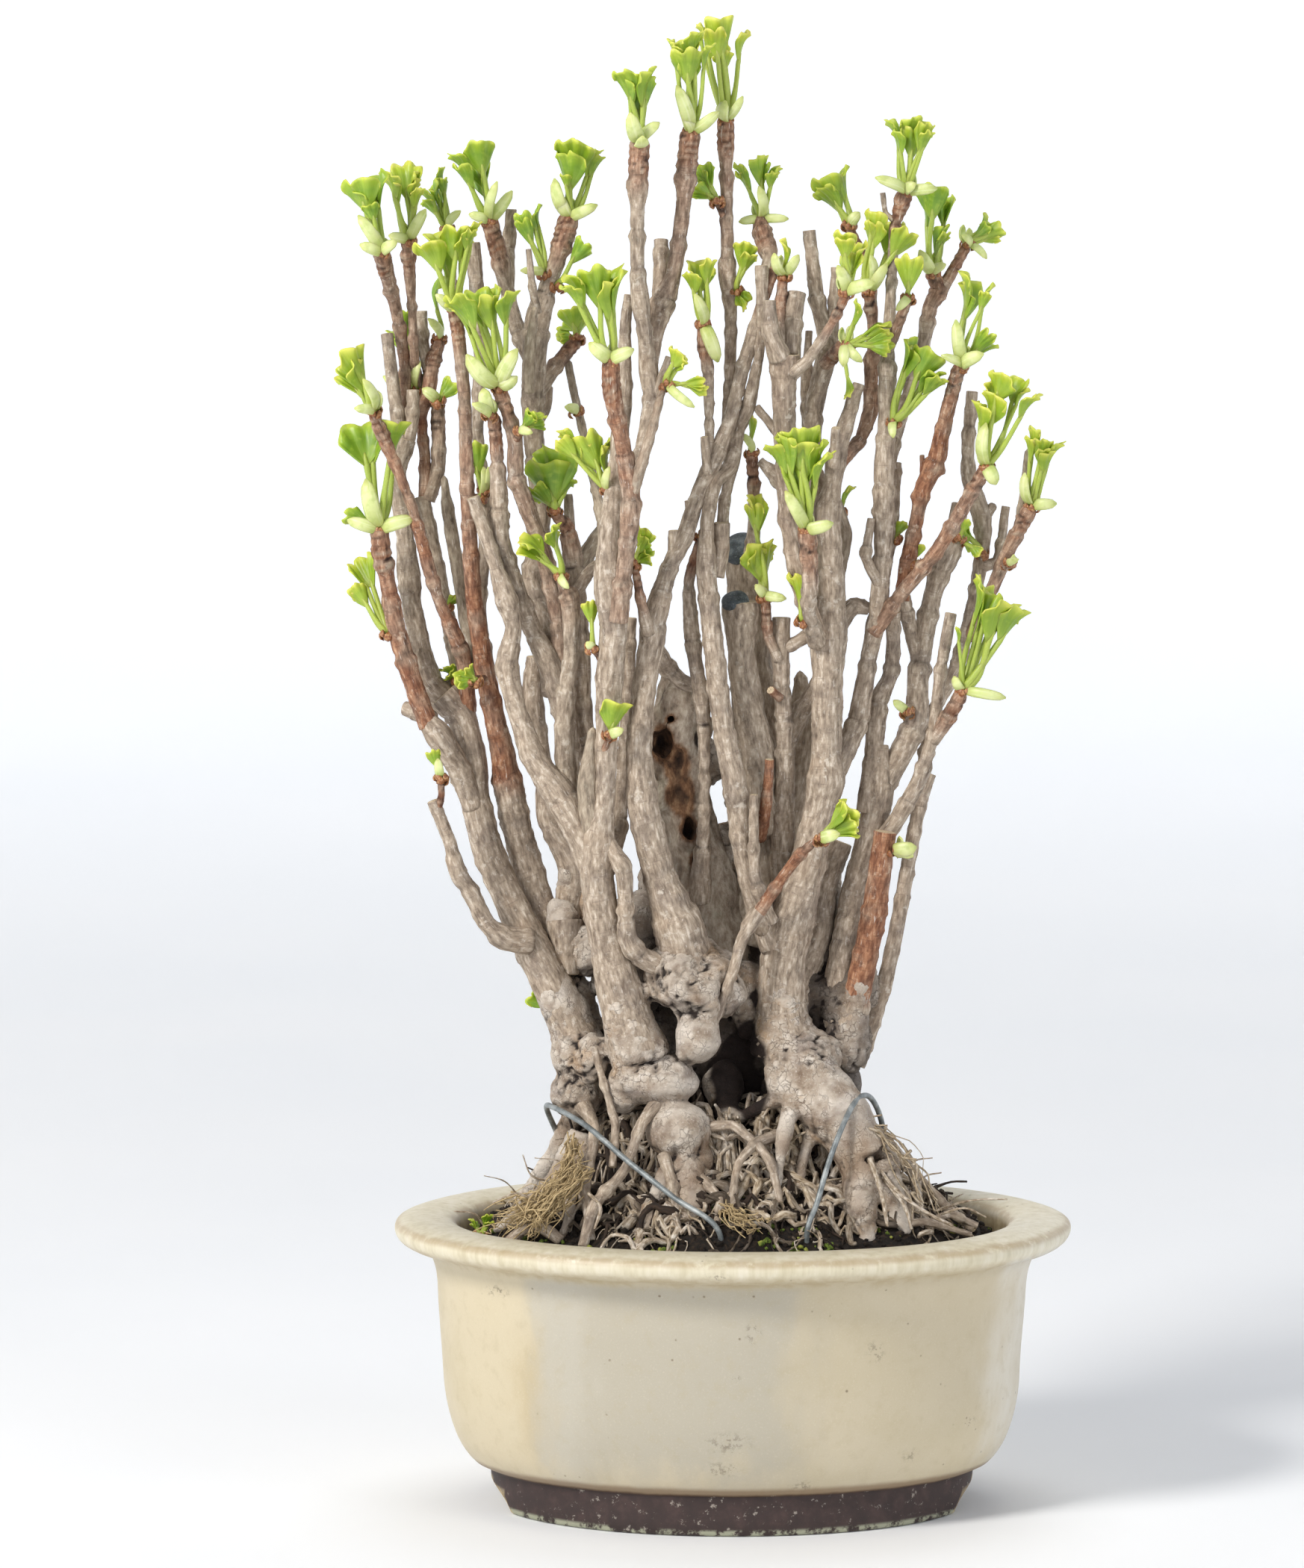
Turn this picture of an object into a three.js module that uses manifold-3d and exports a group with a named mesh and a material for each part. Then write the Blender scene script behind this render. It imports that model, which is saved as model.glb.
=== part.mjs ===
// Ginkgo bonsai: a clump of hard-pruned stems on a root burl, in spring bud, in an oval lipped pot.
// Millimetres, +Z up. The origin is under the middle of the whole plant's box, at the foot of the pot.
import * as THREE from "three";
import { mergeVertices } from "three/addons/utils/BufferGeometryUtils.js";
import Module from "manifold-3d";

const wasm = await Module();
wasm.setup();

// ---- driving dimensions ----
const GAP = 0.35; // left between pieces that touch
const RIM = { x: 113, y: 88, z: 97 }; // half width, half depth and height of the pot's lip
const MOUTH = { x: 92, y: 68 }; // the opening inside the lip
const FOOT = { x: 80, y: 59, z: 13.5 }; // the unglazed foot
const FLOOR_Z = 21; // top of the pot's floor
const FLOOR_UNDER_Z = 12; // underside of the floor, inside the foot
const POT_SEGMENTS = 28;
const DRAIN = { x: 38, radius: 9 };
const FOOT_ARCH = { width: 46, height: 8.5 }; // the low arch through each end of the foot
const MESH_SCREEN = { size: 28, thickness: 1.2, hole: 5, across: [-9, 0, 9], along: [-4.5, 4.5] };
const SOIL_EDGE_Z = 86; // the soil where it meets the pot
const SOIL_RISE = 27; // height of the mound over that
const WIRE_RADIUS = 1.1;
const BLADE_THICKNESS = 0.95;
const STALK_WIDTH = 1.5;
const FAN_WIDER = 1.12; // a fan's width and length over those listed
const FAN_LONGER = 1.25;
const WOOD_DETAIL = 1.2; // the surfaces are kept to within this
const SOIL_DETAIL = 0.2;
const LEAF_DETAIL = 0.25;

// The tree is drawn in a front elevation: u to the right and v up on the plane through the pot's middle,
// as an eye in front of the pot sees it. The third number is the depth behind that plane at the base;
// the clump fans out from there, so that depths are spread towards the top.
const EYE = new THREE.Vector3(-26.8, -2200, 464);
const FAN_OUT = { middle: -5, from: 160, to: 390, times: 2.4 };

function place([u, v, drawn]) {
  const up = THREE.MathUtils.clamp((v - FAN_OUT.from) / (FAN_OUT.to - FAN_OUT.from), 0, 1);
  const spread = 1 + (FAN_OUT.times - 1) * up;
  const depth = FAN_OUT.middle + (drawn - FAN_OUT.middle) * spread;
  const stretch = (depth - EYE.y) / -EYE.y;
  return new THREE.Vector3(EYE.x + (u - EYE.x) * stretch, depth, EYE.z + (v - EYE.z) * stretch);
}

// ---- stems: each point is u, v, depth and radius ----
const STEMS = {
  left_outer: [
    [-50, 150, -2, 9], [-54, 162, -2, 7.5], [-63, 180, -2, 6.3], [-73, 200, 0, 5.2], [-81.5, 220, 2, 5.2],
    [-85.5, 236, 2, 5], [-87, 250, 3, 5.1], [-90, 264, 3, 4.9], [-96, 271, 3, 5.5],
  ],
  left_outer_upper: [
    [-94, 268, 3, 4.5], [-101, 275, 4, 5], [-104, 288, 5, 3.6], [-106.5, 302, 6, 3.2], [-107.5, 311, 6, 3.9],
    [-108.5, 323, 6, 3], [-111, 345, 7, 2.8], [-109, 356, 7, 4],
  ],
  left_cut_tall: [[-109.5, 354, 7, 2.8], [-111, 363, 7, 2.3], [-114.3, 391, 8, 2.1]],
  left_cut_short: [[-108, 355, 7, 2.6], [-106, 363, 7, 2.1], [-105.7, 372.5, 7, 2.1]],
  left_lower_limb: [[-86, 234, 1, 4], [-91, 247, -1, 3.8], [-98, 258, -4, 4.5], [-102, 263.5, -4, 3.4]],
  left_red: [
    [-101, 261, -4, 3.3], [-105, 272, -5, 3.2], [-111.5, 293, -6, 3.1], [-115, 312, -7, 2.6],
    [-116.5, 319, -8, 3.3], [-117, 325, -8, 3.1],
  ],
  left_long_twig: [
    [-88, 266, 3, 3], [-88.5, 278, 0, 2.6], [-90, 286, -2, 2.7], [-97.5, 303, -6, 1.9], [-100, 311, -7, 2.3],
    [-106, 333, -9, 1.7], [-110.5, 345, -10, 1.7], [-115, 355.5, -10, 2.2], [-118.5, 364, -11, 2],
  ],
  left_pale: [
    [-94, 271, 5, 4], [-91, 279, 8, 3], [-93, 290, 9, 2.5], [-98, 315, 9, 2.2], [-103, 337, 10, 2.6],
  ],
  left_pale_cut: [[-101, 336, 10, 2.6], [-97.8, 346, 10, 2.5], [-97.5, 367.5, 10, 2.3]],
  left_pale_red: [
    [-102, 337, 10, 2.2], [-101.8, 350, 10, 1.9], [-103, 363, 11, 1.7], [-100.5, 373, 11, 2.4],
    [-99.5, 381, 12, 2.6], [-97, 388.5, 12, 2.2],
  ],
  left_pale_stub: [[-100.5, 379, 12, 2.2], [-102.5, 388, 13, 2.1], [-103, 398.5, 13, 2.1]],
  left_high_twig: [
    [-109.5, 352, 7, 2.2], [-108.5, 366, 10, 2], [-108.5, 382, 11, 2], [-111, 398, 8, 2],
    [-113.5, 408, 3, 2.4], [-115.8, 417, -3, 2.9],
  ],
  left_second_twig: [
    [-102.6, 357, 10.6, 1.8], [-104.3, 372, 13, 1.7], [-105.6, 388, 9, 1.5], [-106, 400, 8, 1.4],
    [-106.8, 411, 6, 2], [-107.2, 421, 4, 2.5],
  ],
  left_third_twig: [
    [-91, 392, -7.5, 1.9], [-92.5, 404, -2, 1.6], [-93.2, 415, 5, 1.6], [-93.8, 425, 11, 2.1],
  ],
  left_jin: [
    [-84, 279, 0, 2.6], [-87.5, 289, 4, 2.2], [-89.5, 303, 7, 2.1], [-94, 331, 8, 2.1],
    [-95.5, 343, 9, 1.2],
  ],
  tall_brown: [
    [-48, 158, 8, 6], [-58, 184, 8, 5.4], [-66, 206, 8, 5.4], [-71.5, 226, 7, 5], [-74.8, 242, 5, 5],
    [-76, 250, 3, 4.2], [-79.5, 266, 0, 3.5], [-83, 284, -2, 3], [-86, 306, -4, 2.8], [-88, 340, -7, 2.3],
    [-88.8, 370, -8, 2.1], [-91, 393, -8, 2.3], [-92, 398, -8, 2.2],
  ],
  tall_behind: [
    [-81, 276, 1, 2.6], [-84, 300, 2, 2.2], [-81.7, 328, 3, 2.1], [-84.5, 360, 6, 1.9], [-83.5, 385, 6, 2.2],
    [-84.5, 403, 6, 2.5], [-86, 421, 6, 2.5],
  ],
  hook_left: [
    [-68, 189, -5, 4.6], [-76, 190, -9, 4], [-82, 195, -11, 2.9], [-88, 207, -13, 2.8], [-91, 211, -14, 3],
    [-94, 222, -15, 2.1], [-99.5, 236, -15, 2.1],
  ],
  limb_left: [
    [-46, 214, -19, 5.5], [-52, 228, -18, 5.2], [-57.5, 238, -17, 5.2], [-66.5, 251, -15, 4],
    [-72, 268, -13, 3.2], [-75, 281, -12, 3.8], [-72.8, 294, -12, 2.6], [-75, 303, -12, 3.7],
    [-79, 316, -12, 2.4], [-86, 337, -12, 2.2],
  ],
  limb_middle: [
    [-52.5, 232, -16.5, 3.8], [-53.8, 245, -11.5, 3.4], [-55.5, 262, -7, 3.4], [-61, 282, -7, 3.9],
    [-66.5, 293, -7, 3.1],
    [-73.5, 313, -9, 2.6], [-76.8, 323, -10, 3], [-77.5, 338, -10, 2.9], [-78, 350, -10, 2.2],
    [-79, 363, -11, 2.2],
  ],
  limb_inner: [
    [-57.5, 279, -6, 3], [-58, 295, -6, 2.5], [-62.5, 318, -8, 2.8], [-67.5, 332, -9, 2.8],
    [-71.8, 344, -10, 2.8],
    [-72.2, 357, -11, 2.5], [-74.5, 365, -12, 2.2], [-77, 372, -12, 2.5],
  ],
  pale_ringed: [
    [-54, 233, -15, 3.4], [-56, 250, -14, 3.2], [-55.5, 267, -13, 3.2], [-53.5, 288, -13, 2.5],
    [-54, 303, -13, 3], [-57, 310, -13, 1.6],
  ],
  grey_behind: [
    [-44, 213, -15, 4], [-45, 234, -7, 3.2], [-49.5, 262, -3, 3.2], [-50.5, 290, -1, 3],
    [-53, 316, -2, 3.3], [-55, 327, -3, 2.6],
    [-58.5, 331, -5, 1.9],
  ],
  grey_behind_stub: [[-54, 325, -2, 1.9], [-54.5, 338, -2, 1.5]],
  grey_behind_spur: [[-52.4, 306, -1.8, 2.6], [-46, 314, -6, 1.9], [-38.5, 317.5, -9, 1.7]],
  grey_behind_jin: [[-52.6, 311, -1.6, 3.1], [-46, 322, 2, 2.4], [-43, 328, 3, 1.4]],
  tan_rod: [[-40.9, 317, -18.5, 2.4], [-45.5, 340, -6, 1.5], [-50, 360, 2, 1.4], [-54.5, 381.5, 6, 1.3]],
  crown_left: [
    [-60, 272, -6.8, 3.6], [-60.5, 284, -2.5, 3.5], [-63, 296, 0, 4], [-66.3, 309, 2, 3.8],
    [-63.5, 330, 2, 3.2], [-66, 358, 2, 3.4],
    [-66, 377, 0, 3.9], [-64.5, 396, 0, 4.3], [-60.8, 408, 0, 2.8], [-58, 416, 0, 2.8], [-55.8, 423, 0, 3.6],
    [-54.5, 428, 0, 3.5],
  ],
  crown_left_spur: [[-65.6, 371, 0.6, 3], [-59, 380, 4, 2.4], [-52, 388.5, 7, 2.2]],
  crown_left_back: [
    [-65.7, 381, 0.5, 3], [-71, 392, 5, 2.7], [-74.3, 405, 8, 2.2], [-73.2, 432, 8, 1.9],
  ],
  crown_left_knuckle: [[-74.1, 403.5, 8, 2.2], [-76.5, 414, 5, 2.9], [-80, 427, 3, 2.8]],
  front_left: [
    [-31, 150, -18, 9.5], [-37, 170, -18, 7.6], [-42, 189, -18, 5.9], [-45.3, 210, -20, 5.6],
    [-45, 221, -20, 5.6],
    [-42.7, 236, -21, 3.4], [-42, 256, -21, 3.6], [-40.8, 276, -20, 4.4], [-39.5, 295, -20, 4.5],
    [-40.8, 308, -20, 5.2], [-40.8, 325, -20, 3.8], [-38.5, 347, -17, 2.6], [-36.5, 368, -14, 2.9],
    [-35.5, 394, -13, 1.8], [-34.5, 404, -13, 1.6],
  ],
  front_left_spike: [[-47, 222, -20, 3.2], [-48.5, 243, -21, 2.8], [-46.5, 259, -21, 1.5]],
  front_left_hook: [
    [-42, 223, -21, 2.6], [-36.5, 213.5, -23, 3], [-35.5, 202, -23, 2.5], [-35, 190, -23, 3.2],
    [-31, 184, -21, 3.4], [-25, 181, -19, 3.6],
  ],
  front_left_twig: [[-43, 252, -22, 1.3], [-41, 257.5, -25, 1.1]],
  front_fork: [
    [-38, 296, -22, 3.2], [-35.8, 314, -23, 2.6], [-33.8, 332, -24, 3.2], [-34.3, 342, -24, 3.1],
    [-37, 357, -26, 2.5], [-40.2, 373, -27, 3.1], [-40.5, 381, -27, 2.9],
  ],
  crown_middle: [
    [-34, 338, -22, 2.8], [-30.5, 351, -20, 2.4], [-27, 369, -16, 2.8], [-28, 379, -15, 3.2],
    [-29.3, 392, -15, 2.4], [-30.7, 402, -15, 3], [-31.6, 413, -15, 2.3], [-31.6, 432, -15, 2.3],
    [-31.5, 438, -15, 3.3], [-31, 453, -15, 3.3],
  ],
  crown_middle_stub: [[-26.8, 367, -16, 2], [-21.3, 383.5, -16, 1.1]],
  straw_rod: [[-34, 336, -24, 2.2], [-27, 359, -26, 1.5], [-22.3, 377, -24, 1.2]],
  crown_second: [
    [-28, 379, -14, 2.8], [-26, 391, -12, 2.9], [-23, 402, -10, 4], [-19.6, 411, -10, 2.5],
    [-16.3, 435, -10, 2.5], [-15.8, 442, -10, 3.4], [-14.5, 456, -10, 3.3],
  ],
  crown_second_stub: [[-24, 402, -9, 3], [-24, 410, -8, 2.5], [-23.8, 422, -7, 2.4]],
  pale_between: [
    [-43, 213, -16, 4], [-38, 225, -11, 2.6], [-37, 240, -8, 2.1], [-34.7, 275, -8, 2],
    [-33.5, 297, -8, 1.7],
  ],
  curled_spur: [[-28, 292, -16, 2.4], [-30.5, 303, -19, 1.6], [-32.5, 314, -19, 1.2]],
  front_centre: [
    [-15, 176, -14, 10], [-19, 192, -16, 7.8], [-23.5, 206, -17, 5.2], [-27, 222, -18, 5.3],
    [-30, 236, -18, 5.3],
    [-31, 252, -18, 4.3], [-29.8, 272, -16, 3.9], [-27, 288, -14, 4.3], [-25.8, 297, -14, 4],
    [-21, 314, -13, 2.8],
    [-16, 324, -13, 2.9], [-11, 340, -11, 2.4], [-7.5, 347, -10, 2.9], [-1.5, 361, -9, 2.4],
    [3, 379, -8, 2.2],
    [7, 392, -8, 2.4], [9.5, 401, -8, 1.8], [13.5, 412, -8, 1.6],
  ],
  front_centre_peg: [[-14, 330, -12, 1.5], [-15, 336, -12, 1.1]],
  crown_third: [
    [-2, 357, -8, 2.1], [-1, 380, -6, 1.9], [-0.8, 398, -5, 2.1], [-2, 411, -5, 2.9], [-2, 420, -5, 2.1],
    [-2.4, 446, -5, 2.1], [-2.5, 453, -5, 2.9], [-2.5, 460, -5, 2.8],
  ],
  crown_third_twig: [[-2.3, 428, -5, 1.4], [-5.2, 434.5, -6, 1.2]],
  thin_spur: [
    [-8, 346, -10, 1.8], [-7.8, 358, -10, 1.5], [-8.3, 378, -10, 1.8], [-9.4, 387, -10, 2.5],
    [-9.6, 393, -10, 2.3],
  ],
  centre_thin: [
    [-11, 203, 0, 3.8], [-9.5, 230, -8.5, 1.9], [-9.5, 257, -9, 1.9], [-10, 266, -9, 2.5],
    [-12.5, 283, -9, 2.4],
    [-13.6, 292, -9, 2.6], [-14.5, 309, -9, 1.9], [-11, 324, -11, 1.2],
  ],
  centre_arch: [[-26.6, 289, -13, 2.8], [-22, 281, -6, 2.8], [-17, 276, -6, 2.6], [-11.5, 274, -8, 2.2]],
  centre_front: [
    [14, 187, -8, 5], [9, 200, -8, 4.2], [3.6, 218, -10, 3.4], [2, 232, -11, 3.8], [0.8, 241, -12, 4.1],
    [-3.2, 261, -12, 3.6], [-6.4, 288, -13, 3.3], [-8.8, 312, -13, 3.3], [-8.6, 328, -13, 2.3],
    [-6, 342, -10, 2.4], [-1, 347, -8, 2.8], [2, 360, -7, 2], [4.8, 366.5, -8, 2.3], [8.5, 384, -8, 1.6],
    [9.6, 396, -9, 1.9], [9.3, 413.5, -9, 2.1],
  ],
  centre_front_stub: [[-6, 311, -12, 3], [-3.8, 320, -11, 2.7], [-3.7, 328.5, -11, 2.7]],
  centre_front_link: [[-3.6, 324, -9, 2], [-2.8, 336, -8, 1.8], [-0.5, 346, -8, 2]],
  centre_front_second: [[12, 195, -12, 3], [7.5, 211, -14, 2], [7, 228, -14, 1.7], [7.2, 238, -14, 1.3]],
  aerial_root: [
    [10, 193, -10, 2.8], [8, 198, -17, 2.9], [3.2, 190, -21, 1.9], [0.5, 180, -23, 1.7], [-5, 164, -24, 1.3],
    [-7, 158, -24, 1.2],
  ],
  low_twig: [[8.5, 198, -17, 2.2], [17, 211, -22, 1.7], [22, 217.5, -25, 1.8], [30, 225, -29, 1.1]],
  pale_spur: [[6, 305, 4, 3.2], [7, 333, -2, 2], [6.3, 350.5, -3, 2]],
  dead_high: [
    [3, 188, 10, 9], [8, 208, 11, 8], [9, 232, 10, 7.2], [7, 265, 10, 7], [5.5, 295, 7, 6.9],
    [3.7, 319, 4, 6.4],
  ],
  dead_low: [[8, 226, 3, 6.5], [5.5, 253, 0, 6], [2.5, 282, -4, 5.2], [0.5, 298.5, -6, 4.6]],
  red_stub: [[8.5, 224, -0.5, 2.8], [11, 233, -6.5, 1.9], [12.3, 249.8, -8, 1.5]],
  centre_right: [
    [17, 198, 3, 4], [16.6, 220, 1, 4.2], [17.4, 242, -1, 3.2], [17, 264, -3, 2.7], [15.8, 284, -4, 3],
    [16, 297, -4, 3],
  ],
  centre_right_limb: [[17.5, 254, -2, 2.8], [21.5, 263, 1, 3.2], [29, 277, 1, 2.6]],
  centre_right_bridge: [[16, 287, -4, 2.4], [21, 289, -4, 2.1], [29, 293.5, -4, 3]],
  centre_right_spur: [[15.5, 283, -5, 2], [11.8, 291, -6, 1.7], [10.8, 303, -7, 1.7]],
  trunk: [
    [18, 152, -6, 11.5], [16.5, 168, -6, 7.8], [17, 183, -6, 7.5], [19, 195, -6, 8], [24.5, 213, -6, 6],
    [29, 233, -6, 5.2], [31, 243, -6, 6.3], [31, 252, -6, 5], [31.5, 276, -6, 5.1], [31.8, 291, -6, 6.2],
    [31.9, 305, -6, 5.4], [31.5, 322, -6, 4.6], [31.3, 332, -6, 4.6], [33, 342, -5, 2.9], [34, 349, -5, 3.4],
    [36, 357, -5, 2.8], [41.5, 374.5, -4, 2],
  ],
  front_bunch_spur: [[27.8, 289, -9, 3], [25.2, 299, -16, 2.2], [25.6, 309, -18, 2.7], [24.6, 325, -18, 3]],
  trunk_branch: [
    [34.5, 348, -5, 2.6], [42, 356, 0, 2.1], [45.4, 366, 2, 2.6], [45.6, 378, 2, 2.3], [46.3, 391, 1, 1.8],
    [44.8, 404, 0, 1.9],
  ],
  back_twig: [[45.6, 397, 0.6, 1.9], [45.5, 411, 4, 1.5], [38.8, 425, 5, 1.5]],
  crown_centre: [
    [28, 291, -9, 3.2], [21.5, 311, -11, 3], [17.9, 335, -11, 3], [17, 358, -11, 3.6], [16.8, 374, -11, 4],
    [17, 384, -11, 5.3],
  ],
  crown_knot: [
    [9.6, 409, -8.6, 1.9], [12, 415.5, -6, 2.2], [11.3, 419, -4, 3.3], [9.8, 424, -2.5, 3.2],
    [9, 428, -1.5, 2.7],
  ],
  crown_centre_left: [[15.5, 383, -12, 3.8], [12.3, 392, -13, 2.9], [12, 402, -13, 2]],
  crown_centre_stub: [[18.8, 384, -10, 3.6], [19.6, 395, -9, 3.1], [21, 404.5, -8, 3.1]],
  crown_centre_twig: [[16.5, 385, -10, 2.8], [15.2, 398, -9, 2.1], [16.5, 409, -8, 1.7]],
  crown_centre_diagonal: [
    [19.5, 378, -12, 2.4], [25, 383, -13, 1.8], [34, 397, -15, 1.5], [37, 403.5, -15, 1.6],
  ],
  crown_right: [
    [31, 327, -5, 3.2], [26.2, 348, -1, 2.9], [27, 368, 1, 3.1], [31.5, 388, 1, 3.3], [28, 401, 1, 2.5],
    [25, 425, 1, 2.2],
  ],
  crown_right_spur: [[30.2, 381, 0.8, 2.6], [36, 387, -5, 2.2]],
  crown_right_pale: [[26.4, 349, -0.6, 2.8], [24.5, 372, 4, 2.3], [25, 392, 5, 1.2]],
  right_grey: [
    [34, 245, -4, 3.6], [41.5, 263, 0, 3.4], [45, 283, -1, 2.9], [48, 298, -2, 3.2], [49.7, 319, -4, 3],
    [50, 335, -4, 3.6], [50, 346, -4, 3.4], [50.4, 363, -4, 2.5], [50.9, 377, -3, 2.9], [51.2, 388, -2, 2.2],
    [52.3, 410, 0, 1.7], [53.5, 427, 0, 1.8], [56, 436, 0, 2.9],
  ],
  right_grey_stub: [[49.5, 310, -3.2, 2.6], [53, 330, 1, 2], [54, 348.5, 2, 1.8]],
  right_grey_spur: [[48.9, 308, -3.4, 2.2], [44.2, 317, -6, 1.7], [45.8, 330, -6, 1.3]],
  right_grey_twig: [[51.3, 386, -3, 1.8], [57.5, 402, -6, 1.7]],
  right_back: [
    [50.1, 343, -3.6, 2.7], [55, 362, 4, 2.2], [62.5, 386, 9, 2.3], [65, 400, 9, 2.5], [68, 406, 9, 3],
    [66, 410, 9, 2.3],
  ],
  right_back_twig: [[68.5, 405, 9, 2.2], [72.5, 412, 9, 1.9], [76.5, 419, 9, 1.7]],
  right_dark: [
    [44, 232, 2, 3], [46.8, 252, 3, 3], [48.5, 269, 3, 3.2], [52.6, 279, 3, 2.5], [53.5, 299, 0, 2.3],
  ],
  right_slant: [[46.5, 292, -2, 2.8], [55, 304, -4, 2.5], [68, 320, -8, 2.3], [83, 345.5, -13, 2.3]],
  right_red: [
    [56, 303, -3, 2.5], [57.6, 314, -2, 2.6], [61.3, 332, -2, 2.3], [63, 340, -2, 2.9],
    [67.6, 350.5, -3, 3.1],
    [69, 358, -4, 2.5], [74.5, 379.5, -6, 2.4],
  ],
  right_main: [
    [36, 148, 2, 6], [35, 168, 2, 5.4], [37, 188, 2, 4.2], [40, 204, 3, 4.2], [45.3, 222, 3, 4.7],
    [49, 238, 3, 4.7], [49, 254.5, 3, 2.7],
  ],
  right_upper: [
    [50, 240, 3, 3.6], [58, 256, 5, 4], [61, 263, 5, 4.2], [61.5, 276, 5, 3.5], [63, 289, 5, 3.5],
    [66.5, 306, 5, 3.1], [71.5, 319, 5, 4], [76, 333, 5, 2],
  ],
  right_upper_fork: [[61.5, 284, 5, 2.6], [59, 293, 4, 2.4], [56.5, 304, 0, 2.4]],
  right_thin: [
    [49, 222, 1, 3], [55.5, 231, -2, 2.8], [62, 243, -4, 2.5], [66.5, 258, -6, 2], [68.8, 278, -6, 1.9],
    [72.3, 298.5, -6, 1.9],
  ],
  right_thin_spur: [[66.5, 256, -6, 2.2], [71, 263, -8, 2.5], [75.5, 271, -11, 2.4]],
  right_outer: [
    [40, 148, 7, 4.5], [49.5, 170, 8, 2.7], [54.5, 192, 8, 2.5], [58.5, 215, 8, 2.4], [62.5, 236, 8, 2.4],
    [66, 245, 8, 1.6],
  ],
  right_far: [
    [62, 234, 8, 2.4], [66.5, 265, 10, 2.3], [74.5, 281, 10, 2.4], [80, 303, 10, 2.3], [82.8, 322, 10, 2.5],
    [82.3, 331, 10, 3.3], [78.3, 343, 10, 2.7], [77.6, 352, 10, 2.2], [79, 372, 10, 2],
  ],
  right_far_stub: [[82, 314, 10, 2.2], [87.5, 316, 10, 1.7], [90.3, 334, 10, 1.4]],
  right_far_branch: [[78, 290, 10, 2.4], [84, 302, 8, 2.2], [91, 319, 4, 2.3], [98, 332.5, 2, 2.6]],
  right_brown_stub: [[39, 158, -1, 5.6], [42.5, 175, -4, 4.3], [47.3, 200, -6, 4.1], [50.8, 225.5, -6, 3.6]],
  hollow_wood: [
    [-6, 176, 8, 14], [-10, 205, 8, 11.5], [-15, 228, 6, 8.8], [-19, 250, 4, 8], [-18.5, 266, 3, 7],
    [-20, 278, 4, 3.5],
  ],
  dead_twisted: [
    [-57, 189, 7, 5], [-53, 213, 6, 5], [-61, 230, 6, 4], [-63, 250, 5, 2.6], [-66.5, 270, 4, 3.6],
    [-66, 284, 3, 2.6],
  ],
  dead_short: [[-56, 196, 2, 6], [-55, 178, 0, 4]],
  dead_right: [[19, 166, -2, 6], [24, 179, 5, 5], [29, 192, 6, 4.5], [31, 208, 6, 4], [36, 222, 6, 4]],
};

// ---- roots: each point is u, v, depth and radius ----
const ROOTS = {
  buttress: [[18, 150, -10, 10], [26, 142, -16, 11], [34, 132, -21, 10.3], [45, 115, -28, 9]],
  toe_left: [[44, 112, -30, 7], [43, 101, -36, 5.6], [45, 86, -43, 3.6]],
  toe_right: [[49, 113, -28, 6.8], [53, 104, -32, 4.3], [58.5, 90, -38, 2.2]],
  peg: [[22, 140, -19, 3.6], [17.8, 126, -28, 2.5], [15.5, 110, -34, 1.6], [14, 101, -38, 1.3]],
  under_lobe: [[16, 136, -18, 3], [9, 133, -16, 2.3], [-3, 127, -12, 1.5]],
  dark_curve: [[28, 130, -21, 3.2], [24, 116, -25, 2.2], [20, 99, -32, 1.5]],
  right_long: [
    [41, 131, -14, 2], [50, 124, -13, 1.7], [61, 111, -12, 1.5], [73, 98, -18, 1.7], [81, 92, -24, 1.3],
  ],
  right_drop: [
    [46, 119, -25, 3.6], [53, 117, -20, 2.8], [60, 112, -18, 2.2], [62, 103, -23, 1.9],
    [62.5, 90, -31, 1.7],
  ],
  right_short: [[49, 113, -28, 2.6], [58, 104, -28, 1.5], [60, 93, -34, 1.4]],
  centre_fall: [
    [16, 124, -24, 2.2], [8, 121, -30, 1.7], [2, 114, -36, 1.3], [0, 100, -42, 1.2], [-0.5, 88, -48, 0.9],
  ],
  centre_bend: [[8.5, 120.5, -31, 1.6], [13, 114, -36, 1.5], [16, 101, -42, 1.2]],
  centre_fibre: [[-12, 126, -22, 1.8], [0, 127, -26, 1.6], [8, 121, -29, 1.4]],
  centre_front: [[-13.5, 111, -28, 2.6], [-4, 102, -42, 1.3], [-6, 89, -49, 1.1]],
  lobe_foot: [[-15, 114, -27, 6.2], [-14, 102, -36, 5.5], [-15, 86, -46, 3.6]],
  lobe_side: [[-23, 117, -30, 2.2], [-20, 107, -37, 1.7], [-18, 90, -46, 1.2]],
  left_front: [
    [-22, 138, -20, 3], [-30, 128, -29, 1.9], [-36, 112, -37, 1.6], [-46, 100, -44, 2], [-50, 86, -49, 1.7],
  ],
  left_short: [[-51, 136, -7, 3.2], [-46, 126, -24, 1.8], [-49, 105, -36, 1.7], [-47, 88, -46, 1.4]],
  left_flare: [[-48, 122, -6, 8], [-57, 108, -12, 5.6], [-67, 99, -17, 4], [-80, 91, -24, 1.8]],
  left_bend: [[-57, 110, -14, 3.2], [-54, 98, -33, 1.9], [-58, 87, -41, 1.7]],
  front_knot: [[-19, 117, -26, 3], [-27, 100, -40, 2.8], [-31, 87, -47, 3]],
  front_right: [[36, 106, -30, 2.2], [40, 97, -38, 1.9], [47, 85, -45, 1.7]],
  back_left: [[-18, 132, 14, 7], [-28, 118, 30, 4.6], [-36, 96, 46, 2.4]],
  back_right: [[12, 132, 16, 7], [16, 118, 31, 4.8], [25, 96, 46, 2.4]],
  back_far_right: [[34, 134, 8, 6], [48, 116, 20, 4], [66, 94, 30, 2]],
  back_far_left: [[-46, 136, 8, 6], [-58, 118, 16, 3.6], [-76, 93, 25, 1.8]],
};

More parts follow.
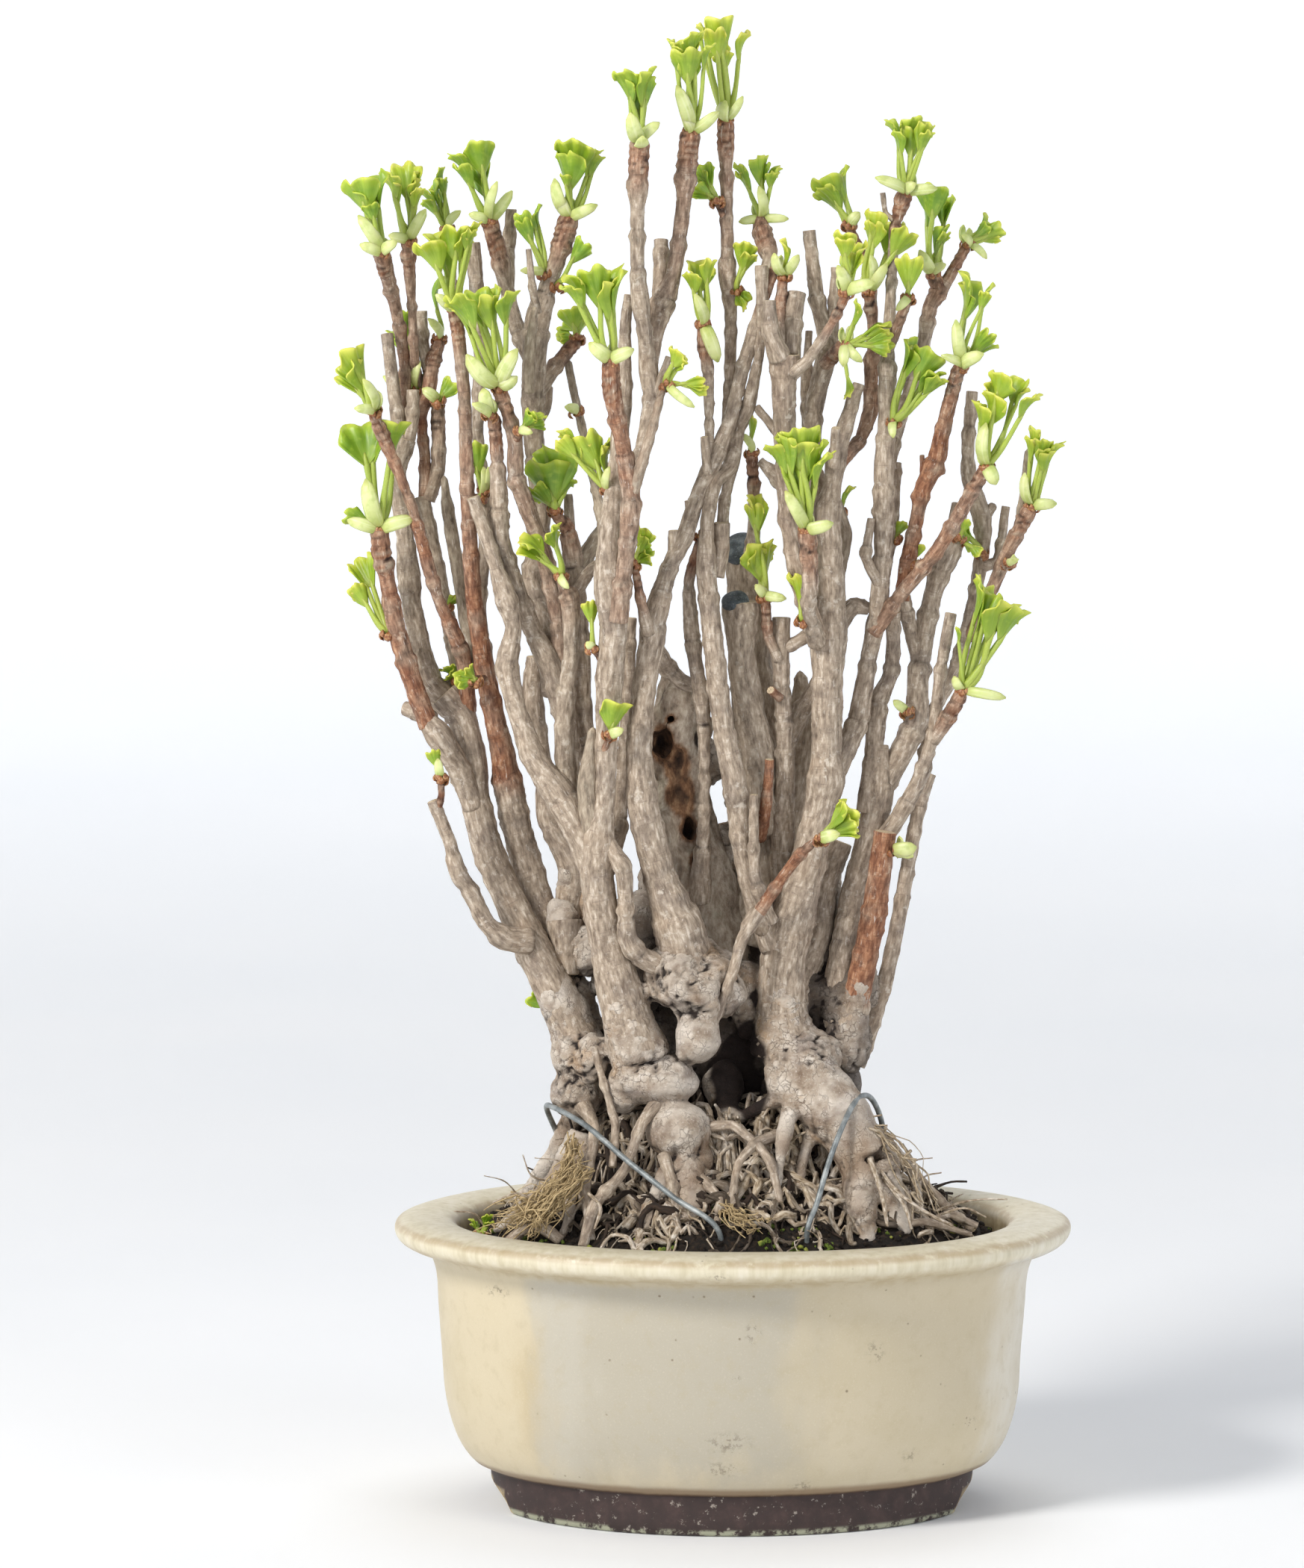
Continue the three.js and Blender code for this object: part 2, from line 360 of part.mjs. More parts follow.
// ---- burls: u, v, depth, then half width, half depth and half height ----
const BURLS = [
  [-52, 152, -4, 8.8, 9, 10.5], [-52, 138, -5, 8.6, 8.5, 9], [-47, 150, -14, 5.6, 5.5, 8.2],
  [-32, 154, -17, 10, 9, 9.5], [-26, 142, -18, 15, 11.5, 8.2], [-36, 139, -19, 6, 6, 8],
  [-18, 125, -24, 11, 10, 9.5], [-14, 114, -23, 8.5, 8, 8], [-11.5, 157, -23, 7.4, 7.5, 9.5],
  [-11, 169, -20, 8.4, 8.5, 8], [-17, 179, -14, 12.5, 11, 10.5], [21, 141, -16, 10, 9, 6.8],
  [23, 151, -8, 13.4, 12, 8.8], [38.5, 154, 0, 7, 7, 9],
  [-6, 112, 4, 50, 30, 19], [-8, 150, 12, 26, 16, 32], [24, 140, 10, 20, 14, 18], [-36, 145, 8, 20, 12, 20],
];

// ---- tie wires: u, v and depth; both ends run down through a drain hole ----
const WIRES = {
  tie_wire_left: [
    [-4, 90, -55], [-20, 103, -47.5], [-35, 115, -38], [-49, 127, -24], [-59.5, 133, -11], [-62, 133, 2],
    [-57, 121, 19], [-48, 100, 24],
  ],
  tie_wire_right: [
    [25, 90, -52], [28.5, 101, -47], [32, 113.5, -41], [37, 126.5, -34], [43.5, 134.5, -21], [47, 134, -9],
    [50, 122, 4], [47, 100, 14],
  ],
};

// ---- shoots ----
// The base is u, v, depth. A fan is u and v of its edge's middle, width, length. A scale is u, v, width.
const SHOOTS = {
  shoot_left_high: {
    base: [-115.8, 418, -3.4],
    fans: [[-125, 442.5, 12, 9], [-118, 444.5, 11, 10], [-120, 436, 6, 6]],
    scales: [[-123.5, 430, 4.5], [-123, 420.5, 4], [-111, 421.5, 4]],
  },
  shoot_left_second: {
    base: [-107, 422, 4],
    fans: [[-114.5, 445, 9, 8], [-108, 447.5, 9, 9], [-104.5, 442, 6, 7]],
    scales: [[-101.5, 432, 4]],
  },
  shoot_left_third: {
    base: [-94, 426, 12],
    fans: [[-98.5, 442.5, 9, 8], [-103, 439, 6, 7]],
    scales: [],
  },
  shoot_tall_brown: {
    base: [-92, 399.5, -8],
    fans: [[-97.5, 425, 12, 12], [-91.5, 427, 9, 9], [-84.5, 428, 7, 8]],
    scales: [[-98, 404, 4]],
  },
  shoot_left_outer: {
    base: [-117, 326.5, -8],
    fans: [[-124, 362, 14, 11], [-111.5, 363, 10, 9], [-129, 331, 6, 7]],
    scales: [[-121.5, 343, 6], [-106, 330, 5], [-127.5, 329.5, 4.5]],
  },
  shoot_left_twig: {
    base: [-118.8, 366, -11],
    fans: [[-126, 387, 10, 10], [-129, 382, 6, 8]],
    scales: [[-122, 376, 4]],
  },
  shoot_left_cut: {
    base: [-105, 373, 12.3],
    fans: [[-108, 399, 8, 9], [-112, 393, 6, 6]],
    scales: [[-115.5, 377, 4]],
  },
  shoot_left_low: { base: [-114.6, 292, -6], fans: [[-122.5, 318, 8, 9], [-126, 308, 5, 6]], scales: [] },
  shoot_front_left: {
    base: [-77.3, 374, -12.6],
    fans: [[-91.5, 405, 9, 11], [-85, 406, 9, 10], [-79.5, 407, 8, 10], [-73.5, 405.5, 9, 9]],
    scales: [[-88, 384, 6.5], [-71.5, 386, 5.5], [-71.5, 377, 4.5]],
  },
  shoot_behind_bud: { base: [-83.4, 337, 2.7], fans: [[-86, 355.5, 7, 9]], scales: [[-82.5, 347, 4]] },
  shoot_knuckle: {
    base: [-80.2, 428.5, 3],
    fans: [[-84, 455, 9, 9], [-92, 451, 7, 9], [-84, 448, 7, 7]],
    scales: [[-73, 438, 4]],
  },
  shoot_crown_side: {
    base: [-62.5, 411.5, -0.6],
    fans: [[-70.5, 431, 5.5, 8], [-65, 433.5, 5, 6]],
    scales: [],
  },
  shoot_crown_left: {
    base: [-53.8, 429.5, 0],
    fans: [[-52, 455.5, 11, 11], [-44.5, 452, 7, 8]],
    scales: [[-59, 442, 5], [-57, 436.5, 4.5], [-45, 433.5, 4]],
  },
  shoot_crown_left_right: { base: [-58.2, 407, -0.6], fans: [[-49, 422, 6, 7]], scales: [] },
  shoot_crown_spur: {
    base: [-51.5, 390, 7],
    fans: [[-54.5, 400, 8, 6], [-49, 397, 6, 6]],
    scales: [],
  },
  shoot_big_fan: {
    base: [-59, 333, -5],
    fans: [[-61, 354, 16, 13], [-67, 341, 7, 8], [-54.5, 347, 6, 6]],
    scales: [],
  },
  shoot_behind_fans: {
    base: [-41.5, 339.5, -17.2],
    fans: [[-49.5, 358.5, 9, 10], [-42, 356, 6, 8], [-57, 359, 6, 7]],
    scales: [],
  },
  shoot_pale_ringed: {
    base: [-56.9, 311.2, -13.6],
    fans: [[-69, 325, 9, 7], [-60, 328, 8, 6]],
    scales: [],
  },
  shoot_front_low: { base: [-40.7, 258.2, -25.5], fans: [[-37.5, 269.5, 9, 8]], scales: [] },
  shoot_front_fork: {
    base: [-40.5, 382.5, -27],
    fans: [[-38.5, 413.5, 11, 13], [-46.5, 413.5, 9, 11], [-54.5, 411, 8, 9]],
    scales: [[-47.5, 388, 5], [-33, 386, 4.5]],
  },
  shoot_crown_middle: {
    base: [-31, 454.5, -15],
    fans: [[-28.5, 478.5, 10, 10], [-35.5, 478.5, 7.5, 9]],
    scales: [[-34, 463.5, 5.5], [-24.5, 460.5, 4], [-30, 456, 5]],
  },
  shoot_straw_rod: {
    base: [-21.9, 374.5, -24.6],
    fans: [[-18.5, 386.5, 8, 5], [-9.5, 375, 4, 5]],
    scales: [],
  },
  shoot_crown_second: {
    base: [-14, 457.5, -10],
    fans: [[-15.5, 485, 9, 9], [-20.5, 488, 6, 6], [-12.5, 490.5, 8, 7]],
    scales: [[-18.5, 472.5, 5], [-17, 464, 4.5], [-5, 464, 4]],
  },
  shoot_curled_spur: {
    base: [-32.7, 315.5, -19],
    fans: [[-28.5, 327, 6, 6], [-26.5, 320, 6, 6]],
    scales: [],
  },
  shoot_crown_third: {
    base: [-2.5, 461.5, -5],
    fans: [[-4.5, 495.5, 8, 10], [-11, 493, 6, 7], [-4.5, 487, 9, 5], [3.8, 490.5, 7.5, 8]],
    scales: [[-2.5, 467.5, 5]],
  },
  shoot_third_twig: { base: [-5.6, 435.2, -6.4], fans: [[-10, 447, 5.5, 6], [-12.8, 440, 4, 5]], scales: [] },
  shoot_thin_spur: {
    base: [-9.8, 394.5, -10],
    fans: [[-12.5, 415.5, 8.6, 8], [-7.6, 416, 5, 7]],
    scales: [[-12.5, 404, 4], [-5, 382, 5]],
  },
  shoot_knot: {
    base: [9, 429, -1],
    fans: [[9.5, 450, 6.5, 8], [14.5, 446.5, 6, 6]],
    scales: [[8.5, 439.5, 4]],
  },
  shoot_third_side: { base: [1.1, 405.5, -5.4], fans: [[4.5, 421.5, 6.5, 7], [4.7, 401, 5, 6]], scales: [] },
  shoot_pale_spur: { base: [6.3, 352, -3], fans: [[5.2, 366, 5.5, 8]], scales: [] },
  shoot_crown_centre: { base: [16.8, 410.5, -8], fans: [[17.5, 422, 6, 7]], scales: [[13.5, 417.5, 4]] },
  shoot_fan_bunch: {
    base: [24.2, 326.5, -18],
    fans: [[15.5, 358, 9, 11], [22.5, 361, 11, 12], [29, 356, 8, 11], [21.5, 351.5, 10, 9]],
    scales: [[17.5, 339, 4.5], [33, 328.5, 4.5]],
  },
  shoot_lower_bunch: {
    base: [10.6, 304.5, -8],
    fans: [[10, 323, 13, 10], [6.5, 338, 8, 10]],
    scales: [],
  },
  shoot_inner_green: { base: [23.2, 296.5, -14], fans: [[20.5, 312, 6, 9]], scales: [] },
  shoot_low_twig: {
    base: [29.5, 223.5, -30],
    fans: [[38, 236, 9, 9], [41, 229, 6, 7]],
    scales: [[35.5, 225, 4.5]],
  },
  shoot_right_pair: {
    base: [37.3, 405, -15],
    fans: [[36, 425, 7, 7], [43, 421.5, 10, 8]],
    scales: [[34.5, 413.5, 4.5], [46.5, 408, 4.5]],
  },
  shoot_crown_right: {
    base: [37.5, 387.5, -6],
    fans: [[51.5, 395, 7, 8], [53, 388.5, 6, 7]],
    scales: [[36.5, 380.5, 4]],
  },
  shoot_branch_top: {
    base: [44.8, 405.5, 0],
    fans: [[45.5, 432, 8, 8], [55.5, 427.5, 9, 9]],
    scales: [[45.5, 417, 4], [50.5, 414, 4]],
  },
  shoot_back_twig: {
    base: [38.3, 427, 5],
    fans: [[28.5, 443, 9, 10], [35, 446, 7, 9]],
    scales: [[41.5, 431, 4]],
  },
  shoot_right_top: {
    base: [57, 438, 0],
    fans: [[52.5, 462, 8, 9], [59.5, 462.5, 8, 9], [64.5, 460.5, 6, 8]],
    scales: [[47, 442.5, 4], [67, 439, 4], [60, 440.5, 4]],
  },
  shoot_right_back: {
    base: [65.8, 411.5, 9],
    fans: [[65.5, 440.5, 9, 9], [71.5, 436.5, 7, 8]],
    scales: [[61.5, 418.5, 4.5]],
  },
  shoot_right_twig: { base: [57.8, 403.2, -6.4], fans: [[58, 417, 8, 9]], scales: [] },
  shoot_far_right_top: {
    base: [77.5, 420.5, 9],
    fans: [[84.5, 430, 5, 6], [89, 426, 5, 6]],
    scales: [],
  },
  shoot_right_red: {
    base: [75.8, 380.8, -6],
    fans: [[77, 411.5, 12, 11], [85, 408, 4.5, 7]],
    scales: [[73.5, 395.5, 4.5], [82.5, 384.5, 5]],
  },
  shoot_right_slant: {
    base: [84, 347.5, -13],
    fans: [[85, 373, 14, 9], [88.5, 379, 10, 7], [95.5, 377, 6, 7], [100.5, 371.5, 7, 8]],
    scales: [[83.5, 361.5, 5], [87, 341.5, 5]],
  },
  shoot_far_right: {
    base: [98.8, 334.5, 2],
    fans: [[103, 356.5, 6, 6], [107.5, 356, 7, 9]],
    scales: [[96.5, 345, 4], [107, 335, 4]],
  },
  shoot_right_leafy: {
    base: [53.1, 362, -4.8],
    fans: [[58.5, 390, 8, 9], [65.5, 386, 9, 9], [68.5, 379, 9, 8]],
    scales: [],
  },
  shoot_right_small: { base: [82.3, 318.6, 8.3], fans: [[76, 328.5, 6, 5], [71.5, 326, 4, 4]], scales: [] },
  shoot_right_low: {
    base: [76.4, 273, -11],
    fans: [[82, 311, 8, 13], [92, 302.5, 14, 12], [86.5, 305.5, 8, 9]],
    scales: [],
  },
  bud_brown_stub: { base: [53.6, 219.5, -7.7], fans: [], scales: [[61, 220.5, 5.5], [60, 217.5, 4]] },
};

// ---- cut paste: u, v, depth, half width, half height, tilt in degrees ----
const PASTE = {
  cut_paste_high: { over: "dead_high", radius: 6.6, thickness: 2.4 },
  cut_paste_low: { over: "dead_low", radius: 4.9, thickness: 2.2 },
};

// ---- small tools ----
// A repeatable draw between 0 and 1.
function drawFrom(seed) {
  let state = seed >>> 0;
  return () => {
    state = (Math.imul(state, 1664525) + 1013904223) >>> 0;
    return state / 4294967296;
  };
}

function solid(geometry) {
  const bare = geometry.index ? geometry.toNonIndexed() : geometry.clone();
  bare.deleteAttribute("normal");
  bare.deleteAttribute("uv");
  const merged = mergeVertices(bare, 1e-4);
  return new wasm.Manifold(
    new wasm.Mesh({
      numProp: 3,
      vertProperties: merged.attributes.position.array,
      triVerts: new Uint32Array(merged.index.array),
    }),
  );
}

// The largest body of a solid; scraps that a cut leaves are dropped.
function largest(made) {
  const bodies = made.decompose();
  return bodies.reduce((best, body) => (body.volume() > best.volume() ? body : best));
}

function joined(pieces) {
  let row = pieces;
  while (row.length > 1) {
    const next = [];
    for (let i = 0; i < row.length; i += 2) {
      next.push(i + 1 < row.length ? row[i].add(row[i + 1]) : row[i]);
    }
    row = next;
  }
  return row[0];
}

// A tapered tube through points; radii go with the points. Flat ends.
function tube(points, radii, sides, steps) {
  const curve = new THREE.CatmullRomCurve3(points, false, "centripetal");
  const frames = curve.computeFrenetFrames(steps, false);
  const geometry = new THREE.CylinderGeometry(1, 1, 1, sides, steps);
  const position = geometry.attributes.position;
  const last = points.length - 1;
  for (let i = 0; i < position.count; i++) {
    const along = Math.round((position.getY(i) + 0.5) * steps);
    const t = along / steps;
    const slot = Math.min(Math.floor(t * last), last - 1);
    const radius = THREE.MathUtils.lerp(radii[slot], radii[slot + 1], t * last - slot);
    const point = curve.getPoint(t);
    point.addScaledVector(frames.normals[along], position.getX(i) * radius);
    point.addScaledVector(frames.binormals[along], -position.getZ(i) * radius);
    position.setXYZ(i, point.x, point.y, point.z);
  }
  return geometry;
}

function stem(rows, grow) {
  const points = rows.map(place);
  const radii = rows.map((row) => row[3] + grow);
  const thickest = Math.max(...radii) - grow;
  const sides = thickest > 6 ? 7 : thickest > 4.6 ? 6 : thickest > 3.3 ? 5 : 4;
  const length = points.slice(1).reduce((sum, p, i) => sum + p.distanceTo(points[i]), 0);
  const perSpan = length / (rows.length - 1) > 20 ? 2 : 1;
  return solid(tube(points, radii, sides, (rows.length - 1) * perSpan));
}

function burl([u, v, depth, rx, ry, rz], seed, grow) {
  const geometry = new THREE.IcosahedronGeometry(1, 1);
  const merged = mergeVertices(geometry.deleteAttribute("normal").deleteAttribute("uv"), 1e-4);
  const position = merged.attributes.position;
  const draw = drawFrom(seed);
  const centre = place([u, v, depth]);
  for (let i = 0; i < position.count; i++) {
    const bump = 0.94 + 0.12 * draw();
    position.setXYZ(
      i,
      centre.x + position.getX(i) * (rx * bump + grow),
      centre.y + position.getY(i) * (ry * bump + grow),
      centre.z + position.getZ(i) * (rz * bump + grow),
    );
  }
  return solid(merged);
}

// A closed skin through rings of points, the first and last ring closed to their centres.
function loft(rings) {
  const count = rings[0].length;
  const middle = (ring) => ring.reduce((sum, p) => sum.add(p), new THREE.Vector3()).divideScalar(count);
  const points = [middle(rings[0]), ...rings.flat(), middle(rings[rings.length - 1])];
  const at = (ring, i) => 1 + ring * count + (i % count);
  const index = [];
  for (let i = 0; i < count; i++) {
    index.push(0, at(0, i + 1), at(0, i));
    for (let ring = 0; ring < rings.length - 1; ring++) {
      index.push(at(ring, i), at(ring, i + 1), at(ring + 1, i));
      index.push(at(ring, i + 1), at(ring + 1, i + 1), at(ring + 1, i));
    }
    index.push(points.length - 1, at(rings.length - 1, i), at(rings.length - 1, i + 1));
  }
  return new THREE.BufferGeometry().setFromPoints(points).setIndex(index);
}

function oval(x, y, z, segments) {
  return Array.from({ length: segments }, (_, i) => {
    const angle = (2 * Math.PI * i) / segments;
    return new THREE.Vector3(x * Math.cos(angle), y * Math.sin(angle), z);
  });
}

// ---- the pot ----
function potSolid() {
  const set = RIM.x - RIM.y; // the oval's depth is its width less this, on the lip
  const wall = (x, z) => oval(x, x - set, z, POT_SEGMENTS);
  const inside = (x, z) => oval(x, x - (MOUTH.x - MOUTH.y), z, POT_SEGMENTS);
  const foot = (x, z) => oval(x, x - (FOOT.x - FOOT.y), z, POT_SEGMENTS);
  const outline = [
    foot(FOOT.x - 9, FLOOR_UNDER_Z), foot(FOOT.x - 8, 0), foot(FOOT.x, 0), foot(FOOT.x + 1.5, FOOT.z - 1),
    foot(FOOT.x + 3.4, FOOT.z), wall(90, 18.8), wall(94, 28), wall(97, 55), wall(98.8, 78), wall(102, 85.5),
    wall(109.5, 88), wall(RIM.x, 92), wall(112, 95.4), wall(107, RIM.z), inside(MOUTH.x + 4, 96.6),
    inside(MOUTH.x, 94), inside(MOUTH.x - 3, 45), inside(MOUTH.x - 8, 27), inside(MOUTH.x - 16, FLOOR_Z),
  ];
  let pot = solid(loft(outline));
  for (const side of [-1, 1]) {
    const drain = new THREE.CylinderGeometry(DRAIN.radius, DRAIN.radius, 3 * FLOOR_Z, 16);
    drain.rotateX(Math.PI / 2).translate(side * DRAIN.x, 0, FLOOR_Z);
    pot = pot.subtract(solid(drain));
    const arch = new THREE.CylinderGeometry(1, 1, 40, 16).rotateZ(Math.PI / 2);
    arch.scale(1, FOOT_ARCH.width / 2, FOOT_ARCH.height).translate(side * FOOT.x, 0, 0);
    pot = pot.subtract(solid(arch));
  }
  return pot;
}

// ---- the soil ----
function soilSolid() {
  const set = MOUTH.x - MOUTH.y;
  const ring = (x, z) => oval(x - GAP, x - set - GAP, z, POT_SEGMENTS);
  const rings = [ring(MOUTH.x - 16, FLOOR_Z + GAP), ring(MOUTH.x - 8, 27.5), ring(MOUTH.x - 3, 45)];
  rings.push(ring(MOUTH.x - 1.6, SOIL_EDGE_Z - 1));
  const draw = drawFrom(7);
  for (const share of [0.985, 0.84, 0.64, 0.42, 0.2]) {
    const height = SOIL_EDGE_Z + SOIL_RISE * Math.pow(1 - share * share, 0.8);
    const loose = share < 0.95 ? 1.6 : 0.4;
    const mound = oval(share * (MOUTH.x - 2), share * (MOUTH.y - 2), height, POT_SEGMENTS);
    rings.push(mound.map((p) => p.setZ(p.z + loose * (draw() - 0.5))));
  }
  return solid(loft(rings));
}

function screenSolid(side, grow) {
  const { size, thickness, hole, across, along } = MESH_SCREEN;
  const plate = new THREE.BoxGeometry(size + 2 * grow, size + 2 * grow, thickness + 2 * grow);
  const z = FLOOR_Z + GAP + thickness / 2;
  let screen = solid(plate.translate(side * DRAIN.x, 0, z));
  if (grow > 0) return screen;
  for (const x of across) {
    for (const y of along) {
      const cut = new THREE.BoxGeometry(hole, hole, 3 * thickness);
      screen = screen.subtract(solid(cut.translate(side * DRAIN.x + x, y, z)));
    }
  }
  return screen;
}

// ---- wood ----
function woodSolid(grow, detail) {
  const pieces = [...Object.values(STEMS), ...Object.values(ROOTS)].map((rows) => stem(rows, grow));
  BURLS.forEach((rows, i) => pieces.push(burl(rows, 11 + i, grow)));
  return joined(pieces).asOriginal().simplify(detail);
}

// The hole in the hollow trunk, seen from the front.
function hollowSolid() {
  const centre = place([-22, 256, -3]);
  const lump = new THREE.IcosahedronGeometry(1, 1).scale(4.6, 7, 5.4);
  return solid(lump.translate(centre.x, centre.y, centre.z));
}

// ---- tie wires ----
function wirePath(rows, side) {
  const path = rows.map(place);
  const at = (y, z) => new THREE.Vector3(side * DRAIN.x, y, z);
  const under = FLOOR_UNDER_Z - 2.2;
  const front = [at(-15, under), at(-6, under), at(-4.5, FLOOR_Z), at(-4.5, FLOOR_Z + 7)];
  const back = [at(4.5, FLOOR_Z + 7), at(4.5, FLOOR_Z), at(6, under), at(15, under)];
  return [...front, ...path, ...back];
}

function wireSolid(rows, side, grow) {
  const path = wirePath(rows, side);
  return solid(tube(path, path.map(() => WIRE_RADIUS + grow), 4, (path.length - 1) * 2));
}

// ---- cut paste: a low dome pressed over a sawn end ----
function pasteSolid({ over, radius, thickness }) {
  const rows = STEMS[over];
  const end = place(rows[rows.length - 1]);
  const axis = end.clone().sub(place(rows[rows.length - 2])).normalize();
  const outline = [
    new THREE.Vector2(0, 0), new THREE.Vector2(radius, 0), new THREE.Vector2(radius * 0.96, thickness * 0.55),
    new THREE.Vector2(radius * 0.6, thickness * 0.9), new THREE.Vector2(0, thickness),
  ];
  const dome = new THREE.LatheGeometry(outline, 10);
  const turn = new THREE.Quaternion().setFromUnitVectors(new THREE.Vector3(0, 1, 0), axis);
  dome.applyQuaternion(turn).translate(...end.addScaledVector(axis, GAP).toArray());
  return solid(dome);
}

// ---- shoots ----
// A fan leaf with its stalk: a notched, scalloped edge, its sides curled back, one thickness all over.
function leaf([u, v, listedWidth, listedLength], root, { depth, turn, curl }, grow) {
  const width = FAN_WIDER * listedWidth;
  const length = FAN_LONGER * listedLength;
  const edge = place([u, v, depth]);
  const axis = edge.clone().sub(root).normalize();
  const normal = new THREE.Vector3(Math.sin(turn), -Math.cos(turn), 0);
  const side = new THREE.Vector3().crossVectors(axis, normal).normalize();
  const facing = new THREE.Vector3().crossVectors(side, axis).normalize();
  const tall = edge.distanceTo(root);
  const spread = Math.asin(Math.min(0.96, width / (2 * length)));
  const parts = listedWidth > 10 ? 6 : 4;
  const rows = [[-STALK_WIDTH / 2, 0, 0], [-STALK_WIDTH / 2, tall - 0.9 * length, 0.8]];
  for (let i = 0; i <= parts; i++) {
    const share = (2 * i) / parts - 1;
    const reach = length * (i === parts / 2 ? 0.85 : i % 2 === 0 ? 1 : 1.06);
    const angle = share * spread;
    const bend = (i % 2 === 0 ? 0 : 0.06 * width) - curl * width * share * share * 0.5;
    rows.push([reach * Math.sin(angle), tall - length + reach * Math.cos(angle), bend]);
  }
  rows.push([STALK_WIDTH / 2, tall - 0.9 * length, 0.8], [STALK_WIDTH / 2, 0, 0]);
  const half = BLADE_THICKNESS / 2 + grow;
  const points = [half, -half].flatMap((offset) =>
    rows.map(([across, along, bend]) =>
      root
        .clone()
        .addScaledVector(side, across + grow * Math.sign(across))
        .addScaledVector(axis, along + (along > 0 ? grow : -grow))
        .addScaledVector(facing, bend + offset),
    ),
  );
  const count = rows.length;
  const last = count - 1;
  // Both faces are split alike: the stalk's two triangles, then the blade's, fanned from the two apex points.
  const split = [[0, last, 1], [last, last - 1, 1]];
  const middle = 2 + parts / 2;
  for (let i = 2; i < middle; i++) split.push([1, i + 1, i]);
  split.push([1, last - 1, middle]);
  for (let i = middle; i < parts + 2; i++) split.push([last - 1, i + 1, i]);
  const index = [];
  for (const [a, b, c] of split) index.push(a, b, c, count + a, count + c, count + b);
  for (let i = 0; i < count; i++) {
    const next = (i + 1) % count;
    index.push(i, next, count + i, next, count + next, count + i);
  }
  return solid(new THREE.BufferGeometry().setFromPoints(points).setIndex(index));
}

// A bud scale: a boat-shaped lobe from base to tip.
function budScale(base, tip, width, normal, grow) {
  const axis = tip.clone().sub(base).normalize();
  const side = new THREE.Vector3().crossVectors(axis, normal).normalize();
  const facing = new THREE.Vector3().crossVectors(side, axis).normalize();
  const length = tip.distanceTo(base);
  const at = (along, across, out) =>
    base.clone().addScaledVector(axis, along).addScaledVector(side, across).addScaledVector(facing, out);
  const deep = 0.7 + grow;
  const wide = width / 2 + grow;
  const points = [
    at(-grow, 0, 0), at(length * 0.6, -wide, 0.15 * width), at(length + grow, 0, 0),
    at(length * 0.6, wide, 0.15 * width), at(length * 0.5, 0, deep), at(length * 0.5, 0, -deep),
  ];
  const index = [];
  for (let i = 0; i < 4; i++) {
    const next = (i + 1) % 4;
    index.push(4, next, i, 5, i, next);
  }
  return solid(new THREE.BufferGeometry().setFromPoints(points).setIndex(index));
}

// A shoot and the room it takes. Each leaf tries several depths, until it clears what is there.
function growShoot({ base, fans, scales }, seed, taken) {
  const draw = drawFrom(seed);
  const root = place(base);
  const ball = (radius) => solid(new THREE.OctahedronGeometry(radius).translate(root.x, root.y, root.z));
  const others = taken.subtract(ball(4.5));
  const pieces = [ball(1.8)];
  const room = [ball(1.8 + GAP)];
  for (const fan of fans) {
    let best = null;
    for (let attempt = 0; attempt < 10 && !(best && best.crossing < 0.2); attempt++) {
      const stance = {
        depth: base[2] + (draw() - 0.5) * (7 + 4 * attempt),
        turn: (draw() - 0.5) * 1.5,
        curl: 0.25 + 0.4 * draw(),
      };
      const crossing = leaf(fan, root, stance, GAP).intersect(others).volume();
      if (!best || crossing < best.crossing) best = { crossing, stance };
    }
    pieces.push(leaf(fan, root, best.stance, 0));
    room.push(leaf(fan, root, best.stance, GAP));
  }
  for (const [u, v, width] of scales) {
    const tip = place([u, v, base[2] - 1 - 3 * draw()]);
    const turn = (draw() - 0.5) * 1.2;
    const normal = new THREE.Vector3(Math.sin(turn), -Math.cos(turn), 0.1);
    pieces.push(budScale(root, tip, width, normal, 0));
    room.push(budScale(root, tip, width, normal, GAP));
  }
  const made = joined(pieces).subtract(taken).asOriginal().simplify(LEAF_DETAIL);
  const shoot = largest(made);
  return { shoot, room: joined(room) };
}

// ---- the plant ----
const group = new THREE.Group();

function addNode(name, made, colour, roughness) {
  const mesh = made.getMesh();
  const geometry = new THREE.BufferGeometry();
  geometry.setAttribute("position", new THREE.BufferAttribute(mesh.vertProperties, 3));
  geometry.setIndex(new THREE.BufferAttribute(mesh.triVerts, 1));
  const material = new THREE.MeshStandardMaterial({ color: colour, roughness, metalness: 0 });
  const piece = new THREE.Mesh(geometry, material);
  piece.name = name;
  group.add(piece);
}

const wires = Object.entries(WIRES).map(([name, rows], i) => ({ name, rows, side: i === 0 ? -1 : 1 }));
const grownWires = joined(wires.map(({ rows, side }) => wireSolid(rows, side, GAP)));
const wood = largest(woodSolid(0, WOOD_DETAIL).subtract(grownWires).subtract(hollowSolid()));
const grownWood = woodSolid(GAP + 1.2 * WOOD_DETAIL, WOOD_DETAIL / 4);
const screens = [-1, 1].map((side) => screenSolid(side, 0));
const grownScreens = joined([-1, 1].map((side) => screenSolid(side, GAP)));
const soil = soilSolid().subtract(grownWood).subtract(grownWires).subtract(grownScreens);

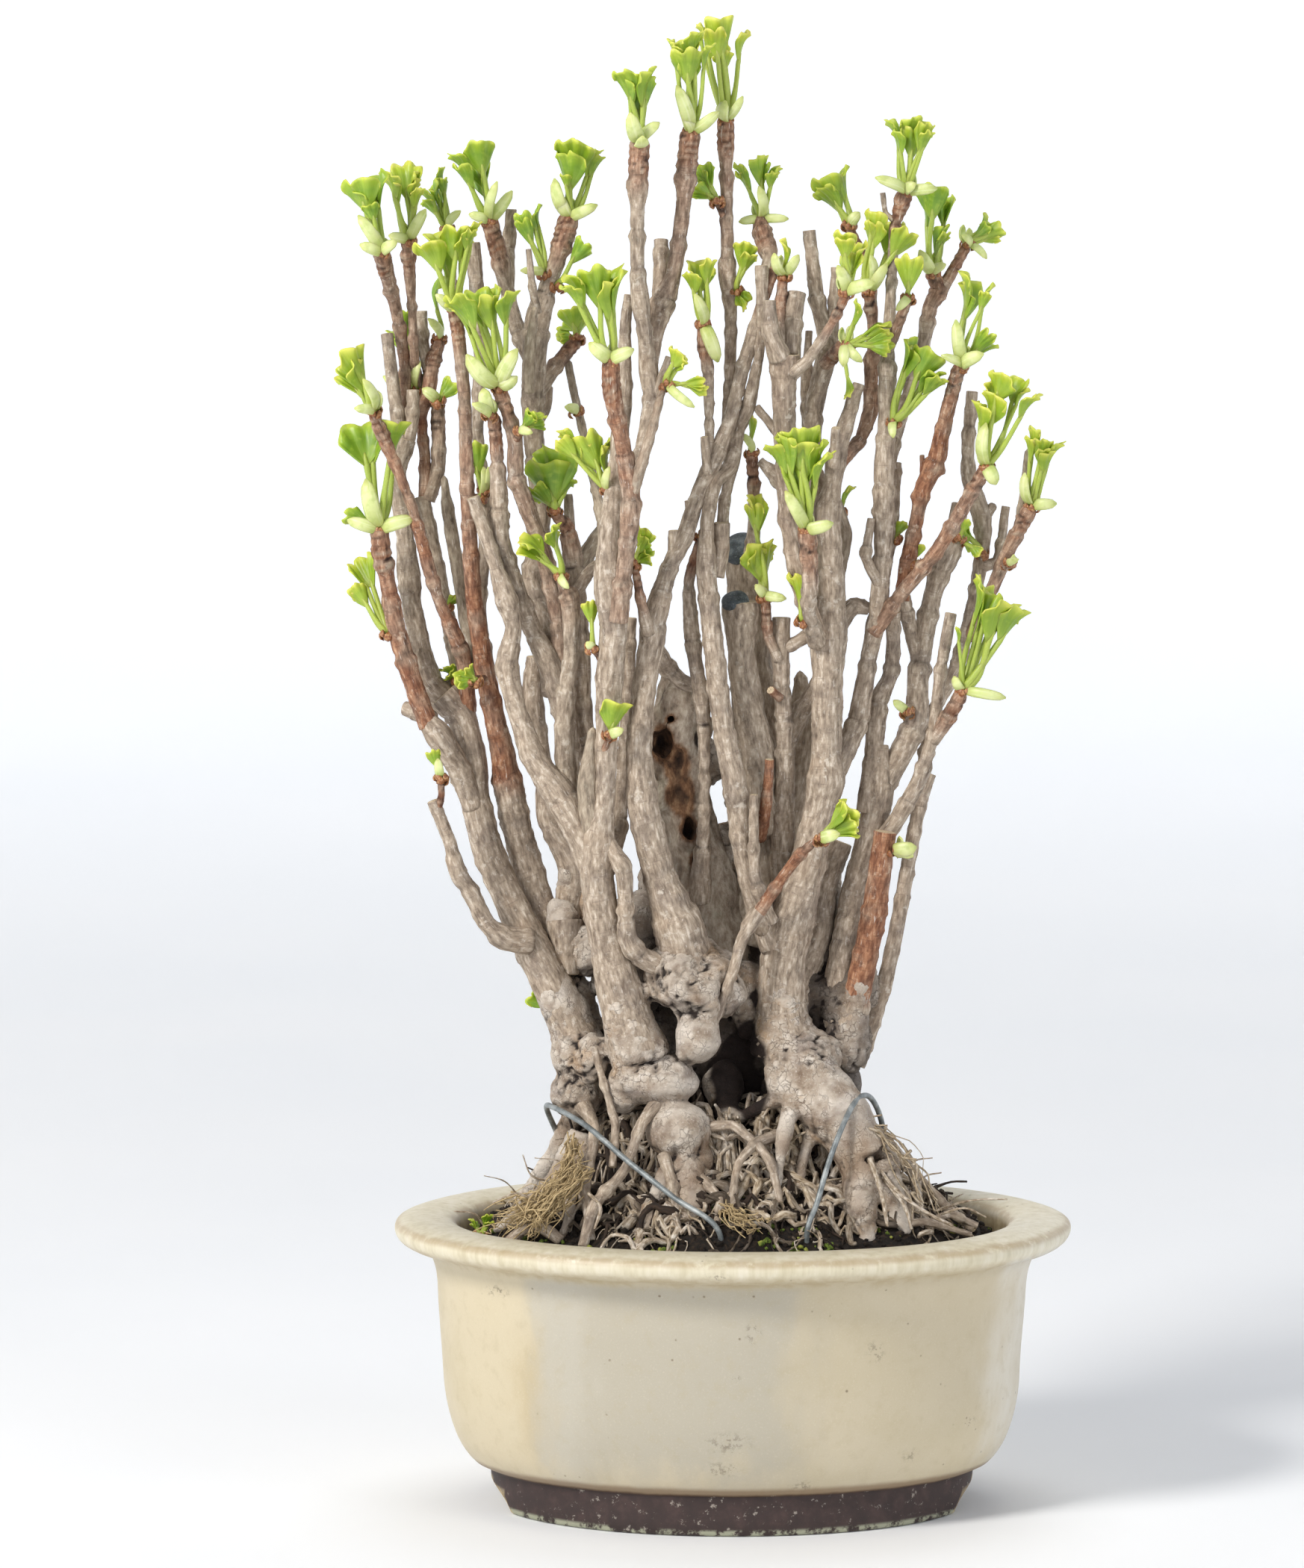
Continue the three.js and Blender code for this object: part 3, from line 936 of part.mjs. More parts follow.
addNode("pot", potSolid(), 0xe3d9c0, 0.55);
addNode("soil", largest(soil.asOriginal().simplify(SOIL_DETAIL)), 0x2c2119, 0.95);
addNode("wood", wood, 0x9a8b7d, 0.8);
wires.forEach(({ name, rows, side }) => addNode(name, wireSolid(rows, side, 0), 0x9aa6ab, 0.5));
addNode("drain_mesh_left", screens[0], 0x2f2f31, 0.6);
addNode("drain_mesh_right", screens[1], 0x2f2f31, 0.6);
for (const [name, paste] of Object.entries(PASTE)) {
  addNode(name, largest(pasteSolid(paste).subtract(grownWood)), 0x5d676d, 0.7);
}

let taken = grownWood;
Object.entries(SHOOTS).forEach(([name, plan], i) => {
  const { shoot, room } = growShoot(plan, 101 + i, taken);
  addNode(name, shoot, 0x9cc53d, 0.55);
  taken = taken.add(room);
});

// The origin goes under the middle of the whole plant.
const box = new THREE.Box3().setFromObject(group);
group.children.forEach((piece) => {
  piece.geometry.translate(-(box.min.x + box.max.x) / 2, -(box.min.y + box.max.y) / 2, -box.min.z);
});

export default group;
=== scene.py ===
"""A ginkgo bonsai grown together with its oval pot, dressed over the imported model."""
import math

import bpy
import numpy as np
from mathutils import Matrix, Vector


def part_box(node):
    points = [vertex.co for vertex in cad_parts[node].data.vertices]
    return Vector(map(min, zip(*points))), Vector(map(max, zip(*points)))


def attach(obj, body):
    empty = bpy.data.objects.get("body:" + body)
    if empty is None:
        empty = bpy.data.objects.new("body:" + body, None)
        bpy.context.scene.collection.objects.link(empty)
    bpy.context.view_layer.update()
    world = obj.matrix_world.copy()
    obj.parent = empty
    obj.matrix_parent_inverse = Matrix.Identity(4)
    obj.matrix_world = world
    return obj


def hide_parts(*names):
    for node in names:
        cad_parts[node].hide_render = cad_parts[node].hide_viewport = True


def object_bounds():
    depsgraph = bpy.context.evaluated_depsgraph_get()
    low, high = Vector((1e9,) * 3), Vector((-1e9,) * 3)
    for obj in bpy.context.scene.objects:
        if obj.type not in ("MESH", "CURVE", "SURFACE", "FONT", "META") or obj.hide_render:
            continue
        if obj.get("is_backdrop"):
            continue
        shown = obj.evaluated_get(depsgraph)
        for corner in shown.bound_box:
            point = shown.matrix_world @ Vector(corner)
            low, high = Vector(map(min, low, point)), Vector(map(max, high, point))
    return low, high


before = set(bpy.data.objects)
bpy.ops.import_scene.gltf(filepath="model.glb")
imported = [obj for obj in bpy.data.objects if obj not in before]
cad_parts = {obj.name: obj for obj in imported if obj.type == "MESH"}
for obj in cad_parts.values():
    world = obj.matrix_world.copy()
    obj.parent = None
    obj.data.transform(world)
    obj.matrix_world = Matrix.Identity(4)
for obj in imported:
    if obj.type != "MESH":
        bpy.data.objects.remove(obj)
CAD_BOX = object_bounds()

# ---- sizes in millimetres, from the middle of the pot's foot ----
# Half length and half depth of the pot's ovals.
RIM = (113, 88)
MOUTH = (92, 68)
FOOT = (80, 59)
# The part of the soil on which roots and crumbs lie.
BED = (MOUTH[0] - 3, MOUTH[1] - 3)
FLOOR_Z = 21
FLOOR_UNDER_Z = 12
# A drain hole's distance from the middle and its radius; the width and height of the arch in the foot ring.
DRAIN = (38, 9)
FOOT_ARCH = (46, 8.5)
SOIL_EDGE_Z = 86
SOIL_RISE = 27
WIRE_RADIUS = 0.95
# Where the photograph was taken from, and the camera's tilt in degrees and focal length.
EYE = np.array((-26.8, -2200.0, 464.0))
LOOKING_DOWN = 5.77
LENS = 152.66
# Depths are drawn for a narrow crown: from this height it fans out about the trunk's depth.
TRUNK_DEPTH = -5
FAN_FROM, FAN_OVER, FAN_GROWTH = 160, 230, 1.4

# In all the lists below u is the place across and v the height in the photograph, both in millimetres at the
# pot's middle, and the depth runs towards the back.
# Hollows in the dead stump: u, v, depth and half sizes.
CAVITIES = [(-23.2, 255, 0, 3.6, 8, 5.6), (-20.5, 263.5, 0, 1.6, 5, 1.6), (-18.6, 248, -2, 4, 4.5, 6),
            (-17, 238, -2, 4.6, 4, 7), (-14.5, 227, -1, 2.6, 5, 4), (-12, 216, -1, 2, 4, 3)]

# Stems, twigs and stubs: u, v, depth and radius.
STEMS = {
    "left_outer": [(-50, 150, -2, 9), (-54, 162, -2, 7.5), (-63, 180, -2, 6.3), (-73, 200, 0, 5.2),
    (-81.5, 220, 2, 5.2), (-85.5, 236, 2, 5), (-87, 250, 3, 5.1), (-90, 264, 3, 4.9), (-96, 271, 3, 5.5)],
    "left_outer_upper": [(-94, 268, 3, 4.5), (-101, 275, 4, 5), (-104, 288, 5, 3.6), (-106.5, 302, 6, 3.2),
    (-107.5, 311, 6, 3.9), (-108.5, 323, 6, 3), (-111, 345, 7, 2.8), (-109, 356, 7, 4)],
    "left_cut_tall": [(-109.5, 354, 7, 2.8), (-111, 363, 7, 2.3), (-114.3, 391, 8, 2.1)],
    "left_cut_short": [(-108, 355, 7, 2.6), (-106, 363, 7, 2.1), (-105.7, 372.5, 7, 2.1)],
    "left_lower_limb": [(-86, 234, 1, 4), (-91, 247, -1, 3.8), (-98, 258, -4, 4.5), (-102, 263.5, -4, 3.4)],
    "left_red": [(-101, 261, -4, 3.3), (-105, 272, -5, 3.2), (-111.5, 293, -6, 3.1), (-115, 312, -7, 2.6),
    (-116.5, 319, -8, 3.3), (-117, 325, -8, 3.1)],
    "left_long_twig": [(-88, 266, 3, 3), (-88.5, 278, 0, 2.6), (-90, 286, -2, 2.7), (-97.5, 303, -6, 1.9),
    (-100, 311, -7, 2.3), (-106, 333, -9, 1.7), (-110.5, 345, -10, 1.7), (-115, 355.5, -10, 2.2),
    (-118.5, 364, -11, 2)],
    "left_pale": [(-94, 271, 5, 4), (-91, 279, 8, 3), (-93, 290, 9, 2.5), (-98, 315, 9, 2.2),
    (-103, 337, 10, 2.6)],
    "left_pale_cut": [(-101, 336, 10, 2.6), (-97.8, 346, 10, 2.5), (-97.5, 367.5, 10, 2.3)],
    "left_pale_red": [(-102, 337, 10, 2.2), (-101.8, 350, 10, 1.9), (-103, 363, 11, 1.7),
    (-100.5, 373, 11, 2.4), (-99.5, 381, 12, 2.6), (-97, 388.5, 12, 2.2)],
    "left_pale_stub": [(-100.5, 379, 12, 2.2), (-102.5, 388, 13, 2.1), (-103, 398.5, 13, 2.1)],
    "left_high_twig": [(-109.5, 352, 7, 2.2), (-108.5, 366, 10, 2), (-108.5, 382, 11, 2), (-111, 398, 8, 2),
    (-113.5, 408, 3, 2.4), (-115.8, 417, -3, 2.9)],
    "left_second_twig": [(-102.6, 357, 10.6, 1.8), (-104.3, 372, 13, 1.7), (-105.6, 388, 9, 1.5),
    (-106, 400, 8, 1.4), (-106.8, 411, 6, 2), (-107.2, 421, 4, 2.5)],
    "left_third_twig": [(-91, 392, -7.5, 1.9), (-92.5, 404, -2, 1.6), (-93.2, 415, 5, 1.6),
    (-93.8, 425, 11, 2.1)],
    "left_jin": [(-84, 279, 0, 2.6), (-87.5, 289, 4, 2.2), (-89.5, 303, 7, 2.1), (-94, 331, 8, 2.1),
    (-95.5, 343, 9, 1.2)],
    "tall_brown": [(-48, 158, 8, 6), (-58, 184, 8, 5.4), (-66, 206, 8, 5.4), (-71.5, 226, 7, 5),
    (-74.8, 242, 5, 5), (-76, 250, 3, 4.2), (-79.5, 266, 0, 3.5), (-83, 284, -2, 3), (-86, 306, -4, 2.8),
    (-88, 340, -7, 2.3), (-88.8, 370, -8, 2.1), (-91, 393, -8, 2.3), (-92, 398, -8, 2.2)],
    "tall_behind": [(-81, 276, 1, 2.6), (-84, 300, 2, 2.2), (-81.7, 328, 3, 2.1), (-84.5, 360, 6, 1.9),
    (-83.5, 385, 6, 2.2), (-84.5, 403, 6, 2.5), (-86, 421, 6, 2.5)],
    "hook_left": [(-68, 189, -5, 4.6), (-76, 190, -9, 4), (-82, 195, -11, 2.9), (-88, 207, -13, 2.8),
    (-91, 211, -14, 3), (-94, 222, -15, 2.1), (-99.5, 236, -15, 2.1)],
    "limb_left": [(-46, 214, -19, 5.5), (-52, 228, -18, 5.2), (-57.5, 238, -17, 5.2), (-66.5, 251, -15, 4),
    (-72, 268, -13, 3.2), (-75, 281, -12, 3.8), (-72.8, 294, -12, 2.6), (-75, 303, -12, 3.7),
    (-79, 316, -12, 2.4), (-86, 337, -12, 2.2)],
    "limb_middle": [(-52.5, 232, -16.5, 3.8), (-53.8, 245, -11.5, 3.4), (-55.5, 262, -7, 3.4),
    (-61, 282, -7, 3.9), (-66.5, 293, -7, 3.1), (-73.5, 313, -9, 2.6), (-76.8, 323, -10, 3),
    (-77.5, 338, -10, 2.9), (-78, 350, -10, 2.2), (-79, 363, -11, 2.2)],
    "limb_inner": [(-57.5, 279, -6, 3), (-58, 295, -6, 2.5), (-62.5, 318, -8, 2.8), (-67.5, 332, -9, 2.8),
    (-71.8, 344, -10, 2.8), (-72.2, 357, -11, 2.5), (-74.5, 365, -12, 2.2), (-77, 372, -12, 2.5)],
    "pale_ringed": [(-54, 233, -15, 3.4), (-56, 250, -14, 3.2), (-55.5, 267, -13, 3.2),
    (-53.5, 288, -13, 2.5), (-54, 303, -13, 3), (-57, 310, -13, 1.6)],
    "grey_behind": [(-44, 213, -15, 4), (-45, 234, -7, 3.2), (-49.5, 262, -3, 3.2), (-50.5, 290, -1, 3),
    (-53, 316, -2, 3.3), (-55, 327, -3, 2.6), (-58.5, 331, -5, 1.9)],
    "grey_behind_stub": [(-54, 325, -2, 1.9), (-54.5, 338, -2, 1.5)],
    "grey_behind_spur": [(-52.4, 306, -1.8, 2.6), (-46, 314, -6, 1.9), (-38.5, 317.5, -9, 1.7)],
    "grey_behind_jin": [(-52.6, 311, -1.6, 3.1), (-46, 322, 2, 2.4), (-43, 328, 3, 1.4)],
    "tan_rod": [(-40.9, 317, -18.5, 2.4), (-45.5, 340, -6, 1.5), (-50, 360, 2, 1.4),
    (-54.5, 381.5, 6, 1.3)],
    "crown_left": [(-60, 272, -6.8, 3.6), (-60.5, 284, -2.5, 3.5), (-63, 296, 0, 4), (-66.3, 309, 2, 3.8),
    (-63.5, 330, 2, 3.2), (-66, 358, 2, 3.4), (-66, 377, 0, 3.9), (-64.5, 396, 0, 4.3),
    (-60.8, 408, 0, 2.8), (-58, 416, 0, 2.8), (-55.8, 423, 0, 3.6), (-54.5, 428, 0, 3.5)],
    "crown_left_spur": [(-65.6, 371, 0.6, 3), (-59, 380, 4, 2.4), (-52, 388.5, 7, 2.2)],
    "crown_left_back": [(-65.7, 381, 0.5, 3), (-71, 392, 5, 2.7), (-74.3, 405, 8, 2.2),
    (-73.2, 432, 8, 1.9)],
    "crown_left_knuckle": [(-74.1, 403.5, 8, 2.2), (-76.5, 414, 5, 2.9), (-80, 427, 3, 2.8)],
    "front_left": [(-31, 150, -18, 9.5), (-37, 170, -18, 7.6), (-42, 189, -18, 5.9), (-45.3, 210, -20, 5.6),
    (-45, 221, -20, 5.6), (-42.7, 236, -21, 3.4), (-42, 256, -21, 3.6), (-40.8, 276, -20, 4.4),
    (-39.5, 295, -20, 4.5), (-40.8, 308, -20, 5.2), (-40.8, 325, -20, 3.8), (-38.5, 347, -17, 2.6),
    (-36.5, 368, -14, 2.9), (-35.5, 394, -13, 1.8), (-34.5, 404, -13, 1.6)],
    "front_left_spike": [(-47, 222, -20, 3.2), (-48.5, 243, -21, 2.8), (-46.5, 259, -21, 1.5)],
    "front_left_hook": [(-42, 223, -21, 2.6), (-36.5, 213.5, -23, 3), (-35.5, 202, -23, 2.5),
    (-35, 190, -23, 3.2), (-31, 184, -21, 3.4), (-25, 181, -19, 3.6)],
    "front_left_twig": [(-43, 252, -22, 1.3), (-41, 257.5, -25, 1.1)],
    "front_fork": [(-38, 296, -22, 3.2), (-35.8, 314, -23, 2.6), (-33.8, 332, -24, 3.2),
    (-34.3, 342, -24, 3.1), (-37, 357, -26, 2.5), (-40.2, 373, -27, 3.1), (-40.5, 381, -27, 2.9)],
    "crown_middle": [(-34, 338, -22, 2.8), (-30.5, 351, -20, 2.4), (-27, 369, -16, 2.8),
    (-28, 379, -15, 3.2), (-29.3, 392, -15, 2.4), (-30.7, 402, -15, 3), (-31.6, 413, -15, 2.3),
    (-31.6, 432, -15, 2.3), (-31.5, 438, -15, 3.3), (-31, 453, -15, 3.3)],
    "crown_middle_stub": [(-26.8, 367, -16, 2), (-21.3, 383.5, -16, 1.1)],
    "straw_rod": [(-34, 336, -24, 2.2), (-27, 359, -26, 1.5), (-22.3, 377, -24, 1.2)],
    "crown_second": [(-28, 379, -14, 2.8), (-26, 391, -12, 2.9), (-23, 402, -10, 4), (-19.6, 411, -10, 2.5),
    (-16.3, 435, -10, 2.5), (-15.8, 442, -10, 3.4), (-14.5, 456, -10, 3.3)],
    "crown_second_stub": [(-24, 402, -9, 3), (-24, 410, -8, 2.5), (-23.8, 422, -7, 2.4)],
    "pale_between": [(-43, 213, -16, 4), (-38, 225, -11, 2.6), (-37, 240, -8, 2.1), (-34.7, 275, -8, 2),
    (-33.5, 297, -8, 1.7)],
    "curled_spur": [(-28, 292, -16, 2.4), (-30.5, 303, -19, 1.6), (-32.5, 314, -19, 1.2)],
    "front_centre": [(-14, 178, -10, 6), (-16, 187, -14, 8.6), (-18, 194, -16, 8.4), (-21, 202, -17, 6.6),
    (-24, 210, -17, 5.4),
    (-27, 222, -18, 5.3), (-30, 236, -18, 5.3), (-31, 252, -18, 4.3), (-29.8, 272, -16, 3.9),
    (-27, 288, -14, 4.3), (-25.8, 297, -14, 4), (-21, 314, -13, 2.8), (-16, 324, -13, 2.9),
    (-11, 340, -11, 2.4), (-7.5, 347, -10, 2.9), (-1.5, 361, -9, 2.4), (3, 379, -8, 2.2), (7, 392, -8, 2.4),
    (9.5, 401, -8, 1.8), (13.5, 412, -8, 1.6)],
    "front_centre_peg": [(-14, 330, -12, 1.5), (-15, 336, -12, 1.1)],
    "crown_third": [(-2, 357, -8, 2.1), (-1, 380, -6, 1.9), (-0.8, 398, -5, 2.1), (-2, 411, -5, 2.9),
    (-2, 420, -5, 2.1), (-2.4, 446, -5, 2.1), (-2.5, 453, -5, 2.9), (-2.5, 460, -5, 2.8)],
    "crown_third_twig": [(-2.3, 428, -5, 1.4), (-5.2, 434.5, -6, 1.2)],
    "thin_spur": [(-8, 346, -10, 1.8), (-7.8, 358, -10, 1.5), (-8.3, 378, -10, 1.8), (-9.4, 387, -10, 2.5),
    (-9.6, 393, -10, 2.3)],
    "centre_thin": [(-11, 203, 0, 3.8), (-9.5, 230, -8.5, 1.9), (-9.5, 257, -9, 1.9), (-10, 266, -9, 2.5),
    (-12.5, 283, -9, 2.4), (-13.6, 292, -9, 2.6), (-14.5, 309, -9, 1.9), (-11, 324, -11, 1.2)],
    "centre_arch": [(-26.6, 289, -13, 2.8), (-22, 281, -6, 2.8), (-17, 276, -6, 2.6),
    (-11.5, 274, -8, 2.2)],
    "centre_front": [(14, 187, -8, 5), (9, 200, -8, 4.2), (3.6, 218, -10, 3.4), (2, 232, -11, 3.8),
    (0.8, 241, -12, 4.1), (-3.2, 261, -12, 3.6), (-6.4, 288, -13, 3.3), (-8.8, 312, -13, 3.3),
    (-8.6, 328, -13, 2.3), (-6, 342, -10, 2.4), (-1, 347, -8, 2.8), (2, 360, -7, 2), (4.8, 366.5, -8, 2.3),
    (8.5, 384, -8, 1.6), (9.6, 396, -9, 1.9), (9.3, 413.5, -9, 2.1)],
    "centre_front_stub": [(-6, 311, -12, 3), (-3.8, 320, -11, 2.7), (-3.7, 328.5, -11, 2.7)],
    "centre_front_link": [(-3.6, 324, -9, 2), (-2.8, 336, -8, 1.8), (-0.5, 346, -8, 2)],
    "centre_front_second": [(12, 195, -12, 3), (7.5, 211, -14, 2), (7, 228, -14, 1.7),
    (7.2, 238, -14, 1.3)],
    "aerial_root": [(10, 193, -10, 2.8), (8, 198, -17, 2.9), (3.2, 190, -21, 1.9), (0.5, 180, -23, 1.7),
    (-5, 164, -24, 1.3), (-7, 158, -24, 1.2)],
    "low_twig": [(8.5, 198, -17, 2.2), (17, 211, -22, 1.7), (22, 217.5, -25, 1.8), (30, 225, -29, 1.1)],
    "pale_spur": [(6, 305, 4, 3.2), (7, 333, -2, 2), (6.3, 350.5, -3, 2)],
    "dead_high": [(3, 188, 10, 9), (8, 208, 11, 8), (9, 232, 10, 7.2), (7, 265, 10, 7), (5.5, 295, 7, 6.9),
    (3.7, 319, 4, 6.4)],
    "dead_low": [(9, 226, 3, 7.2), (8, 250, 0, 6.2), (5.2, 266, -2, 5.2), (3.6, 276.5, -3.5, 4.7),
    (2.8, 286, -5, 4.4),
    (2.6, 294, -6, 5.1), (2.6, 299, -6, 5.9), (2.6, 302, -6, 5.8)],
    "red_stub": [(8.5, 224, -0.5, 2.8), (11, 233, -6.5, 1.9), (12.3, 249.8, -8, 1.5)],
    "centre_right": [(17, 198, 3, 4), (16.6, 220, 1, 4.2), (17.4, 242, -1, 3.2), (17, 264, -3, 2.7),
    (15.8, 284, -4, 3), (16, 297, -4, 3)],
    "centre_right_limb": [(17.5, 254, -2, 2.8), (21.5, 263, 1, 3.2), (29, 277, 1, 2.6)],
    "centre_right_bridge": [(16, 287, -4, 2.4), (21, 289, -4, 2.1), (29, 293.5, -4, 3)],
    "centre_right_spur": [(15.5, 283, -5, 2), (11.8, 291, -6, 1.7), (10.8, 303, -7, 1.7)],
    "trunk": [(18, 152, -6, 11.5), (16.5, 168, -6, 7.8), (17, 183, -6, 7.5), (19, 195, -6, 8),
    (24.5, 213, -6, 6), (29, 233, -6, 5.2), (31, 243, -6, 6.3), (31, 252, -6, 5), (31.5, 276, -6, 5.1),
    (31.8, 291, -6, 6.2), (31.9, 305, -6, 5.4), (31.5, 322, -6, 4.6), (31.3, 332, -6, 4.6),
    (33, 342, -5, 2.9), (34, 349, -5, 3.4), (36, 357, -5, 2.8), (41.5, 374.5, -4, 2)],
    "front_bunch_spur": [(27.8, 289, -9, 3), (25.2, 299, -16, 2.2), (25.6, 309, -18, 2.7),
    (24.6, 325, -18, 3)],
    "trunk_branch": [(34.5, 348, -5, 2.6), (42, 356, 0, 2.1), (45.4, 366, 2, 2.6), (45.6, 378, 2, 2.3),
    (46.3, 391, 1, 1.8), (44.8, 404, 0, 1.9)],
    "back_twig": [(45.6, 397, 0.6, 1.9), (45.5, 411, 4, 1.5), (38.8, 425, 5, 1.5)],
    "crown_centre": [(28, 291, -9, 3.2), (21.5, 311, -11, 3), (17.9, 335, -11, 3), (17, 358, -11, 3.6),
    (16.8, 374, -11, 4), (17, 384, -11, 5.3)],
    "crown_knot": [(9.6, 409, -8.6, 1.9), (12, 415.5, -6, 2.2), (11.3, 419, -4, 3.3), (9.8, 424, -2.5, 3.2),
    (9, 428, -1.5, 2.7)],
    "crown_centre_left": [(15.5, 383, -12, 3.8), (12.3, 392, -13, 2.9), (12, 402, -13, 2)],
    "crown_centre_stub": [(18.8, 384, -10, 3.6), (19.6, 395, -9, 3.1), (21, 404.5, -8, 3.1)],
    "crown_centre_twig": [(16.5, 385, -10, 2.8), (15.2, 398, -9, 2.1), (16.5, 409, -8, 1.7)],
    "crown_centre_diagonal": [(19.5, 378, -12, 2.4), (25, 383, -13, 1.8), (34, 397, -15, 1.5),
    (37, 403.5, -15, 1.6)],
    "crown_right": [(31, 327, -5, 3.2), (26.2, 348, -1, 2.9), (27, 368, 1, 3.1), (31.5, 388, 1, 3.3),
    (28, 401, 1, 2.5), (25, 425, 1, 2.2)],
    "crown_right_spur": [(30.2, 381, 0.8, 2.6), (36, 387, -5, 2.2)],
    "crown_right_pale": [(26.4, 349, -0.6, 2.8), (24.5, 372, 4, 2.3), (25, 392, 5, 1.2)],
    "right_grey": [(34, 245, -4, 3.6), (41.5, 263, 0, 3.4), (45, 283, -1, 2.9), (48, 298, -2, 3.2),
    (49.7, 319, -4, 3), (50, 335, -4, 3.6), (50, 346, -4, 3.4), (50.4, 363, -4, 2.5), (50.9, 377, -3, 2.9),
    (51.2, 388, -2, 2.2), (52.3, 410, 0, 1.7), (53.5, 427, 0, 1.8), (56, 436, 0, 2.9)],
    "right_grey_stub": [(49.5, 310, -3.2, 2.6), (53, 330, 1, 2), (54, 348.5, 2, 1.8)],
    "right_grey_spur": [(48.9, 308, -3.4, 2.2), (44.2, 317, -6, 1.7), (45.8, 330, -6, 1.3)],
    "right_grey_twig": [(51.3, 386, -3, 1.8), (57.5, 402, -6, 1.7)],
    "right_back": [(50.1, 343, -3.6, 2.7), (55, 362, 4, 2.2), (62.5, 386, 9, 2.3), (65, 400, 9, 2.5),
    (68, 406, 9, 3), (66, 410, 9, 2.3)],
    "right_back_twig": [(68.5, 405, 9, 2.2), (72.5, 412, 9, 1.9), (76.5, 419, 9, 1.7)],
    "right_dark": [(44, 232, 2, 3), (46.8, 252, 3, 3), (48.5, 269, 3, 3.2), (52.6, 279, 3, 2.5),
    (53.5, 299, 0, 2.3)],
    "right_slant": [(46.5, 292, -2, 2.8), (55, 304, -4, 2.5), (68, 320, -8, 2.3), (83, 345.5, -13, 2.3)],
    "right_red": [(56, 303, -3, 2.5), (57.6, 314, -2, 2.6), (61.3, 332, -2, 2.3), (63, 340, -2, 2.9),
    (67.6, 350.5, -3, 3.1), (69, 358, -4, 2.5), (74.5, 379.5, -6, 2.4)],
    "right_main": [(36, 148, 2, 6), (35, 168, 2, 5.4), (37, 188, 2, 4.2), (40, 204, 3, 4.2),
    (45.3, 222, 3, 4.7), (49, 238, 3, 4.7), (49, 254.5, 3, 2.7)],
    "right_upper": [(50, 240, 3, 3.6), (58, 256, 5, 4), (61, 263, 5, 4.2), (61.5, 276, 5, 3.5),
    (63, 289, 5, 3.5), (66.5, 306, 5, 3.1), (71.5, 319, 5, 4), (76, 333, 5, 2)],
    "right_upper_fork": [(61.5, 284, 5, 2.6), (59, 293, 4, 2.4), (56.5, 304, 0, 2.4)],
    "right_thin": [(49, 222, 1, 3), (55.5, 231, -2, 2.8), (62, 243, -4, 2.5), (66.5, 258, -6, 2),
    (68.8, 278, -6, 1.9), (72.3, 298.5, -6, 1.9)],
    "right_thin_spur": [(66.5, 256, -6, 2.2), (71, 263, -8, 2.5), (75.5, 271, -11, 2.4)],
    "right_outer": [(40, 148, 7, 4.5), (49.5, 170, 8, 2.7), (54.5, 192, 8, 2.5), (58.5, 215, 8, 2.4),
    (62.5, 236, 8, 2.4), (66, 245, 8, 1.6)],
    "right_far": [(62, 234, 8, 2.4), (66.5, 265, 10, 2.3), (74.5, 281, 10, 2.4), (80, 303, 10, 2.3),
    (82.8, 322, 10, 2.5), (82.3, 331, 10, 3.3), (78.3, 343, 10, 2.7), (77.6, 352, 10, 2.2),
    (79, 372, 10, 2)],
    "right_far_stub": [(82, 314, 10, 2.2), (87.5, 316, 10, 1.7), (90.3, 334, 10, 1.4)],
    "right_far_branch": [(78, 290, 10, 2.4), (84, 302, 8, 2.2), (91, 319, 4, 2.3), (98, 332.5, 2, 2.6)],
    "right_brown_stub": [(39, 158, -1, 5.6), (42.5, 175, -4, 4.3), (47.3, 200, -6, 4.1),
    (50.8, 225.5, -6, 3.6)],
    "hollow_wood": [(-6, 176, 8, 14), (-10, 205, 8, 11.5), (-15, 228, 6, 8.8), (-19, 250, 4, 8),
    (-18.5, 266, 3, 7), (-20, 278, 4, 3.5)],
    "dead_twisted": [(-57, 189, 7, 5), (-53, 213, 6, 5), (-61, 230, 6, 4), (-63, 250, 5, 2.6),
    (-66.5, 270, 4, 3.6), (-66, 284, 3, 2.6)],
    "dead_short": [(-56, 196, 2, 6), (-55, 178, 0, 4)],
    "dead_right": [(19, 166, -2, 6), (24, 179, 5, 5), (29, 192, 6, 4.5), (31, 208, 6, 4), (36, 222, 6, 4)],
}

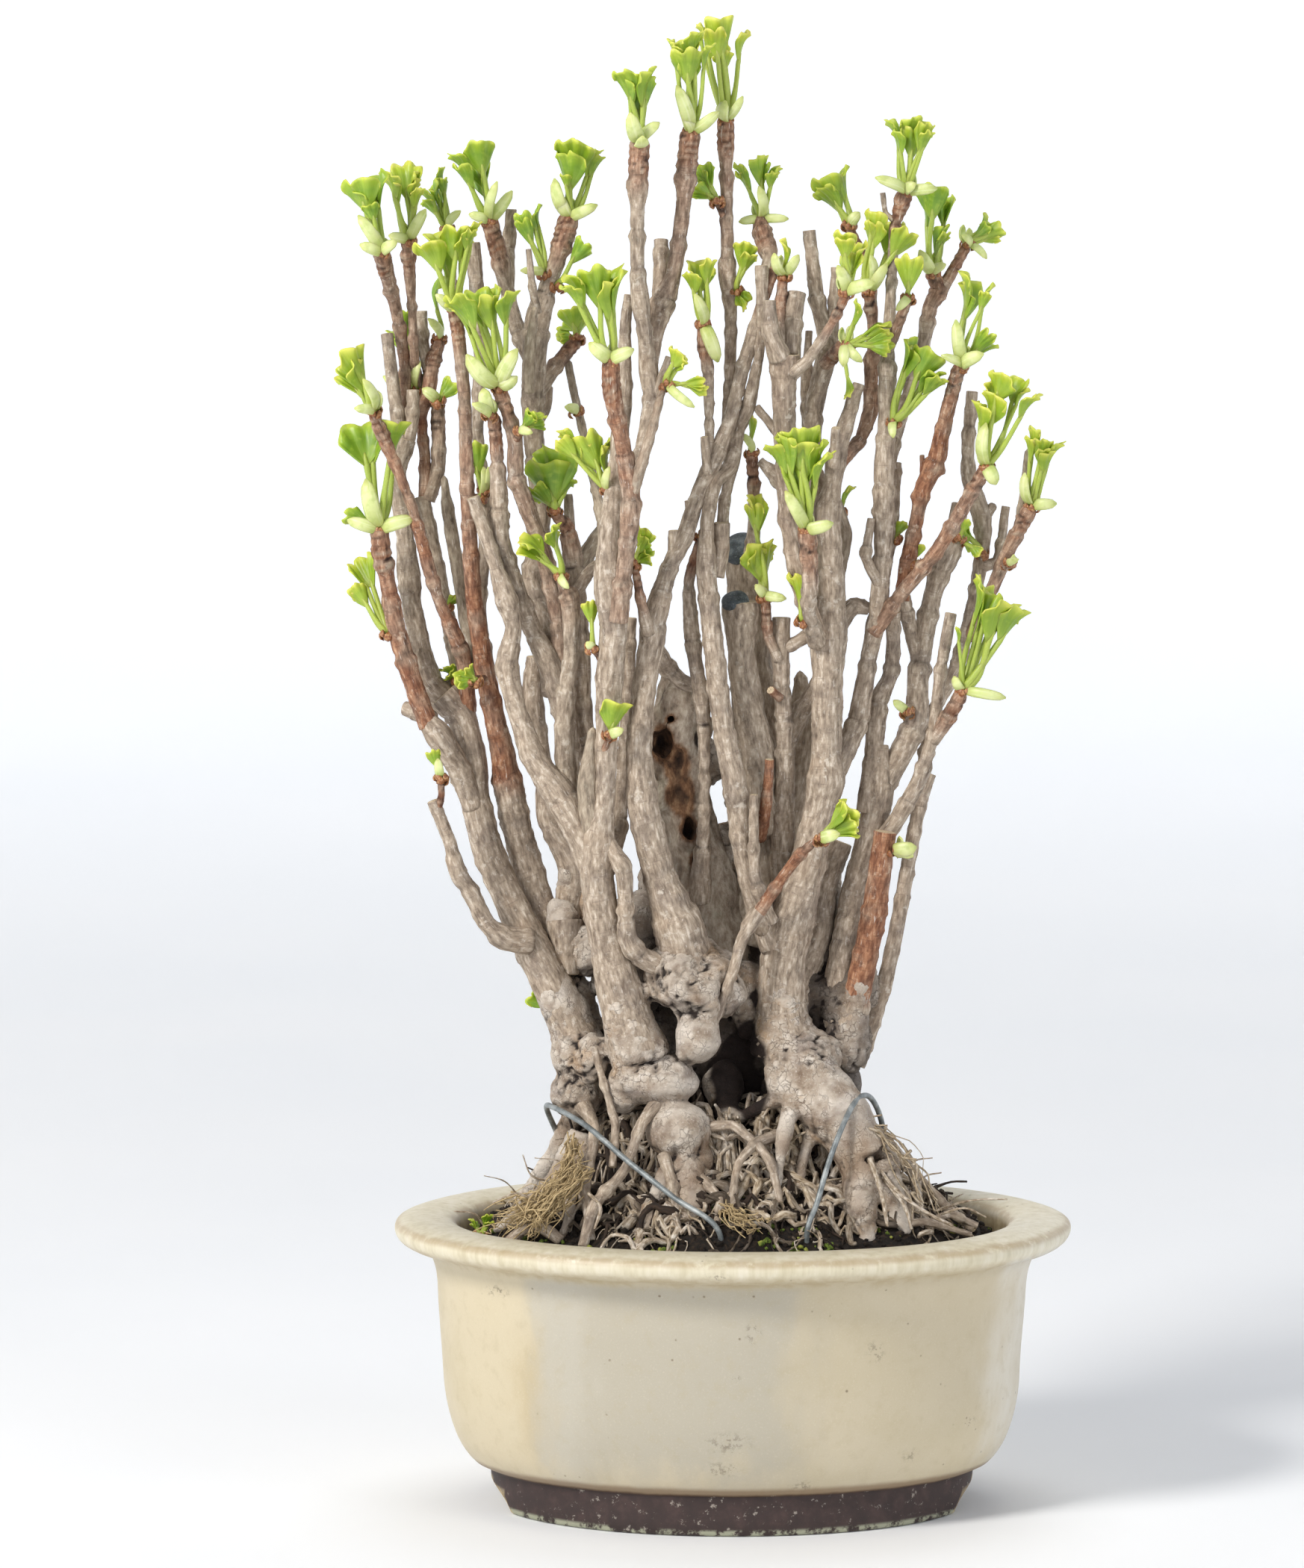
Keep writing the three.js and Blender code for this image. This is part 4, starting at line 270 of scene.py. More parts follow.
# Pegs, hooks and twigs too slight for the solids, and an old snag behind the stems.
FINE_STEMS = {
    "old_snag": [(17, 198, 12, 9), (16.5, 218, 13, 7.6), (19.5, 238, 13, 6.4), (22.5, 254, 12, 5),
    (23.5, 266, 11, 4),
    (22.5, 277, 10, 2.2)],
    "left_knob": [(-100, 264, 5, 3), (-105, 266, 8, 3.3), (-109, 267, 9, 2.4)],
    "hook_left_twig": [(-98.5, 232, -15, 1.4), (-96.8, 238, -16, 1.2), (-97, 243, -16, 1.1)],
    "crown_left_jin": [(-67.5, 372, -3, 1.8), (-67, 386, -6, 1.9), (-65.5, 399, -7, 1)],
    "crown_left_loop": [(-64.5, 398, -4, 1.5), (-66.3, 407, -5, 1.3), (-67.5, 419, -5, 1)],
    "crown_left_small": [(-64.5, 362, 4, 1.8), (-61.5, 367, 5, 1.5), (-60.8, 373.5, 6, 1.3)],
    "front_left_side_twig": [(-42, 281, -20, 1.5), (-46, 286.5, -20, 1)],
    "front_centre_stub": [(-19.2, 317, -13, 2.4), (-19.5, 326, -13, 1.9)],
    "thin_spur_stub": [(-8.3, 345, -11, 1.6), (-9.5, 357, -12, 1.4)],
    "pale_gnarl": [(9, 349, -4, 1.5), (13.5, 345, -5, 2.6), (17.5, 340, -8, 2.8)],
    "pale_small_spur": [(16, 357, -10, 1.8), (11, 363, -9, 1.4), (8, 367, -8, 1.3)],
    "centre_right_bud": [(15.5, 270.5, -5, 1.6), (12.5, 273, -8, 1.3)],
    "trunk_stub": [(33.5, 347, -7, 2), (34, 360, -9, 1.5)],
    "trunk_flap": [(33.5, 337, -3, 2), (37.5, 325, -1, 1.7), (36, 311, -3, 1.2)],
    "trunk_knob": [(35, 294, -3, 3), (40, 301, -1, 2.9), (45, 300, -1, 2)],
    "crown_right_stub": [(32, 388, 1, 2.6), (33.3, 400, 1, 2), (33.5, 413, 1, 1.2)],
    "right_grey_peg": [(53.5, 428, 0, 1.1), (50.3, 431, 0, 0.9), (49.2, 437.5, 0, 0.9)],
    "right_red_peg": [(63, 340, -2, 1), (62.5, 351, -3, 0.8)],
    "right_upper_peg": [(71, 318, 6, 2.4), (74, 335, 8, 1.6)],
    "right_far_peg": [(83, 330, 10, 2.2), (86, 334, 10, 1.5)],
    "right_far_needle": [(94.3, 326, 3, 1.1), (97.3, 352, 5, 1)],
    "brown_side_spur": [(-82, 277, -2, 1.4), (-85, 276.5, -7, 1.4)],
    "inner_twig_spur": [(-72, 356, -11, 1.5), (-70.2, 359, -14, 1.3)],
    "tan_rod_spur": [(-51.2, 365, 1.8, 1.2), (-51.8, 366, 0.3, 1.2)],
}

# Roots: u, v, depth and radius.
ROOTS = {
    "buttress": [(18, 150, -10, 10), (26, 142, -16, 11), (34, 132, -21, 10.3), (45, 115, -28, 9)],
    "toe_left": [(44, 112, -30, 7), (43, 101, -36, 5.6), (45, 86, -43, 3.6)],
    "toe_right": [(49, 113, -28, 6.8), (53, 104, -32, 4.3), (58.5, 90, -38, 2.2)],
    "peg": [(22, 140, -19, 3.6), (17.8, 126, -28, 2.5), (15.5, 110, -34, 1.6), (14, 101, -38, 1.3)],
    "under_lobe": [(16, 136, -18, 3), (9, 133, -16, 2.3), (-3, 127, -12, 1.5)],
    "dark_curve": [(28, 130, -21, 3.2), (24, 116, -25, 2.2), (20, 99, -32, 1.5)],
    "right_long": [(41, 131, -14, 2), (50, 124, -13, 1.7), (61, 111, -12, 1.5), (73, 98, -18, 1.7),
    (81, 92, -24, 1.3)],
    "right_drop": [(46, 119, -25, 3.6), (53, 117, -20, 2.8), (60, 112, -18, 2.2), (62, 103, -23, 1.9),
    (62.5, 90, -31, 1.7)],
    "right_short": [(49, 113, -28, 2.6), (58, 104, -28, 1.5), (60, 93, -34, 1.4)],
    "centre_fall": [(16, 124, -24, 2.2), (8, 121, -30, 1.7), (2, 114, -36, 1.3), (0, 100, -42, 1.2),
    (-0.5, 88, -48, 0.9)],
    "centre_bend": [(8.5, 120.5, -31, 1.6), (13, 114, -36, 1.5), (16, 101, -42, 1.2)],
    "centre_fibre": [(-12, 126, -22, 1.8), (0, 127, -26, 1.6), (8, 121, -29, 1.4)],
    "centre_front": [(-13.5, 111, -28, 2.6), (-4, 102, -42, 1.3), (-6, 89, -49, 1.1)],
    "lobe_foot": [(-15, 114, -27, 6.2), (-14, 102, -36, 5.5), (-15, 86, -46, 3.6)],
    "lobe_side": [(-23, 117, -30, 2.2), (-20, 107, -37, 1.7), (-18, 90, -46, 1.2)],
    "left_front": [(-22, 138, -20, 3), (-30, 128, -29, 1.9), (-36, 112, -37, 1.6), (-46, 100, -44, 2),
    (-50, 86, -49, 1.7)],
    "left_short": [(-51, 136, -7, 3.2), (-46, 126, -24, 1.8), (-49, 105, -36, 1.7), (-47, 88, -46, 1.4)],
    "left_flare": [(-48, 122, -6, 8), (-57, 108, -12, 5.6), (-67, 99, -17, 4), (-80, 91, -24, 1.8)],
    "left_bend": [(-57, 110, -14, 3.2), (-54, 98, -33, 1.9), (-58, 87, -41, 1.7)],
    "front_knot": [(-19, 117, -26, 3), (-27, 100, -40, 2.8), (-31, 87, -47, 3)],
    "front_right": [(36, 106, -30, 2.2), (40, 97, -38, 1.9), (47, 85, -45, 1.7)],
    "back_left": [(-18, 132, 14, 7), (-28, 118, 30, 4.6), (-36, 96, 46, 2.4)],
    "back_right": [(12, 132, 16, 7), (16, 118, 31, 4.8), (25, 96, 46, 2.4)],
    "back_far_right": [(34, 134, 8, 6), (48, 116, 20, 4), (66, 94, 30, 2)],
    "back_far_left": [(-46, 136, 8, 6), (-58, 118, 16, 3.6), (-76, 93, 25, 1.8)],
}

# Roots too slight for the solids.
FINE_ROOTS = {
    "right_flat": [(57, 93, -36, 1.3), (64, 94.5, -34, 1.3), (80, 90, -32, 1)],
    "right_cross": [(64, 93, -28, 1.5), (73, 97, -24, 1.4), (82, 93, -24, 1.2)],
    "left_thin": [(-46, 153, -18, 1.2), (-43, 141, -23, 1.1), (-39, 127, -27, 1.4), (-40, 113, -33, 1.3)],
    "left_worm": [(-57, 88, -42, 2), (-66, 93.5, -38, 2.1), (-76, 87, -36, 1.8)],
}

# Swellings of the trunk: u, v, depth and half sizes. The low one lies under the whole tree.
LOW_SWELLING = (-6, 112, 4, 50, 30, 19)
BURLS = [(-52, 152, -4, 8.8, 9, 10.5), (-52, 138, -5, 8.6, 8.5, 9), (-47, 150, -14, 5.6, 5.5, 8.2),
    (-32, 154, -17, 10, 9, 9.5), (-26, 142, -18, 15, 11.5, 8.2), (-36, 139, -19, 6, 6, 8),
    (-18, 125, -24, 11, 10, 9.5), (-14, 114, -23, 8.5, 8, 8), (-11.5, 157, -23, 7.4, 7.5, 9.5),
    (-11, 169, -20, 8.4, 8.5, 8), (-17, 179, -14, 12.5, 11, 10.5), (21, 141, -16, 10, 9, 6.8),
    (23, 151, -8, 13.4, 12, 8.8), (38.5, 154, 0, 7, 7, 9), LOW_SWELLING,
    (-8, 150, 17, 26, 16, 32), (24, 140, 15, 20, 14, 18), (-36, 145, 13, 20, 12, 20)]

# Tie wires over the soil: u, v and depth.
WIRES = {
    "tie_wire_left": [(-4, 90, -55), (-20, 103, -47.5), (-35, 115, -38), (-49, 127, -24), (-59.5, 133, -11),
    (-62, 133, 2), (-57, 121, 19), (-48, 100, 24)],
    "tie_wire_right": [(25, 90, -52), (28.5, 101, -48), (32, 113.5, -43.5), (37, 127, -37),
    (41.5, 135.5, -28), (46, 136.5, -16), (50.5, 124, 1), (47, 100, 14)],
}

# Each shoot: its base; the tip, width and length of each fan leaf; the tip and width of each bud scale.
SHOOTS = {
    "shoot_left_high": ((-115.8, 418, -3.4), [(-125, 442.5, 12, 9), (-118, 444.5, 11, 10),
    (-120, 436, 6, 6)], [(-123.5, 430, 4.5), (-123, 420.5, 4), (-111, 421.5, 4)]),
    "shoot_left_second": ((-107, 422, 4), [(-114.5, 445, 9, 8), (-108, 447.5, 9, 9),
    (-104.5, 442, 6, 7)], [(-101.5, 432, 4), (-113.5, 423.5, 3.5)]),
    "shoot_left_third": ((-94, 426, 12), [(-98.5, 442.5, 9, 8), (-103, 439, 6, 7),
    (-96.5, 446, 5, 6)], [(-90, 431.5, 3.5)]),
    "shoot_tall_brown": ((-92, 399.5, -8), [(-97.5, 425, 12, 12), (-91.5, 427, 9, 9),
    (-84.5, 428, 7, 8)], [(-98, 404, 4)]),
    "shoot_left_pale": ((-97, 390, 12), [(-98.5, 410, 6, 9)], [(-100.5, 396, 3.5)]),
    "shoot_left_outer": ((-117, 326.5, -8), [(-124, 362, 14, 11), (-111.5, 363, 10, 9),
    (-129, 331, 6, 7)], [(-121.5, 343, 6), (-106, 330, 5), (-127.5, 329.5, 4.5)]),
    "shoot_left_twig": ((-118.8, 366, -11), [(-126, 387, 10, 10), (-129, 382, 6, 8)], [(-122, 376, 4),
    (-125, 366.5, 3.5)]),
    "shoot_left_cut": ((-105, 373, 12.3), [(-108, 399, 8, 9), (-112, 393, 6, 6)], [(-103.5, 382, 3.5),
    (-115.5, 377, 4)]),
    "shoot_left_low": ((-114.6, 292, -6), [(-122.5, 318, 8, 9), (-126, 308, 5, 6)], []),
    "shoot_small_yellow": ((-97.5, 369, 8), [(-92.5, 376, 6, 6)], [(-102.5, 373, 4)]),
    "shoot_hook": ((-97, 244, -16), [(-100, 253, 4, 4.5)], [(-98, 250, 3)]),
    "shoot_brown_side": ((-85.5, 276.5, -8), [(-92.5, 277, 5, 6), (-88, 281, 4, 5)], []),
    "shoot_front_left": ((-77.3, 374, -12.6), [(-91.5, 405, 9, 11), (-85, 406, 9, 10), (-79.5, 407, 8, 10),
    (-73.5, 405.5, 9, 9)], [(-88, 384, 6.5), (-71.5, 386, 5.5), (-71.5, 377, 4.5)]),
    "shoot_front_left_bud": ((-80.5, 364.5, -13), [], [(-82.5, 373, 5), (-86, 368, 3.5)]),
    "shoot_behind_bud": ((-83.4, 337, 2.7), [(-86, 355.5, 7, 9)], [(-82.5, 347, 4)]),
    "shoot_inner_twig": ((-70, 359.5, -14), [(-62.5, 365, 5, 5), (-66.5, 366, 5, 5)], [(-66.5, 358.5, 3)]),
    "shoot_knuckle": ((-80.2, 428.5, 3), [(-84, 455, 9, 9), (-92, 451, 7, 9),
    (-84, 448, 7, 7)], [(-78, 441, 3.5), (-73, 438, 4), (-87, 430.5, 3.5)]),
    "shoot_crown_side": ((-62.5, 411.5, -0.6), [(-70.5, 431, 5.5, 8), (-65, 433.5, 5, 6)], [(-70, 412, 3)]),
    "shoot_crown_left": ((-53.8, 429.5, 0), [(-52, 455.5, 11, 11), (-44.5, 452, 7, 8),
    (-55.5, 447, 4.5, 5)], [(-59, 442, 5), (-57, 436.5, 4.5), (-45, 433.5, 4)]),
    "shoot_crown_left_right": ((-58.2, 407, -0.6), [(-49, 422, 6, 7)], []),
    "shoot_crown_spur": ((-51.5, 390, 7), [(-54.5, 400, 8, 6), (-49, 397, 6, 6), (-58.5, 391, 5, 5)], []),
    "shoot_tan_rod": ((-51.8, 366, 0), [], [(-55.5, 367, 3.5)]),
    "shoot_big_fan": ((-59, 333, -5), [(-61, 354, 16, 13), (-67, 341, 7, 8), (-54.5, 347, 6, 6)], []),
    "shoot_behind_fans": ((-41.5, 339.5, -17.2), [(-49.5, 358.5, 9, 10), (-42, 356, 6, 8),
    (-57, 359, 6, 7)], [(-41, 347, 3)]),
    "shoot_pale_ringed": ((-56.9, 311.2, -13.6), [(-69, 325, 9, 7), (-60, 328, 8, 6)], [(-54.5, 307, 3)]),
    "shoot_front_low": ((-40.7, 258.2, -25.5), [(-37.5, 269.5, 9, 8)], [(-36.5, 260, 3.5)]),
    "shoot_front_side": ((-46.5, 287.5, -20), [(-47, 303, 5, 6)], [(-48.5, 289, 3)]),
    "shoot_front_fork": ((-40.5, 382.5, -27), [(-38.5, 413.5, 11, 13), (-46.5, 413.5, 9, 11),
    (-54.5, 411, 8, 9)], [(-47.5, 388, 5), (-33, 386, 4.5)]),
    "shoot_crown_middle": ((-31, 454.5, -15), [(-28.5, 478.5, 10, 10), (-35.5, 478.5, 7.5, 9),
    (-32, 471, 5, 6)], [(-34, 463.5, 5.5), (-24.5, 460.5, 4), (-30, 456, 5)]),
    "shoot_straw_rod": ((-21.9, 374.5, -24.6), [(-18.5, 386.5, 8, 5), (-9.5, 375, 4, 5)], [(-13, 367, 3)]),
    "shoot_crown_second": ((-14, 457.5, -10), [(-15.5, 485, 9, 9), (-20.5, 488, 6, 6), (-12.5, 490.5, 8, 7),
    (-8, 486.5, 5, 7)], [(-18.5, 472.5, 5), (-17, 464, 4.5), (-5, 464, 4)]),
    "shoot_curled_spur": ((-32.7, 315.5, -19), [(-28.5, 327, 6, 6), (-26.5, 320, 6, 6)], []),
    "shoot_crown_third": ((-2.5, 461.5, -5), [(-4.5, 495.5, 8, 10), (-11, 493, 6, 7), (-4.5, 487, 9, 5),
    (3.8, 490.5, 7.5, 8)], [(-2.5, 467.5, 5), (3, 469, 3)]),
    "shoot_third_twig": ((-5.6, 435.2, -6.4), [(-10, 447, 5.5, 6), (-12.8, 440, 4, 5)], []),
    "shoot_thin_spur": ((-9.8, 394.5, -10), [(-12.5, 415.5, 9, 8), (-8, 416, 5, 7)], [(-12.5, 404, 4),
    (-5, 382, 5)]),
    "shoot_knot": ((9, 429, -1), [(1.5, 447.5, 4.5, 8), (9.5, 450, 6.5, 8),
    (14.5, 446.5, 6, 6)], [(8.5, 439.5, 4), (2, 428, 3), (18, 429, 3)]),
    "shoot_third_side": ((1.1, 405.5, -5.4), [(4.5, 421.5, 6.5, 7), (4.7, 401, 5, 6)], []),
    "shoot_pale_spur": ((6.3, 352, -3), [(5.2, 366, 5.5, 8)], [(3, 358, 3)]),
    "shoot_crown_centre": ((16.8, 410.5, -8), [(17.5, 422, 6, 7)], [(13.5, 417.5, 4), (21.5, 417, 3.5)]),
    "shoot_fan_bunch": ((24.2, 326.5, -18), [(15.5, 358, 9, 11), (22.5, 361, 11, 12), (29, 356, 8, 11),
    (21.5, 351.5, 10, 9)], [(17.5, 339, 4.5), (33, 328.5, 4.5)]),
    "shoot_lower_bunch": ((10.6, 304.5, -8), [(10, 323, 13, 10), (6.5, 338, 8, 10)], [(7.5, 308, 3.5),
    (17.5, 303.5, 3.5)]),
    "shoot_inner_green": ((23.2, 296.5, -14), [(20.5, 312, 6, 9)], []),
    "shoot_low_twig": ((29.5, 223.5, -30), [(38, 236, 9, 9), (41, 229, 6, 7)], [(35.5, 225, 4.5)]),
    "shoot_right_pair": ((37.3, 405, -15), [(36, 425, 7, 7), (43, 421.5, 10, 8)], [(34.5, 413.5, 4.5),
    (46.5, 408, 4.5)]),
    "shoot_crown_right": ((37.5, 387.5, -6), [(51.5, 395, 7, 8), (53, 388.5, 6, 7), (41.5, 402, 4, 7),
    (37.8, 370, 4, 6)], [(36.5, 380.5, 4), (42.5, 382, 3.5)]),
    "shoot_branch_top": ((44.8, 405.5, 0), [(45.5, 432, 8, 8), (55.5, 427.5, 9, 9)], [(45.5, 417, 4),
    (50.5, 414, 4)]),
    "shoot_back_twig": ((38.3, 427, 5), [(28.5, 443, 9, 10), (35, 446, 7, 9)], [(41.5, 431, 4)]),
    "shoot_right_top": ((57, 438, 0), [(52.5, 462, 8, 9), (59.5, 462.5, 8, 9),
    (64.5, 460.5, 6, 8)], [(47, 442.5, 4), (67, 439, 4), (60, 440.5, 4)]),
    "shoot_right_back": ((65.8, 411.5, 9), [(65.5, 440.5, 9, 9), (71.5, 436.5, 7, 8),
    (69.5, 427, 5, 9)], [(61.5, 418.5, 4.5), (70, 414, 3.5)]),
    "shoot_right_twig": ((57.8, 403.2, -6.4), [(58, 417, 8, 9)], [(54, 399, 3)]),
    "shoot_far_right_top": ((77.5, 420.5, 9), [(84.5, 430, 5, 6), (89, 426, 5, 6)], [(75.5, 423.5, 3),
    (83.5, 416, 3)]),
    "shoot_right_red": ((75.8, 380.8, -6), [(77, 411.5, 12, 11), (85, 408, 4.5, 7),
    (85.5, 392, 5, 8)], [(73.5, 395.5, 4.5), (82.5, 384.5, 5), (69, 384, 3)]),
    "shoot_right_slant": ((84, 347.5, -13), [(85, 373, 14, 9), (88.5, 379, 10, 7), (95.5, 377, 6, 7),
    (100.5, 371.5, 7, 8)], [(83.5, 361.5, 5), (87, 341.5, 5)]),
    "shoot_far_right": ((98.8, 334.5, 2), [(98.8, 360.5, 5, 8), (103, 356.5, 6, 6),
    (107.5, 356, 7, 9)], [(96.5, 345, 4), (107, 335, 4)]),
    "shoot_right_leafy": ((53.1, 362, -4.8), [(58.5, 390, 8, 9), (65.5, 386, 9, 9),
    (68.5, 379, 9, 8)], [(53, 357, 3)]),
    "shoot_right_small": ((82.3, 318.6, 8.3), [(76, 328.5, 6, 5), (71.5, 326, 4, 4)], []),
    "shoot_right_low": ((76.4, 273, -11), [(82, 311, 8, 13), (92, 302.5, 14, 12), (86.5, 305.5, 8, 9),
    (74.5, 294, 2.5, 4)], [(73.5, 277.5, 3.5), (90.5, 270.5, 3.5)]),
    "bud_brown_stub": ((53.6, 219.5, -7.7), [], [(61, 220.5, 5.5), (60, 217.5, 4)]),
    "shoot_seedling": ((-84, 90, -20), [(-87.5, 95.5, 3.5, 3), (-81, 97, 4, 3.5)], []),
    "shoot_behind_left": ((-60, 166, 5), [(-67.5, 171.5, 6, 6)], []),
    "shoot_left_peep": ((-95, 301, 7), [(-91.5, 304, 3.5, 6)], []),
    "shoot_left_pair": ((-91.5, 277, 4), [(-96, 281, 5, 5), (-86.5, 278.5, 6, 5)], []),
    "shoot_tall_side": ((-82, 340, 2.5), [(-85, 350.5, 5, 6)], [(-81, 347, 2.5)]),
    "shoot_trunk_back": ((35.5, 333, -1), [(39.5, 341, 6, 6)], []),
    "shoot_stub_leaf": ((53.8, 323.5, -0.5), [(57, 329, 3.5, 4)], []),
    "shoot_red_leaf": ((60, 315.5, -2), [(62, 322, 3.5, 4)], []),
    "shoot_right_curl": ((75, 323.5, 3), [(77.5, 330, 3, 4), (81, 320, 4, 4)], []),
    "shoot_far_side": ((91.5, 315.5, 4), [], [(94.5, 316.5, 2.5), (93, 318, 2)]),
    "bud_right_upper": ((57.8, 266, 2), [], [(53.5, 269.5, 3.2)]),
    "bud_centre_thin": ((-10.8, 325, -11), [], [(-9.5, 328.5, 2.5)]),
}

# ---- places ----
POT_LOW, POT_HIGH = (np.array(corner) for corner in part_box("pot"))
ORIGIN = np.array(((POT_LOW[0] + POT_HIGH[0]) / 2, (POT_LOW[1] + POT_HIGH[1]) / 2, POT_LOW[2]))


def spot(x, y, z):
    """A point given from the middle of the pot's foot, in metres in the row frame."""
    return np.array((x, y, z)) / 1000 + ORIGIN


def sight(u, v, depth):
    """The point that is seen at u, v from the front, at a depth behind the pot's middle."""
    stretch = (depth - EYE[1]) / -EYE[1]
    return spot(EYE[0] + (u - EYE[0]) * stretch, depth, EYE[2] + (v - EYE[2]) * stretch)


def spread(v, drawn):
    """Depth at height v: the crown fans out from the trunk."""
    share = min(max((v - FAN_FROM) / FAN_OVER, 0), 1)
    return TRUNK_DEPTH + (drawn - TRUNK_DEPTH) * (1 + FAN_GROWTH * share)


def place(u, v, drawn):
    """The point that is seen at u, v, with the depth that the lists above give it."""
    return sight(u, v, spread(v, drawn))


def height_of(points):
    """Heights over the pot's foot, in millimetres."""
    return (points[..., 2] - ORIGIN[2]) * 1000


# ---- numbers ----
HASH_STEPS = (374761393, 668265263, 1440662683)
HASH_SEED, HASH_TURN, HASH_BITS = 97531, 1274126177, 0xFFFFFFFF
NOISE_SHIFT = 500


def hashed(cell, seed):
    """A number between 0 and 1 for each cell of a grid, the same one each time."""
    mixed = sum(cell[..., axis] * HASH_STEPS[axis] for axis in range(3)) + seed * HASH_SEED
    mixed = mixed & HASH_BITS
    mixed = ((mixed ^ (mixed >> 13)) * HASH_TURN) & HASH_BITS
    return ((mixed ^ (mixed >> 16)) & 0xFFFF) / 0xFFFF


def noise(points, size, seed=0):
    """Smooth noise between -1 and 1 with lumps of that size."""
    scaled = np.asarray(points, float) / size + NOISE_SHIFT
    cell = np.floor(scaled).astype(np.int64)
    share = scaled - cell
    share = share * share * (3 - 2 * share)
    total = np.zeros(scaled.shape[:-1])
    for corner in np.ndindex(2, 2, 2):
        weight = np.prod(np.where(corner, share, 1 - share), axis=-1)
        total += weight * hashed(cell + np.array(corner), seed)
    return 2 * total - 1


def ridges(points, size, seed):
    """Noise folded into ridges that reach 1."""
    return 1 - 2 * np.abs(noise(points, size, seed))


def cells(points, size, seed):
    """Distances to the nearest two of the points scattered one to a lump, in lumps of that size."""
    scaled = points / size + NOISE_SHIFT
    cell = np.floor(scaled).astype(np.int64)
    nearest = np.full((len(points), 2), 9.0)
    for step in np.ndindex(3, 3, 3):
        there = cell + np.array(step) - 1
        at = there + np.stack([hashed(there, seed + axis) for axis in range(3)], -1)
        away = np.linalg.norm(at - scaled, axis=1)
        nearest = np.sort(np.column_stack((nearest, away)), axis=1)[:, :2]
    return nearest.T


def unit(vector):
    return vector / np.maximum(np.linalg.norm(vector, axis=-1, keepdims=True), 1e-9)


def smooth(x, low, high):
    """0 at low, 1 at high, smooth between and flat beyond."""
    share = np.clip((x - low) / (high - low), 0, 1)
    return share * share * (3 - 2 * share)


def circle(count):
    """Angles evenly round a circle."""
    return np.linspace(0, 2 * math.pi, count, endpoint=False)


# ---- balls ----
def pentagon(turn, height):
    """Five points of a regular ball with twenty faces."""
    angles = [(corner + turn) * math.pi * 0.4 for corner in range(5)]
    return [(0.894 * math.cos(angle), 0.894 * math.sin(angle), height) for angle in angles]


BALL = [(0, 0, 1), *pentagon(0, 0.447), *pentagon(0.5, -0.447), (0, 0, -1)]
UPPER, LOWER, BOTTOM = 1, 6, 11
BALL_FACES = [*[(0, UPPER + k, UPPER + (k + 1) % 5) for k in range(5)],
              *[(UPPER + k, LOWER + k, UPPER + (k + 1) % 5) for k in range(5)],
              *[(UPPER + (k + 1) % 5, LOWER + k, LOWER + (k + 1) % 5) for k in range(5)],
              *[(LOWER + (k + 1) % 5, LOWER + k, BOTTOM) for k in range(5)]]


def rounded(level):
    """The ball's points and triangles, split that many times."""
    points, faces = unit(np.array(BALL)), np.array(BALL_FACES)
    for _ in range(level):
        cuts = {}
        points = list(points)
        split = []
        for a, b, c in faces:
            middle = []
            for pair in ((a, b), (b, c), (c, a)):
                key = tuple(sorted(pair))
                if key not in cuts:
                    cuts[key] = len(points)
                    points.append(unit((points[key[0]] + points[key[1]]) / 2))
                middle.append(cuts[key])
            corners = ((a, middle[0], middle[2]), (b, middle[1], middle[0]), (c, middle[2], middle[1]))
            split += [*corners, tuple(middle)]
        points, faces = np.array(points), np.array(split)
    return points, faces


ROUND_POINTS, ROUND_FACES = rounded(3)


# ---- meshes ----
def paint(mesh, values):
    """Gives each point its tone: four numbers that the materials read."""
    tone = mesh.attributes.get("tone") or mesh.attributes.new("tone", "FLOAT_COLOR", "POINT")
    tone.data.foreach_set("color", values.astype(np.float32).ravel())


class Skin:
    """Points, faces and their tones and coordinates, gathered for one piece."""

    def __init__(self):
        self.points, self.tones, self.grains, self.faces, self.count = [], [], [], [], 0

    def add(self, points, faces, tone=(0, 0, 0, 0), grain=None):
        points = np.asarray(points, float).reshape(-1, 3)
        self.points.append(points)
        self.tones.append(np.broadcast_to(np.asarray(tone, float), (len(points), 4)))
        self.grains.append(points if grain is None else np.asarray(grain, float).reshape(-1, 3))
        for group in faces:
            self.faces += (np.asarray(group) + self.count).tolist()
        self.count += len(points)

    def lump(self, where, halves, points=ROUND_POINTS):
        """A ball, or points made from one, at a place u, v, depth, with half sizes in millimetres."""
        self.add(points * halves / 1000 + place(*where), (ROUND_FACES,))

    def mesh(self, name):
        mesh = bpy.data.meshes.new(name)
        mesh.from_pydata(np.vstack(self.points).tolist(), [], self.faces)
        mesh.shade_smooth()
        paint(mesh, np.vstack(self.tones))
        grain = mesh.attributes.new("grain", "FLOAT_VECTOR", "POINT")
        grain.data.foreach_set("vector", np.vstack(self.grains).astype(np.float32).ravel())
        return mesh

    def piece(self, name, material, slot, *nodes):
        settle(self.mesh(name), name, material, slot, *nodes)


def settle(mesh, name, material, slot, *nodes):
    """Puts a mesh in the scene as a piece of the object, in place of the named nodes."""
    piece = bpy.data.objects.new(name, mesh)
    bpy.context.scene.collection.objects.link(piece)
    mesh.materials.clear()
    mesh.materials.append(material)
    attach(piece, "root")
    if nodes:
        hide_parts(*nodes)


def grid_faces(rows, columns, closed=True):
    """Quads between rows of points; closed joins the last column to the first."""
    span = columns if closed else columns - 1
    r, c = np.meshgrid(np.arange(rows - 1), np.arange(span), indexing="ij")
    a, b = r * columns + c, r * columns + (c + 1) % columns
    return np.stack((a, b, b + columns, a + columns), axis=-1).reshape(-1, 4)


